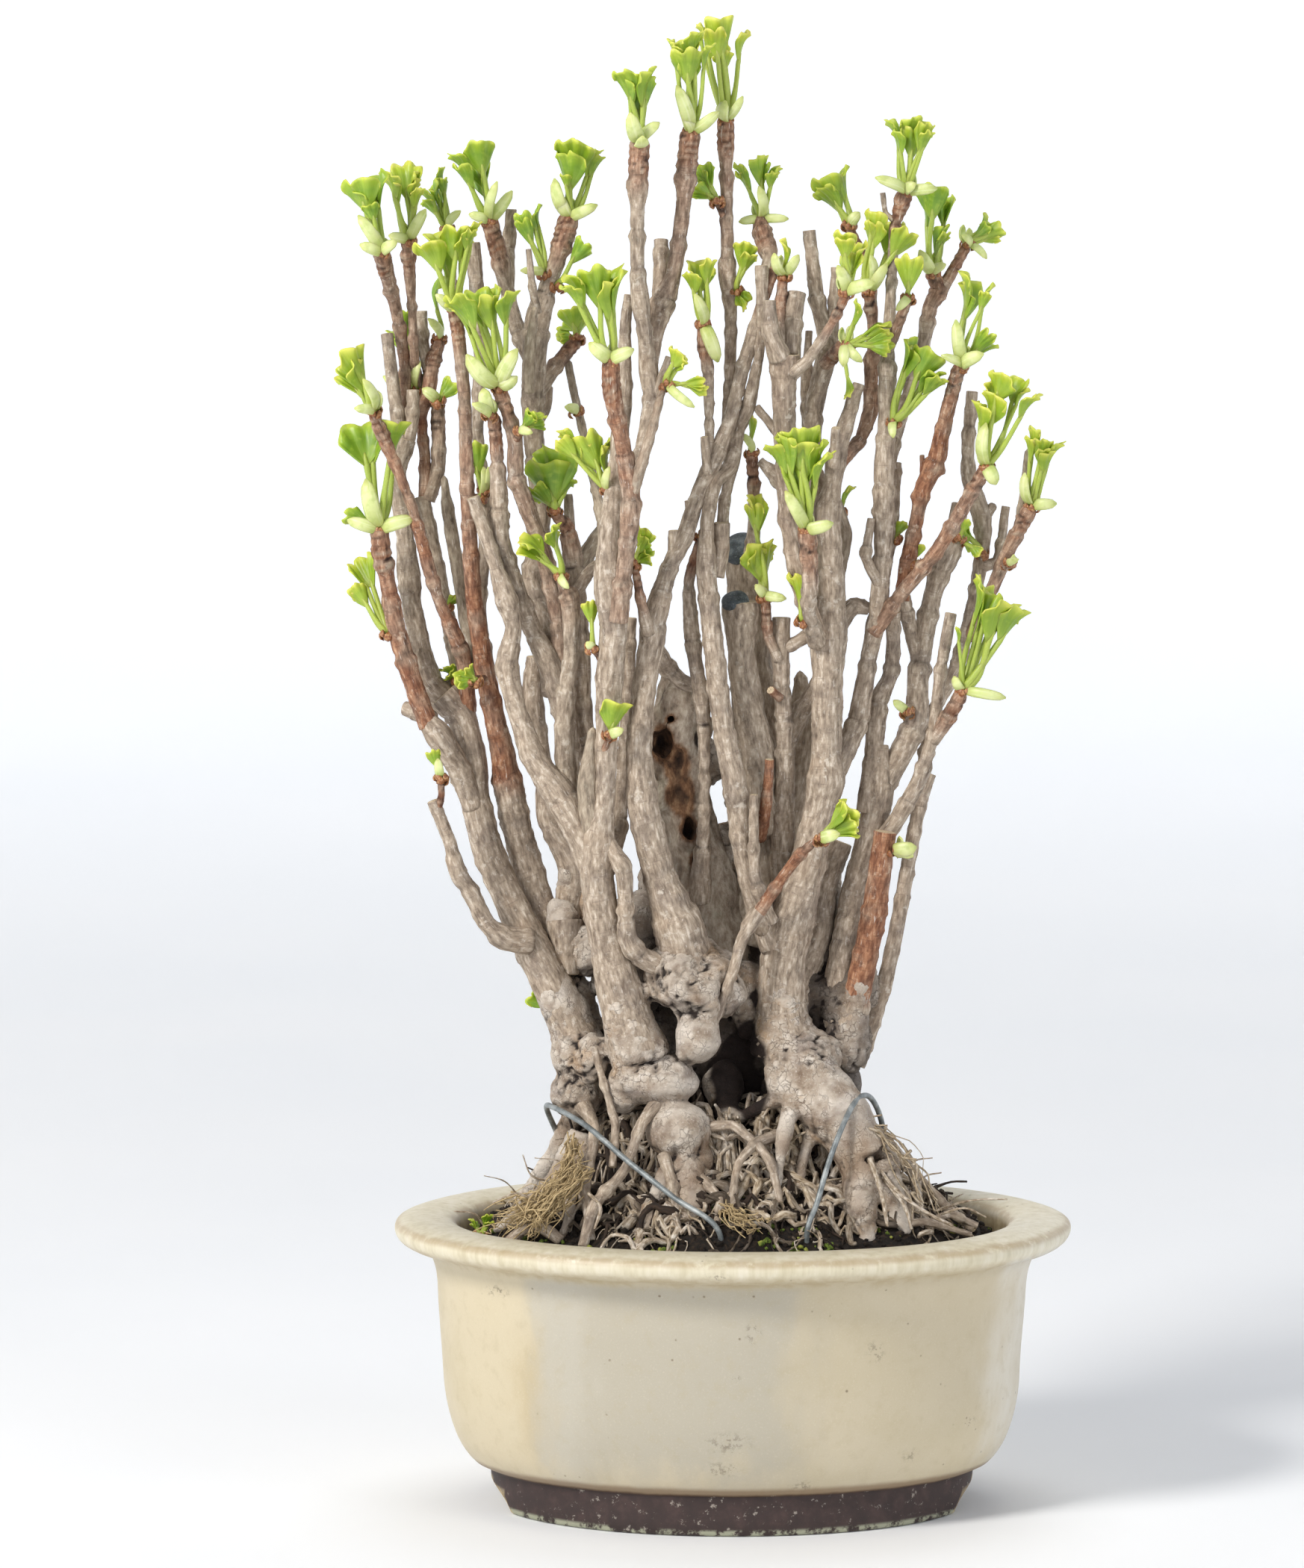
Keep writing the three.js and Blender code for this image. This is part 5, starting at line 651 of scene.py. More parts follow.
def lid_faces(rows, columns):
    """Triangles from a grid's first and last row to the two points that follow the grid."""
    turn = np.arange(columns)
    after = (turn + 1) % columns
    last = (rows - 1) * columns
    middle = np.full(columns, rows * columns)
    return np.column_stack((middle, after, turn)), np.column_stack((middle + 1, last + turn, last + after))


def loose(mesh):
    """An object for a mesh that modifiers are to work on."""
    thing = bpy.data.objects.new("scratch", mesh)
    bpy.context.scene.collection.objects.link(thing)
    return thing


def run_together(thing, voxel):
    """Joins what an object's mesh holds into one skin, with faces of that size."""
    remesh = thing.modifiers.new("run together", "REMESH")
    remesh.mode, remesh.voxel_size = "VOXEL", voxel


def cut_away(thing, cutter):
    """Takes one object's shape out of another's."""
    cut = thing.modifiers.new("cut", "BOOLEAN")
    cut.operation, cut.object, cut.solver = "DIFFERENCE", cutter, "EXACT"


def evaluated(thing):
    """A mesh object's result with its modifiers, the object itself taken away."""
    graph = bpy.context.evaluated_depsgraph_get()
    mesh = bpy.data.meshes.new_from_object(thing.evaluated_get(graph))
    bpy.data.objects.remove(thing)
    return mesh


def vectors(items, key):
    """What every item of a mesh's list holds under that key, as rows of three."""
    flat = np.empty(len(items) * 3, np.float32)
    items.foreach_get(key, flat)
    return flat.reshape(-1, 3).astype(float)


def hollowness(mesh, points, normals, rounds):
    """How far each point lies below the surface smoothed that many times, in millimetres."""
    count = len(points)
    pairs = np.empty(len(mesh.edges) * 2, np.int32)
    mesh.edges.foreach_get("vertices", pairs)
    a, b = pairs.reshape(-1, 2).T
    joined = np.bincount(a, minlength=count) + np.bincount(b, minlength=count)
    even = points
    for _ in range(rounds):
        even = np.column_stack([np.bincount(a, even[b, k], count) + np.bincount(b, even[a, k], count)
                                for k in range(3)]) / joined[:, None]
    return np.sum((even - points) * normals, axis=1) * 1000


# ---- tubes ----
def spline(rows, step, kink=0.0):
    """Rows of x, y, z, radius along the centripetal curve through the given rows; kink 1 runs straight."""
    rows = np.asarray(rows, float)
    ends = np.vstack((2 * rows[0] - rows[1], rows, 2 * rows[-1] - rows[-2]))
    out = []
    for i in range(len(rows) - 1):
        p = ends[i:i + 4, :3]
        gaps = np.sqrt(np.linalg.norm(np.diff(p, axis=0), axis=1)) + 1e-6
        knots = np.concatenate(([0], np.cumsum(gaps)))
        count = max(2, round(float(np.linalg.norm(p[2] - p[1])) / step))
        t = np.linspace(knots[1], knots[2], count, endpoint=False)[:, None]
        level = list(p)
        for low, high in ((knots[:3], knots[1:]), (knots[:2], knots[2:]), (knots[1:2], knots[2:3])):
            level = [(high[k] - t) / (high[k] - low[k]) * level[k]
                     + (t - low[k]) / (high[k] - low[k]) * level[k + 1] for k in range(len(level) - 1)]
        even = np.linspace(0, 1, count, endpoint=False)
        straight = p[1] + (p[2] - p[1]) * even[:, None]
        radius = rows[i, 3] + (rows[i + 1, 3] - rows[i, 3]) * smooth(even, 0, 1)
        out.append(np.column_stack((level[0] + (straight - level[0]) * kink, radius)))
    return np.vstack(out + [rows[-1:]])


def drawn_line(rows, step, kink=0.0):
    """The curve through rows of u, v, depth and radius in millimetres."""
    return spline([(*place(u, v, depth), radius / 1000) for u, v, depth, radius in rows], step, kink)


def length_along(path):
    """How far along a path each of its points is."""
    return np.concatenate(([0], np.cumsum(np.linalg.norm(np.diff(path, axis=0), axis=1))))


def spokes(path, sides):
    """For each point of a path, unit vectors round it, and their angles."""
    along = unit(np.gradient(path, axis=0))
    side = unit(np.cross(along[0], (0.03, 1, 0.02)))
    first = []
    for direction in along:
        side = unit(side - direction * np.dot(side, direction))
        first.append(side)
    first = np.array(first)
    second = np.cross(along, first)
    angle = circle(sides)
    return np.cos(angle)[:, None] * first[:, None] + np.sin(angle)[:, None] * second[:, None], angle


def tube(skin, path, radii, sides, tone=(0, 0, 0, 0), bottom=0.0, top=0.0):
    """A closed tube; radii holds a number for each ring, or for each ring and side."""
    out, angle = spokes(path, sides)
    rows = len(path)
    radii = np.asarray(radii, float)
    if radii.ndim == 1:
        radii = np.repeat(radii[:, None], sides, axis=1)
    length = np.repeat(length_along(path)[:, None], sides, axis=1)
    points = path[:, None] + out * radii[..., None]
    grain = np.stack((np.cos(angle) * radii, np.sin(angle) * radii, length), -1)
    along = unit(np.gradient(path, axis=0))
    caps = np.array((path[0] - along[0] * bottom, path[-1] + along[-1] * top))
    tone = np.asarray(tone, float)
    if tone.ndim == 1:
        tone = np.broadcast_to(tone, (rows, sides, 4))
    skin.add(np.vstack((points.reshape(-1, 3), caps)), (grid_faces(rows, sides), *lid_faces(rows, sides)),
             np.vstack((tone.reshape(-1, 4), tone[0, :1], tone[-1, :1])),
             np.vstack((grain.reshape(-1, 3), (0, 0, length[0, 0]), (0, 0, length[-1, 0]))))


# ---- materials ----
def tint(code):
    """A colour written as six hex digits, as the shader wants it."""
    parts = [int(code[i:i + 2], 16) / 255 for i in (0, 2, 4)]
    return (*(p / 12.92 if p < 0.04045 else ((p + 0.055) / 1.055) ** 2.4 for p in parts), 1)


class Shade:
    """One procedural material."""

    def __init__(self, name, **values):
        self.material = bpy.data.materials.new(name)
        self.material.use_nodes = True
        self.tree = self.material.node_tree
        self.shader = self.tree.nodes["Principled BSDF"]
        for socket, value in values.items():
            self.shader.inputs[socket.replace("_", " ")].default_value = value

    def node(self, kind, inputs=None, out=0, **settings):
        made = self.tree.nodes.new("ShaderNode" + kind)
        for key, value in settings.items():
            setattr(made, key, value)
        for socket, value in (inputs or {}).items():
            if isinstance(value, bpy.types.NodeSocket):
                self.tree.links.new(value, made.inputs[socket])
            else:
                made.inputs[socket].default_value = value
        return made.outputs[out] if out is not None else made

    def grain(self):
        """Metres round and along a stem, a root or a leaf."""
        return self.node("Attribute", out="Vector", attribute_name="grain")

    def tones(self):
        """The four numbers of a point's tone."""
        colour = self.node("Attribute", out="Color", attribute_name="tone")
        three = self.node("SeparateColor", {"Color": colour}, out=None).outputs
        return (*three, self.node("Attribute", out="Alpha", attribute_name="tone"))

    def place(self):
        """Metres from the middle of the pot's foot."""
        here = self.node("TexCoord", out="Object")
        return self.node("Mapping", {"Vector": here, "Location": tuple(-ORIGIN)})

    def noise(self, vector, size, detail=3, rough=0.55, scale=(1, 1, 1)):
        """Noise with lumps of that size in millimetres."""
        if scale != (1, 1, 1):
            vector = self.node("Mapping", {"Vector": vector, "Scale": scale})
        inputs = {"Vector": vector, "Scale": 1000 / size, "Detail": detail, "Roughness": rough}
        return self.node("TexNoise", inputs)

    def ramp(self, factor, *stops):
        made = self.node("ValToRGB", {"Fac": factor}, out=None)
        points = made.color_ramp.elements
        while len(points) < len(stops):
            points.new(0.5)
        for point, (position, colour) in zip(points, stops):
            point.position, point.color = position, tint(colour)
        return made.outputs[0]

    def mix(self, factor, low, high, blend="MIX"):
        low, high = (tint(colour) if isinstance(colour, str) else colour for colour in (low, high))
        return self.node("Mix", {0: factor, 6: low, 7: high}, out=2, data_type="RGBA", blend_type=blend)

    def layers(self, colour, *laid):
        """Colours over the first: each has a value, where on it the colour begins and is full, a share."""
        for value, low, high, share, top in laid:
            colour = self.mix(self.both(self.step(value, low, high), share), colour, top)
        return colour

    def math(self, operation, *values):
        return self.node("Math", dict(enumerate(values)), operation=operation)

    def total(self, *parts, start=0.0):
        """The sum of values, each times its share."""
        for value, share in parts:
            start = self.math("MULTIPLY_ADD", value, share, start)
        return start

    def step(self, value, low, high):
        """0 at low, 1 at high, smooth between."""
        limits = {"Value": value, "From Min": low, "From Max": high}
        return self.node("MapRange", limits, interpolation_type="SMOOTHSTEP")

    def both(self, first, *others):
        for other in others:
            first = self.math("MULTIPLY", first, other)
        return first

    def finish(self, colour, height=None, depth=0.3, strength=1.0, rough=None):
        """Colour, bump of that depth in millimetres, and roughness."""
        self.tree.links.new(colour, self.shader.inputs["Base Color"])
        if height is not None:
            bump = self.node("Bump", {"Height": height, "Distance": depth / 1000, "Strength": strength})
            self.tree.links.new(bump, self.shader.inputs["Normal"])
        if rough is not None:
            self.tree.links.new(rough, self.shader.inputs["Roughness"])
        return self.material


def bark_material():
    """Tone: reddish brown, dead grey, bare wood, and painted shade in furrows, fissures and hollows."""
    s = Shade("bark", Roughness=0.82)
    grain, here = s.grain(), s.place()
    reddish, dying, bare, groove_and_shade = s.tones()
    fissure = s.noise(grain, 1.3, 5, 0.58, (1, 1, 0.3))
    crack = s.noise(grain, 0.9, 3, 0.55, (1.6, 1.6, 0.16))
    ring = s.noise(grain, 1.0, 3, 0.6, (0.22, 0.22, 1.3))
    fine = s.noise(grain, 0.4, 3, 0.6, (1, 1, 0.6))
    patch = s.noise(here, 11, 4, 0.6)
    blotch = s.noise(here, 3.4, 4, 0.65)
    grey = s.layers(s.ramp(fissure, (0.24, "5f4d3e"), (0.41, "8f7f6e"), (0.56, "b09f8c"), (0.75, "ded2c2")),
                    (patch, 0.5, 0.68, 0.75, s.ramp(fissure, (0.3, "64554a"), (0.62, "958779"))),
                    (patch, 0.44, 0.32, 0.45, s.ramp(fissure, (0.3, "8a725c"), (0.62, "b8a48e"))),
                    (blotch, 0.58, 0.7, 0.5, "e3d9cb"),
                    (ring, 0.42, 0.32, 0.45, "76655a"))
    red = s.layers(s.ramp(fissure, (0.26, "4a2c1d"), (0.42, "784c35"), (0.58, "9d6e50"), (0.78, "cba585")),
                   (blotch, 0.56, 0.7, 0.55, "cdb49a"),
                   (ring, 0.45, 0.33, 0.5, "5a3828"))
    dead = s.layers(s.ramp(fissure, (0.26, "5c5146"), (0.42, "8f806e"), (0.58, "ae9f8b"), (0.78, "d0c3ae")),
                    (blotch, 0.55, 0.7, 0.5, "8b8573"))
    colour = s.mix(dying, s.mix(reddish, grey, red), dead)
    colour = s.mix(bare, colour, s.ramp(fine, (0.35, "b7a184"), (0.65, "dccbab")))
    colour = s.layers(colour, (crack, 0.34, 0.27, 0.6, "4d3c32"), (crack, 0.63, 0.73, 0.5, "ebe3d8"))
    # Painted shade: the fourth tone darkens furrows, fissures and hollows.
    colour = s.mix(s.both(s.step(groove_and_shade, 0.05, 0.8), 0.95), colour, "3c291e", "MULTIPLY")
    return s.finish(colour, s.total((fissure, 0.5), (crack, 0.45), (fine, 0.15), (ring, 0.3)), 0.42, 0.8)


def base_material():
    """Tone: painted highlight on crests and upward faces, earthy low parts, and painted shade in creases,
    hollows and undersides.
    """
    s = Shade("old_bark", Roughness=0.84)
    here = s.place()
    pale, earthy, _, groove_and_shade = s.tones()
    lumps = s.noise(here, 5, 5, 0.6)
    wrinkle = s.noise(here, 2.6, 4, 0.6, (0.35, 0.35, 1.25))
    fine = s.noise(here, 0.7, 4, 0.65)
    patch = s.noise(here, 16, 4, 0.6)
    bend = s.node("TexNoise", {"Vector": here, "Scale": 400.0, "Detail": 3.0}, out="Color")
    bend = s.node("VectorMath", {0: bend, 3: 0.0035}, operation="SCALE")
    bent = s.node("VectorMath", {0: here, 1: bend}, operation="ADD")
    flake = s.node("TexVoronoi", {"Vector": bent, "Scale": 420.0}, out="Distance", feature="DISTANCE_TO_EDGE")
    cracked = s.both(s.step(flake, 0.06, 0.01), s.step(lumps, 0.46, 0.58))
    colour = s.layers(s.ramp(lumps, (0.3, "7d6957"), (0.45, "a39280"), (0.58, "beb0a0"), (0.74, "e2d8cc")),
                      (patch, 0.52, 0.68, 0.7, s.ramp(lumps, (0.3, "7c6c61"), (0.62, "aea299"))),
                      (patch, 0.45, 0.33, 0.6, "a98863"),
                      (wrinkle, 0.42, 0.33, 0.5, "7c6655"),
                      (fine, 0.4, 0.3, 0.5, "6f5b4b"),
                      (fine, 0.58, 0.7, 0.5, "efe8df"))
    colour = s.mix(s.both(cracked, 0.6), colour, "5d4939")
    # Painted highlight: the first tone pales crests and upward faces.
    colour = s.mix(s.both(pale, 0.6), colour, "ebe2d6")
    colour = s.mix(s.both(earthy, 0.7), colour, s.ramp(lumps, (0.35, "6d5037"), (0.65, "9f8466")))
    # Painted shade: the fourth tone darkens creases, hollows and undersides.
    colour = s.mix(s.step(groove_and_shade, 0.03, 0.8), colour, "2f2018", "MULTIPLY")
    return s.finish(colour, s.total((lumps, 0.4), (fine, 0.35), (wrinkle, 0.5), (cracked, -0.25)), 1.3, 0.9)


def rotten_material():
    """Tone: rotten inside, and painted shade in creases, fissures and the hollow."""
    s = Shade("rotten_wood", Roughness=0.9)
    here = s.place()
    inside, _, _, groove_and_shade = s.tones()
    flake = s.noise(here, 2.2, 5, 0.65, (1, 1, 0.5))
    patch = s.noise(here, 9, 4, 0.6)
    fine = s.noise(here, 0.6, 3, 0.6)
    colour = s.layers(s.ramp(flake, (0.3, "6f6154"), (0.45, "9a8a79"), (0.58, "b6a896"), (0.74, "d3c8b9")),
                      (patch, 0.56, 0.68, 0.35, s.ramp(fine, (0.3, "77745f"), (0.7, "a8a48d"))))
    colour = s.mix(inside, colour, s.ramp(flake, (0.3, "3c281b"), (0.5, "7a583e"), (0.72, "ae8a68")))
    # Painted shade from the fourth tone.
    colour = s.mix(s.step(groove_and_shade, 0.05, 0.9), colour, "3b2c20", "MULTIPLY")
    return s.finish(colour, s.total((flake, 0.7), (fine, 0.3)), 1.0, 0.9)


def root_material():
    """Tone: dark and straw coloured."""
    s = Shade("root_bark", Roughness=0.85)
    dark, straws, _, _ = s.tones()
    streak = s.noise(s.grain(), 0.8, 3, 0.6, (1, 1, 0.35))
    patch = s.noise(s.place(), 5, 3)
    colour = s.layers(s.ramp(streak, (0.3, "645240"), (0.5, "aa9985"), (0.72, "e6ddd0")),
                      (patch, 0.5, 0.66, 0.7, s.ramp(streak, (0.3, "a39282"), (0.7, "f3ede4"))))
    colour = s.mix(straws, colour, s.ramp(streak, (0.3, "8b7450"), (0.6, "c7b085")))
    colour = s.mix(dark, colour, s.ramp(streak, (0.3, "140d08"), (0.7, "3f2e20")))
    return s.finish(colour, streak, 0.35, 0.8)


def soil_material():
    s = Shade("soil", Roughness=0.95)
    here = s.place()
    crumb = s.noise(here, 1.6, 5, 0.7)
    grit = s.noise(here, 4.5, 2)
    colour = s.layers(s.ramp(crumb, (0.32, "0b0806"), (0.5, "1e150d"), (0.66, "3a2b1d"), (0.82, "705e44")),
                      (grit, 0.58, 0.7, 0.35, "4c3c2b"))
    return s.finish(colour, crumb, 1.4, 1.0)


def moss_material():
    s = Shade("moss", Roughness=0.95)
    here = s.place()
    fine = s.noise(here, 0.6, 3, 0.7)
    patch = s.noise(here, 7, 2)
    colour = s.layers(s.ramp(fine, (0.3, "303c12"), (0.5, "5f7426"), (0.7, "9cac4b")),
                      (patch, 0.5, 0.65, 1, "a7a94e"))
    return s.finish(colour, fine, 0.8, 1.0)


# Scuffs on the front of the glaze: x, y, z, width and height of each, in millimetres.
SCUFFS = [(6, -88, 70, 4, 5), (-78, -60, 79, 6, 3), (46, -84, 62, 5, 6), (58, -76, 26, 5, 4),
          (22, -82, 17, 6, 4), (-4, -90, 24, 10, 5), (-2, -90, 33, 12, 6), (-6, -104, 91, 6, 2),
          (78, -56, 34, 4, 3), (0, -90, 55, 3, 2)]
SCUFF_DEPTH = 40


def glaze_material():
    """Patches, drips, a lip and a bare foot, set out in metres over the pot. Tone: the stained inside."""
    s = Shade("glaze", Coat_Weight=0.1, Coat_Roughness=0.4)
    here = s.place()
    x, y, z = s.node("SeparateXYZ", {"Vector": here}, out=None).outputs
    inner = s.tones()[0]
    cloud = s.noise(here, 30, 4, 0.55)
    mottle = s.noise(here, 5, 4, 0.6)
    fine = s.noise(here, 0.6, 3, 0.65)
    streak = s.noise(here, 3.2, 4, 0.6, (1, 1, 0.12))
    wobble = s.both(s.math("SUBTRACT", s.noise(here, 13, 4, 0.55, (1, 1, 0.45)), 0.5), 0.03)
    edge, low = s.math("ADD", x, wobble), s.math("ADD", z, wobble)
    below_lip = s.step(z, 0.0875, 0.0835)
    front = s.step(y, 0.02, -0.02)

    warm = s.mix(s.both(s.step(s.math("ABSOLUTE", x), 0.04, 0.095), 0.5), "c6baa0", "c9bb9b")
    warm = s.layers(warm, (cloud, 0.45, 0.62, 0.4, "bbad8b"))
    panel = s.both(s.step(edge, -0.072, -0.056), s.step(edge, 0.036, 0.012), front, below_lip)
    colour = s.mix(s.both(panel, s.step(low, 0.012, 0.03), 0.9), warm, "ada696")
    drip = s.both(s.step(edge, -0.078, -0.066), s.step(edge, -0.052, -0.062), front, s.step(z, 0.075, 0.05),
                  s.step(z, 0.014, 0.04))
    colour = s.mix(s.both(drip, 0.45), colour, "b5a178")
    right = s.both(s.step(edge, 0.012, 0.03), front, s.step(z, 0.02, 0.05), below_lip)
    colour = s.mix(s.both(right, 0.5), colour, "b7ab92")
    colour = s.mix(s.both(s.step(edge, 0.078, 0.1), front, 0.9), colour, "d6d1c5")
    pale = s.both(s.step(edge, -0.068, -0.058), s.step(edge, -0.040, -0.052), front, below_lip)
    colour = s.mix(s.both(pale, 0.4), colour, "bdb8ab")
    lip = s.ramp(streak, (0.3, "c6bc9f"), (0.5, "d9d1b8"), (0.75, "e8e2d2"))
    colour = s.layers(colour, (mottle, 0.5, 0.72, 0.2, "a99a78"), (fine, 0.55, 0.75, 0.25, "d8d1bc"),
                      (fine, 0.42, 0.25, 0.25, "ab9a75"), (z, 0.0885, 0.0915, 0.7, lip))

    crest = s.total((wobble, 0.05), start=z)
    line = s.both(s.step(crest, 0.0930, 0.0948), s.step(crest, 0.0964, 0.0954), s.step(mottle, 0.3, 0.5))
    colour = s.mix(s.both(line, 0.5), colour, "9c8058")
    under = s.both(s.step(z, 0.0835, 0.087), s.step(z, 0.0915, 0.0885), s.step(mottle, 0.4, 0.6))
    colour = s.mix(s.both(under, 0.4), colour, "a8936a")
    dots = s.node("TexVoronoi", {"Vector": here, "Scale": 240.0, "Randomness": 1.0}, out="Distance")
    chosen = s.step(s.noise(here, 9, 2), 0.56, 0.64)
    colour = s.mix(s.both(s.step(dots, 0.15, 0.06), chosen, 0.8), colour, "6f5f49")
    for *middle, wide, high in SCUFFS:
        near = s.node("Mapping", {"Vector": here, "Location": tuple(-at / 1000 for at in middle)})
        near = s.node("Mapping", {"Vector": near, "Scale": (1 / wide, 1 / SCUFF_DEPTH, 1 / high)})
        away = s.node("VectorMath", {"Vector": near}, out="Value", operation="LENGTH")
        mark = s.both(s.step(away, 0.001, 0.0003), s.step(s.noise(here, 2.2, 4, 0.75), 0.5, 0.6))
        colour = s.mix(s.both(mark, 0.7), colour, "5f5242")

    bare = s.step(s.total((wobble, 0.06), start=z), 0.0146, 0.0134)
    clay = s.layers(s.ramp(mottle, (0.3, "2b1d1a"), (0.5, "342522"), (0.72, "44322f")),
                    (s.noise(here, 3, 5, 0.75), 0.6, 0.68, 0.6, "b5aca0"))
    lime = s.both(s.step(z, 0.0026, 0.0012), s.step(s.noise(here, 5, 4, 0.7), 0.42, 0.55))
    colour = s.mix(bare, colour, s.mix(s.both(lime, 0.8), clay, "a9ab93"))
    foot_line = s.both(s.step(crest, 0.0175, 0.0152), s.step(crest, 0.0128, 0.0142))
    colour = s.mix(s.both(foot_line, 0.7), colour, "7d6144")
    colour = s.mix(inner, colour, s.ramp(mottle, (0.3, "8d7757"), (0.7, "c4b38d")))
    return s.finish(colour, s.total((cloud, 0.6), (fine, 0.12), (mottle, 0.25)), 0.45, 0.5,
                    s.total((mottle, 0.2), (bare, 0.25), start=0.38))


def leaf_material():
    """Tone: the way out from the base, bud scale or leaf, rust, and a chance for each leaf."""
    s = Shade("leaf", Roughness=0.42, Subsurface_Weight=0.35, Subsurface_Scale=0.0015,
              Subsurface_Radius=(0.7, 1.0, 0.25))
    grain = s.grain()
    outwards, scaly, rusty, chance = s.tones()
    vein = s.noise(grain, 0.6, 2, 0.5, (1, 0.04, 1))
    soft = s.noise(grain, 3, 3)
    young = s.ramp(outwards, (0, "aeba55"), (0.25, "9cb037"), (0.6, "93a926"), (0.8, "b3bc34"),
                   (1, "e0d968"))
    green = s.ramp(outwards, (0, "9fb04e"), (0.25, "7f9e30"), (0.6, "6b9022"), (0.84, "8eaa2e"),
                   (1, "c1ca4a"))
    fan = s.layers(s.mix(chance, young, green), (soft, 0.5, 0.75, 0.3, "c4d251"),
                   (vein, 0.5, 0.68, 0.12, "cfdc70"), (vein, 0.46, 0.3, 0.14, "648a24"))
    scale = s.layers(s.ramp(outwards, (0.0, "a9b05c"), (0.25, "bdc678"), (0.7, "d3d99c"), (1.0, "c6ca7c")),
                     (soft, 0.45, 0.7, 0.5, "a2b258"), (vein, 0.55, 0.7, 0.35, "e4e6c0"))
    papery = s.ramp(s.noise(grain, 0.7, 3), (0.3, "6b3c24"), (0.5, "96603c"), (0.72, "c79d70"))
    rust = s.step(s.total((soft, 0.12), start=rusty), 0.5, 0.62)
    return s.finish(s.mix(scaly, fan, s.mix(rust, scale, papery)), vein, 0.12, 0.4)


def metal_material():
    s = Shade("wire", Metallic=0.3)
    here = s.place()
    dull = s.noise(here, 5, 4, 0.65)
    fine = s.noise(here, 0.7, 3, 0.6)
    colour = s.layers(s.ramp(dull, (0.3, "5a6062"), (0.5, "83898a"), (0.7, "b2b6b5")),
                      (fine, 0.55, 0.75, 0.5, "5a5f60"))
    return s.finish(colour, fine, 0.12, 0.6, s.total((dull, 0.3), start=0.32))


def paste_material():
    s = Shade("paste", Roughness=0.7)
    here = s.place()
    cloud = s.noise(here, 3, 4, 0.6)
    fine = s.noise(here, 0.6, 3, 0.6)
    colour = s.layers(s.ramp(cloud, (0.3, "2e3437"), (0.5, "474f54"), (0.7, "6d767a")),
                      (fine, 0.55, 0.7, 0.35, "9aa0a0"))
    return s.finish(colour, s.total((fine, 0.4), start=cloud), 0.5, 0.8)


def screen_material():
    s = Shade("mesh", Roughness=0.6)
    fine = s.noise(s.place(), 0.8, 3)
    return s.finish(s.ramp(fine, (0.3, "1d1d1f"), (0.7, "3b3b3e")), fine, 0.1, 0.5)


BARK, OLD_BARK, ROOT_BARK, ROTTEN = bark_material(), base_material(), root_material(), rotten_material()
SOIL, MOSS, GLAZE = soil_material(), moss_material(), glaze_material()
LEAF, METAL, PASTE, SCREEN = leaf_material(), metal_material(), paste_material(), screen_material()


# ---- the pot ----
LIP, INSIDE, STEP = RIM[0] - RIM[1], MOUTH[0] - MOUTH[1], FOOT[0] - FOOT[1]
# The pot's wall from inside the foot ring over the lip down to the floor: half length, height, and how much
# less than the half length the half depth is.
WALL = [(71, 12, STEP), (71.8, 1, STEP), (72.6, 0, STEP), (79.4, 0, STEP), (80.1, 0.8, STEP),
        (81.3, 12.2, STEP + 1), (82.2, 13, LIP - 2), (86.6, 14.9, LIP), (89.8, 18.6, LIP), (91.9, 22.3, LIP),
        (93.3, 26, LIP), (94.6, 30.5, LIP), (96, 38, LIP), (97, 53, LIP), (98.1, 68, LIP), (98.6, 76, LIP),
        (99.6, 81, LIP), (101.6, 85.3, LIP), (104.5, 87.2, LIP), (109.2, 88.2, LIP), (111.8, 90, LIP),
        (113, 92.6, LIP), (112.6, 94.7, LIP), (111, 95.9, LIP), (107, 96.9, LIP), (101, 97.1, LIP - 0.5),
        (96, 96.6, INSIDE), (93, 95.3, INSIDE), (92, 93.4, INSIDE), (90.6, 70, INSIDE), (89, 45, INSIDE),
        (84, 27, INSIDE), (76, 21, INSIDE)]
POT_SIDES, CUTTER_SIDES = 160, 48


def oval_cutter(rims):
    """A solid between two ovals, to be cut from the pot."""
    solid = Skin()
    caps = (np.arange(CUTTER_SIDES)[None, ::-1], np.arange(CUTTER_SIDES, 2 * CUTTER_SIDES)[None])
    solid.add(np.array(rims).reshape(-1, 3) / 1000 + ORIGIN, (grid_faces(2, CUTTER_SIDES), *caps))
    return loose(solid.mesh("cutter"))


def pot_cutters():
    """A drain hole through the floor and an arch through the foot ring, on each side."""
    oval = np.column_stack((np.cos(circle(CUTTER_SIDES)), np.sin(circle(CUTTER_SIDES))))
    (drain_x, drain_radius), (arch_width, arch_height) = DRAIN, FOOT_ARCH
    for side in (-1, 1):
        yield oval_cutter([[(side * drain_x + drain_radius * a, drain_radius * b, FLOOR_Z + end * 30)
                            for a, b in oval] for end in (-1, 1)])
        yield oval_cutter([[(side * FOOT[0] + end * 20, arch_width / 2 * a, arch_height * b)
                            for a, b in oval] for end in (-1, 1)])


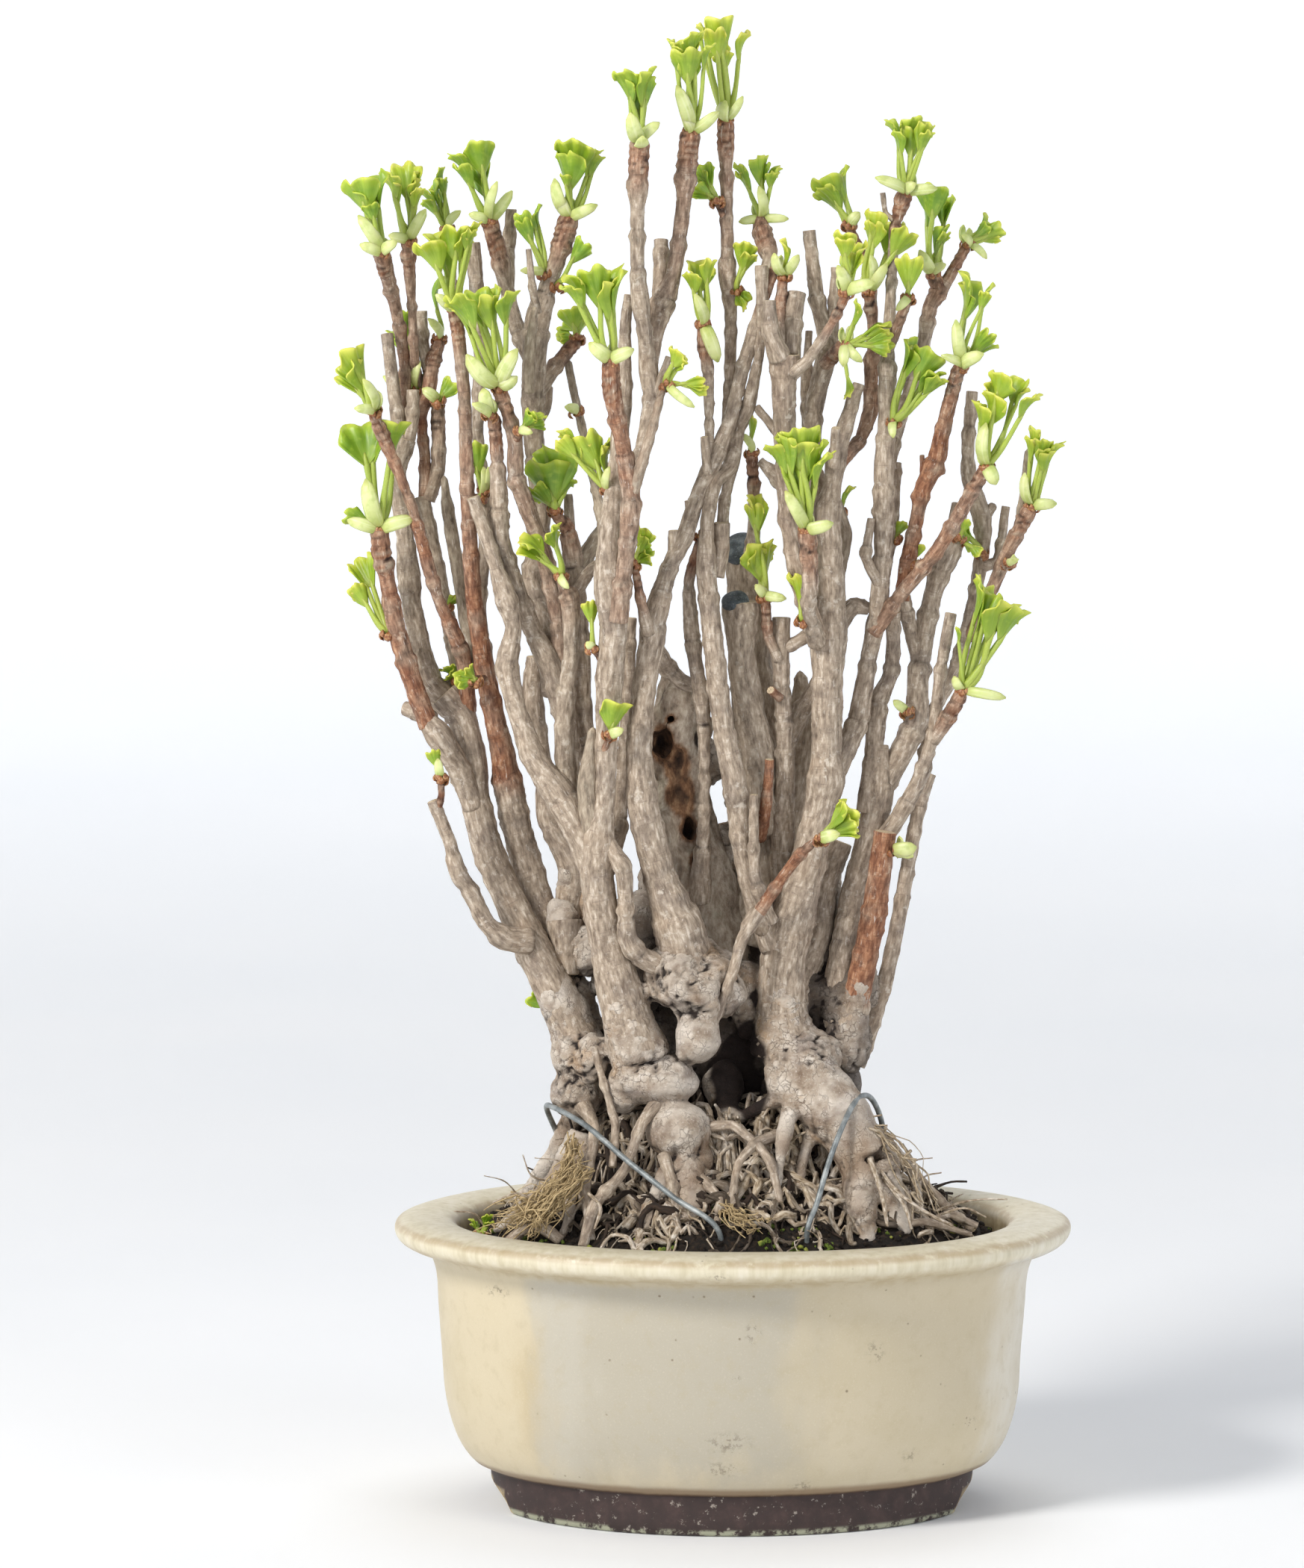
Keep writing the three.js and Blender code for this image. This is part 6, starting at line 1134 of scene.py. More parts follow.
def pot_mesh():
    """The glazed wall, slightly uneven as thrown clay is, with its holes."""
    wide, _, high, less = spline([(x, 0, z, less) for x, z, less in WALL], 2.2).T
    angle, rows = circle(POT_SIDES), len(wide)
    ring = np.stack((np.cos(angle) * wide[:, None], np.sin(angle) * (wide - less)[:, None],
                     np.repeat(high[:, None], POT_SIDES, axis=1)), -1)
    above = smooth(ring[..., 2], 14, 30)[..., None]
    uneven = (noise(ring, 60, 3) * 0.45 + noise(ring, 17, 4) * 0.16)[..., None]
    ring += unit(ring * (1, 1, 0)) * above * uneven
    ring[..., 2] += above[..., 0] * noise(ring * (1, 1, 0), 70, 5) * 0.35
    ring[..., 2] = np.maximum(ring[..., 2], 0)
    points = np.vstack((ring.reshape(-1, 3), (0, 0, FLOOR_UNDER_Z), (0, 0, FLOOR_Z))) / 1000 + ORIGIN
    tone = np.zeros((len(points), 4))
    inside = (np.arange(rows) > high.argmax()) * smooth(high, 95.5, 92)
    tone[:rows * POT_SIDES, 0] = np.repeat(inside, POT_SIDES)
    tone[-1, 0] = 1
    skin = Skin()
    skin.add(points, (grid_faces(rows, POT_SIDES), *lid_faces(rows, POT_SIDES)), tone)
    pot = loose(skin.mesh("pot_blank"))
    cutters = list(pot_cutters())
    for cutter in cutters:
        cut_away(pot, cutter)
    mesh = evaluated(pot)
    for cutter in cutters:
        bpy.data.objects.remove(cutter)
    mesh.set_sharp_from_angle(angle=math.radians(42))
    return mesh


settle(pot_mesh(), "glazed_pot", GLAZE, "glaze", "pot")


# ---- the soil and what lies on it ----
SOIL_SIDES = 168
SOIL_LOW = 45


def mound(x, y):
    """Height of the soil at x, y in millimetres."""
    share = np.clip((x / (MOUTH[0] - 2)) ** 2 + (y / (MOUTH[1] - 2)) ** 2, 0, 1)
    flat = np.stack((x, y, 0 * x), -1)
    height = SOIL_EDGE_Z + 1 + (SOIL_RISE - 1) * (1 - share) ** 0.8
    return height + (noise(flat, 11, 21) * 1.3 + noise(flat, 4, 22) * 0.8) * smooth(1 - share, 0, 0.15)


def soil_piece():
    """The soil's uneven top and its sides, as far down as the pot leaves them to be seen."""
    share = np.concatenate((np.linspace(0.02, 0.9, 40), np.linspace(0.91, 1, 8)))[:, None]
    angle = circle(SOIL_SIDES)
    x = np.cos(angle) * share * (MOUTH[0] - 1.2)
    y = np.sin(angle) * share * (MOUTH[1] - 1.2)
    top = np.stack((x, y, mound(x, y)), -1)
    top[..., 2] += noise(top, 1.7, 23) * 0.45
    sides = [top[-1] * (inset, inset, 0) + (0, 0, z)
             for inset, z in ((1.002, 80), (0.985, 60), (0.965, SOIL_LOW))]
    rings = np.concatenate((sides[::-1], top[::-1]))
    summit = mound(np.zeros(1), np.zeros(1))[0]
    points = np.vstack((rings.reshape(-1, 3), (0, 0, SOIL_LOW), (0, 0, summit)))
    skin = Skin()
    skin.add(points / 1000 + ORIGIN, (grid_faces(len(rings), SOIL_SIDES), *lid_faces(len(rings), SOIL_SIDES)))
    skin.piece("soil_mound", SOIL, "soil", "soil")


def crumbs(name, material, seed, count, largest, nearest, farthest, keep=None):
    """Small lumps over the mound, between two shares of the way to its edge."""
    draw = np.random.default_rng(seed)
    share = np.sqrt(draw.uniform(nearest ** 2, farthest ** 2, count))
    angle = draw.uniform(0, 2 * math.pi, count)
    x, y = np.cos(angle) * share * BED[0], np.sin(angle) * share * BED[1]
    skin = Skin()
    for px, py, pz in zip(x, y, mound(x, y)):
        if keep and not keep(px, py):
            continue
        size = draw.uniform(0.5, largest)
        ball = np.array(BALL) * size * draw.uniform(0.7, 1.2, (12, 1)) * (1, draw.uniform(0.7, 1), 0.8)
        turn = draw.uniform(0, 2 * math.pi)
        cos, sin = math.cos(turn), math.sin(turn)
        spin = np.array(((cos, -sin, 0), (sin, cos, 0), (0, 0, 1)))
        skin.add((ball @ spin + (px, py, pz + size * 0.35)) / 1000 + ORIGIN, (BALL_FACES,))
    skin.piece(name, material, "soil")


def mossy(x, y):
    """Moss grows in patches, though not at the back, and in one cushion on the right."""
    patch = noise(np.array((x, y, 0)), 13, 34) > 0.25 and y < 25
    return patch or math.hypot(x - 68, (y - 8) * 0.8) < 8


soil_piece()
crumbs("soil_crumbs", SOIL, seed=31, count=1900, largest=1.7, nearest=0.1, farthest=1)
crumbs("moss_cushions", MOSS, seed=33, count=1700, largest=1.5, nearest=0.5, farthest=0.99, keep=mossy)


# ---- stems ----
# How reddish brown a stem is: one share, or shares at heights.
RED = {"left_red": 0.85, "tall_brown": ((236, 0), (246, 1), (300, 0.95), (345, 0.5), (400, 0.35)),
       "left_long_twig": 0.75, "limb_inner": 0.35, "front_fork": ((330, 0.35), (372, 0.95)),
       "crown_second": ((400, 0.15), (455, 0.6)), "crown_third": ((400, 0.1), (460, 0.55)),
       "crown_centre": ((380, 0.1), (440, 0.6)), "left_high_twig": 0.55, "left_second_twig": 0.4,
       "left_pale_red": 0.7, "right_slant": 0.65, "right_red": 0.85, "right_far_branch": 0.6,
       "trunk_branch": 0.6, "low_twig": 0.9, "red_stub": 1.0, "right_brown_stub": ((168, 0), (173, 1)),
       "hook_left_twig": 0.9, "right_red_peg": 0.9, "front_left_side_twig": 0.4, "centre_right_bud": 0.7,
       "straw_rod": 0.35, "left_pale_cut": 0.25}
# How dead and pale a stem is; those with one of the words in their names are as dead as the last number.
PALE = {"dead_high": 0.45, "dead_low": 0.45, "straw_rod": 0.6, "tan_rod": 0.7, "left_pale": 0.3,
        "pale_ringed": 0.3, "trunk_flap": 0.8, "left_pale_cut": 0.3, "old_snag": 0.6}
DEAD_WORDS, DEAD = ("jin", "needle", "spike"), 0.9
BUDS = np.array([place(*base) for base, _, _ in SHOOTS.values()])
BUD_NEAR = 0.0065
# By a stem's largest radius in millimetres: how many sides it has, and how strong its joints are.
STEM_SIDES = ((6.5, 28), (4.4, 22), (2.8, 16), (1.7, 12), (0, 9))
JOINT_STRENGTH = ((9, 0.3), (4.4, 0.55), (0, 1))
JOINT_GAPS = (0.009, 0.024)
WART_GAP = 0.013
# How a stem ends: for each last ring how far ahead it lies and how wide it is, as shares of the radius, and
# how bare the wood is; then how far the point in the middle stands out.
ENDS = {"dead": ([(0.4, 0.75, 0.2), (0.9, 0.4, 0.2)], 0.3),
        "cut": ([(0.03, 0.97, 0), (0.10, 0.88, 0.9), (0.04, 0.55, 0.8), (0.02, 0.25, 0.3)], 0.02),
        "budded": ([(0.35, 0.9, 0), (0.65, 0.62, 0)], 0.2)}


def joints_along(draw, length):
    """Raised scars where twigs once ended, and the groove beyond each, for each ring of a stem."""
    found = np.zeros((len(length), 2))
    for at in np.cumsum(draw.uniform(*JOINT_GAPS, int(length[-1] / JOINT_GAPS[0]) + 1)):
        if 0.006 < at < length[-1] - 0.004:
            size = draw.uniform(0.7, 1.3)
            for column, (beyond, reach) in enumerate(((0, 0.0017), (0.0022, 0.0008))):
                bump = size * np.exp(-((length - at - beyond) / reach) ** 2)
                found[:, column] = np.maximum(found[:, column], bump)
    return found


def warts(draw, length, angle, radius):
    """Small swellings scattered over a stem, in metres."""
    swell = np.zeros((len(length), len(angle)))
    for _ in range(int(length[-1] / WART_GAP)):
        at, way = draw.uniform(0.03, 0.97) * length[-1], draw.uniform(0, 2 * math.pi)
        size = draw.uniform(0.0007, 0.0014)
        turned = np.abs((angle[None] - way + math.pi) % (2 * math.pi) - math.pi) * radius[:, None]
        swell += 0.55 * size * np.exp(-((length[:, None] - at) / size) ** 2 - (turned / size) ** 2)
    return np.minimum(swell, 0.0009)


def wood_stem(skin, name, rows, seed):
    """A stem with ridged bark, ringed tips, joints and warts."""
    draw = np.random.default_rng(900 + seed)
    line = drawn_line(rows, 0.0011, 0.45)
    path, radius = line[:, :3], line[:, 3]
    thick = radius.max() * 1000
    sides = next(count for over, count in STEM_SIDES if thick > over)
    length = length_along(path)
    total = length[-1]
    budded = np.linalg.norm(BUDS - path[-1], axis=1).min() < BUD_NEAR
    dead = PALE.get(name, DEAD if any(word in name for word in DEAD_WORDS) else 0)

    # Rings stand close at a budded tip, where the stem bulges, and in bands.
    window = np.clip(np.abs(length[:, None] - length[None]) / 0.009, 0, 1)
    average = ((1 - window) * radius).sum(1) / (1 - window).sum(1)
    bulge = np.clip((radius / average - 1.02) * 9, 0, 1)
    tip = smooth(length, total - 0.017, total - 0.006)[:, None] * budded
    band = smooth(noise(np.column_stack((length, 0 * length, 0 * length)), 0.014, 300 + seed), 0.15, 0.6)
    ringed = np.maximum(np.maximum(bulge, tip[:, 0]), band * 0.55)[:, None] * (1 - 0.7 * dead)

    out, angle = spokes(path, sides)
    along, thin = length[:, None], radius[:, None]
    skin_points = path[:, None] + out * thin[..., None]
    turning = np.stack(np.broadcast_arrays(np.cos(angle), np.sin(angle), along / 0.016), -1)
    ridge = ridges(turning * (1.9, 1.9, 1), 1, seed)
    lump = noise(skin_points, 0.0045, seed + 7)
    grit = noise(skin_points, 0.0019, seed + 17)
    wave = 0.5 + 0.5 * np.cos(2 * math.pi * along / 0.0027 + 4.5 * lump + 1.8 * grit)
    groove_and_shade = ringed * (1 - wave) ** 1.5 * np.clip(0.75 + 0.8 * grit, 0.2, 1)
    strength = next(share for over, share in JOINT_STRENGTH if thick >= over)
    joints = joints_along(draw, length) * ((1 - dead) * strength)
    raised, sunk = joints[:, :1], joints[:, 1:]
    full = thin * (1 + (0.03 + 0.16 * dead) * ridge + (0.04 + 0.06 * dead) * lump + 0.025 * grit
                   - (0.11 + 0.07 * tip) * groove_and_shade + 0.05 * ringed)
    full += (0.00035 + 0.05 * thin) * (raised * (1 + 0.7 * lump) - 0.6 * sunk)
    full += 0.00012 * grit
    full += warts(draw, length, angle, radius) * (1 if thick > 2.4 else 0.6)

    red = RED.get(name, 0)
    red = np.interp(height_of(path), *zip(*red)) if isinstance(red, tuple) else np.full(len(path), float(red))
    red = np.maximum(red, 0.8 * smooth(length, total - 0.02, total - 0.006) * budded)
    tone = np.zeros((len(path), sides, 4))
    tone[..., 0] = red[:, None] * (1 + 0.5 * lump)
    tone[..., 1] = (dead + 0.6 * tip * smooth(wave * (0.6 + lump), 0.45, 0.9)
                    + 0.5 * raised * smooth(grit, -0.2, 0.5))
    # Painted shade, in the fourth tone: ring furrows, fissure valleys, low lumps and the dips beyond joints.
    tone[..., 3] = ((0.4 + 0.2 * tip) * groove_and_shade + 0.3 * smooth(-ridge, 0.3, 1) * (0.4 + dead)
                    + 0.25 * smooth(-lump, 0.3, 1) + 0.35 * sunk * (0.6 + 0.6 * grit))
    tone = np.clip(tone, 0, 1)

    way = unit(path[-1] - path[-2])
    rings, point = ENDS["dead" if dead >= 0.5 else "cut" if not budded and total > 0.006 else "budded"]
    end, last, last_tone = path[-1], full[-1], tone[-1]
    for ahead, share, bare in rings:
        path = np.vstack((path, end + way * ahead * radius[-1]))
        full = np.vstack((full, last * share))
        ring_tone = last_tone.copy()
        # The end rings get bare wood and a little painted shade.
        ring_tone[:, 2:] = bare, 0.15
        tone = np.concatenate((tone, ring_tone[None]))
    tube(skin, path, full, sides, tone, top=radius[-1] * point)


# ---- the foot ----
# Knobbly places on the foot: u, v and reach in millimetres.
KNOBBLY = [(-14, 176, 15), (-33, 149, 6), (-24, 149, 7), (-17, 149, 5), (-36, 143, 5), (27, 151, 7),
           (15, 151, 4), (28, 187, 6), (-52, 144, 9), (-50, 131, 6), (-8, 190, 7), (-57, 160, 5)]
# Old knobs between and behind the stems: u, v, depth, half width and half height.
OLD_WOOD = [(-57, 196, 3, 5, 7), (-50, 185, 2, 6, 8), (-55, 211, 5, 4, 5), (-46, 200, 7, 6, 9),
            (-43, 216, 9, 4.5, 6), (-31, 196, 11, 9, 11), (-34, 176, 7, 9, 9), (-24, 209, 10, 7, 8),
            (-4, 197, 13, 10, 12), (2, 178, 9, 9, 10), (-2, 217, 12, 8, 9), (3, 234, 11, 5, 10),
            (14, 192, 12, 7, 10), (33, 186, 10, 7, 9), (38, 199, 9, 5, 7), (31, 211, 10, 4.5, 7),
            (26, 172, 7, 8, 8), (43, 176, 5, 5, 9), (-8, 249, 10, 6, 10), (-13, 178, -15, 12, 11),
            (-5, 174, -13, 8, 9), (-3, 140, -6, 6, 7), (-1, 131, -11, 5, 4), (4, 170, -1, 6, 12),
            (17, 206, 10, 8, 14), (29, 164, 4, 4, 6)]
# Stems that start below the first height run into the foot and stop being part of it at the second.
FOOT_STEMS, FOOT_TOP = 178, 184
SLIM_ROOT = 2.2
FOOT_VOXEL = 0.0012
# The recess between the two big roots, darkened by painted shade: middle and half sizes in millimetres.
RECESS, RECESS_HALVES = (3, -4, 143), (10, 17, 19)


def slim(rows):
    return np.mean([row[3] for row in rows]) <= SLIM_ROOT


def foot_blank():
    """Burls, old knobs, lower stems and thick roots run into one skin."""
    skin = Skin()
    for *where, wide, deep, high in BURLS:
        skin.lump(where, (wide, deep, high))
    for *where, wide, high in OLD_WOOD:
        dents = noise(ROUND_POINTS + where[0] * 0.37, 0.75, 34)
        skin.lump(where, (wide, wide, high), ROUND_POINTS * (1.06 + 0.42 * dents)[:, None])
    for rows in STEMS.values():
        if rows[0][1] < FOOT_STEMS and max(row[3] for row in rows) > 3:
            line = drawn_line(rows, 0.002, 0.45)
            line = line[height_of(line) < FOOT_TOP]
            if len(line) > 3:
                less = smooth(height_of(line), 168, FOOT_TOP) * 0.0009
                tube(skin, line[:, :3], line[:, 3] * 1.035 - less, 16)
    for rows in ROOTS.values():
        if not slim(rows):
            line = drawn_line(rows, 0.002)
            tube(skin, line[:, :3], line[:, 3] * (1.02 + 0.09 * noise(line[:, :3], 0.006, 47)), 14)
    blank = loose(skin.mesh("base_blank"))
    run_together(blank, FOOT_VOXEL)
    soften = blank.modifiers.new("soften", "SMOOTH")
    soften.factor, soften.iterations = 0.5, 4
    return evaluated(blank)


def knobbly_share(points):
    """How knobbly the foot is at each point."""
    here = points - ORIGIN
    found = np.zeros(len(points))
    for u, v, reach in KNOBBLY:
        away = np.linalg.norm((here - (place(u, v, -20) - ORIGIN)) * (1, 0.45, 1), axis=1) * 1000
        found = np.maximum(found, smooth(away, reach * 1.25, reach * 0.7))
    found = np.maximum(found, 0.8 * smooth(noise(here, 0.017, 48), 0.25, 0.5))
    for *where, wide, high in OLD_WOOD:
        away = np.linalg.norm((points - place(*where)) * 1000 / (wide, wide, high), axis=1)
        found = np.maximum(found, 0.5 * smooth(away, 1.25, 1.05))
    return found


def trunk_base():
    """The swollen foot with its knobs, plates, creases and flutes."""
    mesh = foot_blank()
    points, normals = vectors(mesh.vertices, "co"), vectors(mesh.vertex_normals, "vector")
    here = points - ORIGIN
    x, y, z = (here * 1000).T
    knobbly = knobbly_share(points)
    lumps = noise(here, 0.010, 41)
    warp = np.stack([noise(here, 0.0055, seed) for seed in (31, 32, 33)], -1)
    knob, next_knob = cells(here + 0.0021 * warp, 0.0042, 42)
    small, _ = cells(here + 0.0012 * warp, 0.0023, 38)
    coarse = 0.75 + 0.7 * noise(here, 0.008, 37)
    plate, next_plate = cells(here * (1, 1, 0.6) + 0.002 * noise(here, 0.004, 45)[:, None], 0.0065, 43)
    between = smooth(next_knob - knob, 0.3, 0.0)
    split = smooth(next_plate - plate, 0.16, 0.0) * smooth(noise(here, 0.013, 39), -0.2, 0.4)
    girdle = ridges(here * (0.35, 0.35, 1.2), 0.0045, 46)
    grit = noise(here, 0.0014, 44)
    flutes = noise(here * (1, 1, 0.28), 0.0085, 35) + 1.6 * noise(here, 0.021, 36)
    knobs = 0.0014 * coarse * (0.8 - 1.3 * knob ** 2) - 0.0003 * between + 0.0006 * (0.7 - 1.2 * small ** 2)
    shift = (0.0013 * smooth(y, 2, 20) * flutes + 0.0006 * lumps + 0.00022 * girdle + 0.00013 * grit
             + knobbly * knobs - 0.0004 * split)
    points += normals * shift[:, None]
    mesh.vertices.foreach_set("co", points.astype(np.float32).ravel())
    mesh.update()
    normals = vectors(mesh.vertex_normals, "vector")

    crease, valley = (hollowness(mesh, points, normals, rounds) for rounds in (5, 30))
    up = normals[:, 2]
    # Painted shade in creases, hollows, between knobs, in splits and on undersides.
    dark = (0.5 * smooth(crease, 0.1, 0.6) + 0.55 * smooth(valley, 0.4, 2) + 0.3 * knobbly * between
            + 0.35 * split + 0.3 * smooth(-up, 0.05, 0.7))
    # More painted shade: on the front of the low swelling, deep among the stems and in the recess.
    middle, halves = (place(*LOW_SWELLING[:3]) - ORIGIN) * 1000, LOW_SWELLING[3:]
    from_middle = np.linalg.norm((here * 1000 - middle) / halves, axis=1)
    swelling = smooth(from_middle, 1.1, 1.04) * smooth(y, 4, -4)
    inner = smooth(y, -12, 0) * smooth(y, 30, 16) * smooth(np.abs(x - 2), 60, 35) * smooth(z, 222, 186)
    recess = np.linalg.norm((here * 1000 - RECESS) / RECESS_HALVES, axis=1) + 0.4 * noise(here, 0.007, 49)
    for shadow in (0.85 * swelling, 0.6 * inner, smooth(recess, 1.3, 0.8)):
        dark = np.maximum(dark, shadow)
    # Painted highlight on crests, ridges and upward faces, less on knobbly parts.
    pale = 0.5 * smooth(-crease, 0.08, 0.4) + 0.35 * smooth(-valley, 0.3, 1.3) + 0.4 * smooth(up, 0.1, 0.8)
    pale *= (1 - 0.55 * knobbly) * smooth(noise(here, 0.006, 50), -0.6, 0.3)
    earthy = 0.85 * smooth(noise(here, 0.009, 40), -0.2, 0.6) * smooth(z, 142, 118)
    paint(mesh, np.clip(np.column_stack((pale, earthy, 0 * dark, dark)), 0, 1))
    mesh.shade_smooth()
    settle(mesh, "trunk_base", OLD_BARK, "bark", "wood")


trunk_base()
# Stems are joined into pieces by where they stand from left to right.
STRIPS = {"stems_left": -64, "stems_left_middle": -34, "stems_middle": 22, "stems_right": math.inf}
skins = {strip: Skin() for strip in STRIPS}
slim_roots = {"root " + name: rows for name, rows in {**ROOTS, **FINE_ROOTS}.items() if slim(rows)}
for seed, (name, rows) in enumerate({**STEMS, **FINE_STEMS, **slim_roots}.items()):
    if name != "hollow_wood":
        across = np.mean([row[0] for row in rows])
        wood_stem(skins[next(strip for strip, right in STRIPS.items() if across < right)], name, rows, seed)
for strip, skin in skins.items():
    skin.piece(strip, BARK, "bark", "wood")

STUMP_VOXEL = 0.0011


def hollow_trunk():
    """The dead stump behind the stems, with a ragged hollow rotted into its front."""
    line = drawn_line(STEMS["hollow_wood"], 0.0015)
    skin = Skin()
    tube(skin, line[:, :3], line[:, 3] * 1.04, 40, top=0.002)
    draw = np.random.default_rng(77)
    for _ in range(26):
        u, v, size = draw.uniform(-32, -8), draw.uniform(214, 276), draw.uniform(1.5, 3.4)
        skin.lump((u, v, 1 + draw.uniform(-2, 3)), (size, size, size * 1.4))
    stump = loose(skin.mesh("stump_blank"))
    run_together(stump, STUMP_VOXEL)
    hollows = Skin()
    for *where, wide, deep, high in CAVITIES:
        ball = ROUND_POINTS * (1 + 0.28 * noise(ROUND_POINTS + where[0], 0.5, 5))[:, None]
        hollows.lump(where, (wide, deep, high), ball)
    gouge = loose(hollows.mesh("gouge"))
    run_together(gouge, STUMP_VOXEL)
    cut_away(stump, gouge)
    mesh = evaluated(stump)
    bpy.data.objects.remove(gouge)

    points, normals = vectors(mesh.vertices, "co"), vectors(mesh.vertex_normals, "vector")
    here = points - ORIGIN
    inside = np.zeros(len(points))
    for *where, wide, deep, high in CAVITIES:
        share = (points - place(*where)) * 1000 / (wide * 1.22, deep * 1.22, high * 1.22)
        inside = np.maximum(inside, smooth(np.linalg.norm(share, axis=1), 1.12, 0.92))
    ridge = ridges(here * (1, 1, 0.4), 0.006, 91)
    flake = noise(here, 0.003, 92)
    shift = (0.0007 * ridge + 0.0005 * flake + 0.0002 * noise(here, 0.0013, 93)) * (1 - 0.5 * inside)
    points += normals * shift[:, None]
    mesh.vertices.foreach_set("co", points.astype(np.float32).ravel())
    crease = hollowness(mesh, points, normals, 12)
    # Painted shade in fissure valleys, low flakes, creases and the hollow.
    dark = (0.4 * smooth(-ridge, 0, 1) + 0.3 * smooth(-flake, 0.2, 0.9) + 0.1 * inside
            + 0.5 * smooth(crease, 0.1, 0.7))
    paint(mesh, np.column_stack((inside, 0 * dark, 0 * dark, np.clip(dark, 0, 1))))
    mesh.shade_smooth()
    settle(mesh, "hollow_trunk", ROTTEN, "bark", "wood")


hollow_trunk()


# ---- fine roots ----
def strand(skin, points, radius, tone, sides, step, end=0.45, knot=0.0):
    """A thin root or twig through points; end is its last radius as a share, knot its unevenness."""
    line = spline([(*p, r) for p, r in zip(points, np.linspace(radius, radius * end, len(points)))], step)
    swell = 1 + knot * noise(line[:, :3], 0.0035, 55)
    tube(skin, line[:, :3], line[:, 3] * swell, sides, tone, top=radius * end * 0.6)


def over_foot(x, y):
    """The height of the low swelling that the tree stands on, in millimetres."""
    u, v, depth, wide, deep, high = LOW_SWELLING
    left = 1 - ((x - u) / wide) ** 2 - ((y - depth) / deep) ** 2
    return v + high * math.sqrt(left) if left > 0 else 0


def root_tangle(name, count, seed, heights, thickness):
    """Roots that crawl over the mound from the trunk outwards, over and under each other."""
    draw = np.random.default_rng(seed)
    skin = Skin()
    for _ in range(count):
        heading = draw.uniform(0, 2 * math.pi) if draw.random() < 0.4 else draw.uniform(math.pi, 2 * math.pi)
        at = np.array((math.cos(heading), math.sin(heading))) * BED * draw.uniform(0.26, 0.8)
        way = heading + draw.normal(0, 0.9)
        radius = draw.uniform(*thickness)
        steps = draw.integers(5, 14)
        points = []
        for k in range(steps):
            share = np.hypot(*(at / BED))
            if share > 0.965:
                break
            z = max(float(mound(at[:1], at[1:])[0]), over_foot(*at))
            lift = draw.uniform(*heights) * (1.15 - share) if 0 < k < steps - 1 else -1.5
            points.append(spot(*at, z + lift + 0.4 * radius))
            way += draw.normal(0, 0.75)
            at = at + np.array((math.cos(way), math.sin(way))) * draw.uniform(2, 4.6)
        if len(points) < 3:
            continue
        tone = (smooth(draw.uniform(0.1, 1.05), 0.3, 0.9), draw.uniform(0, 0.3), 0, 0)
        strand(skin, points, radius / 1000, tone, 6 if radius > 0.8 else 5, step=0.0021, end=0.5, knot=0.3)
        for point in points[1:-1]:
            if radius > 0.6 and draw.random() < 0.35:
                side = draw.normal(0, 1, 3) * (4, 3, 2.5) / 1000
                branch = [point, point + side * 0.5 + (0, 0, 0.0008), point + side]
                strand(skin, branch, radius * 0.0005, tone, sides=5, step=0.0018, end=0.5, knot=0.3)
    skin.piece(name, ROOT_BARK, "bark")


def straw(name, seed, path, count, astray, radius=(0.16, 0.42), tone=(0, 1, 0, 0)):
    """Thin strands that follow one path loosely, about so many millimetres astray."""
    draw = np.random.default_rng(seed)
    skin = Skin()
    for _ in range(count):
        low, high = sorted(draw.uniform(0, 1, 2) * 1.3 - 0.15)
        if high - low < 0.3:
            high = low + 0.4
        aside = draw.normal(0, astray, 3)
        points = []
        for share in np.linspace(max(0, low), min(1, high), 6):
            at = np.array([np.interp(share, np.linspace(0, 1, len(path)), axis) for axis in zip(*path)])
            points.append(place(*(at + aside * (0.5 + share) + draw.normal(0, astray * 0.4, 3))))
        strand(skin, points, draw.uniform(*radius) / 1000, tone, sides=4, step=0.0026)
    skin.piece("straw_roots_" + name, ROOT_BARK, "bark")


root_tangle("fine_roots", count=270, seed=51, heights=(-1, 7), thickness=(0.3, 0.8))
root_tangle("woody_roots", count=180, seed=52, heights=(0, 12), thickness=(0.8, 1.9))
straw("left", 61, [(-49, 112, -38), (-58, 104, -44), (-67, 99, -42), (-76, 95, -36)], count=110, astray=2.6)
straw("tuft", 62, [(-53, 123, -32), (-55, 113, -38), (-61, 102, -46), (-65, 94, -48)], count=90, astray=2.0)
straw("front", 63, [(-2, 100, -48), (2, 96, -56), (8, 93, -60)], count=36, astray=1.6)
straw("right", 64, [(44, 128, -28), (52, 122, -30), (60, 112, -34), (64, 98, -44)], count=24, astray=2.6,
      radius=(0.2, 0.6), tone=(0.15, 0.4, 0, 0))

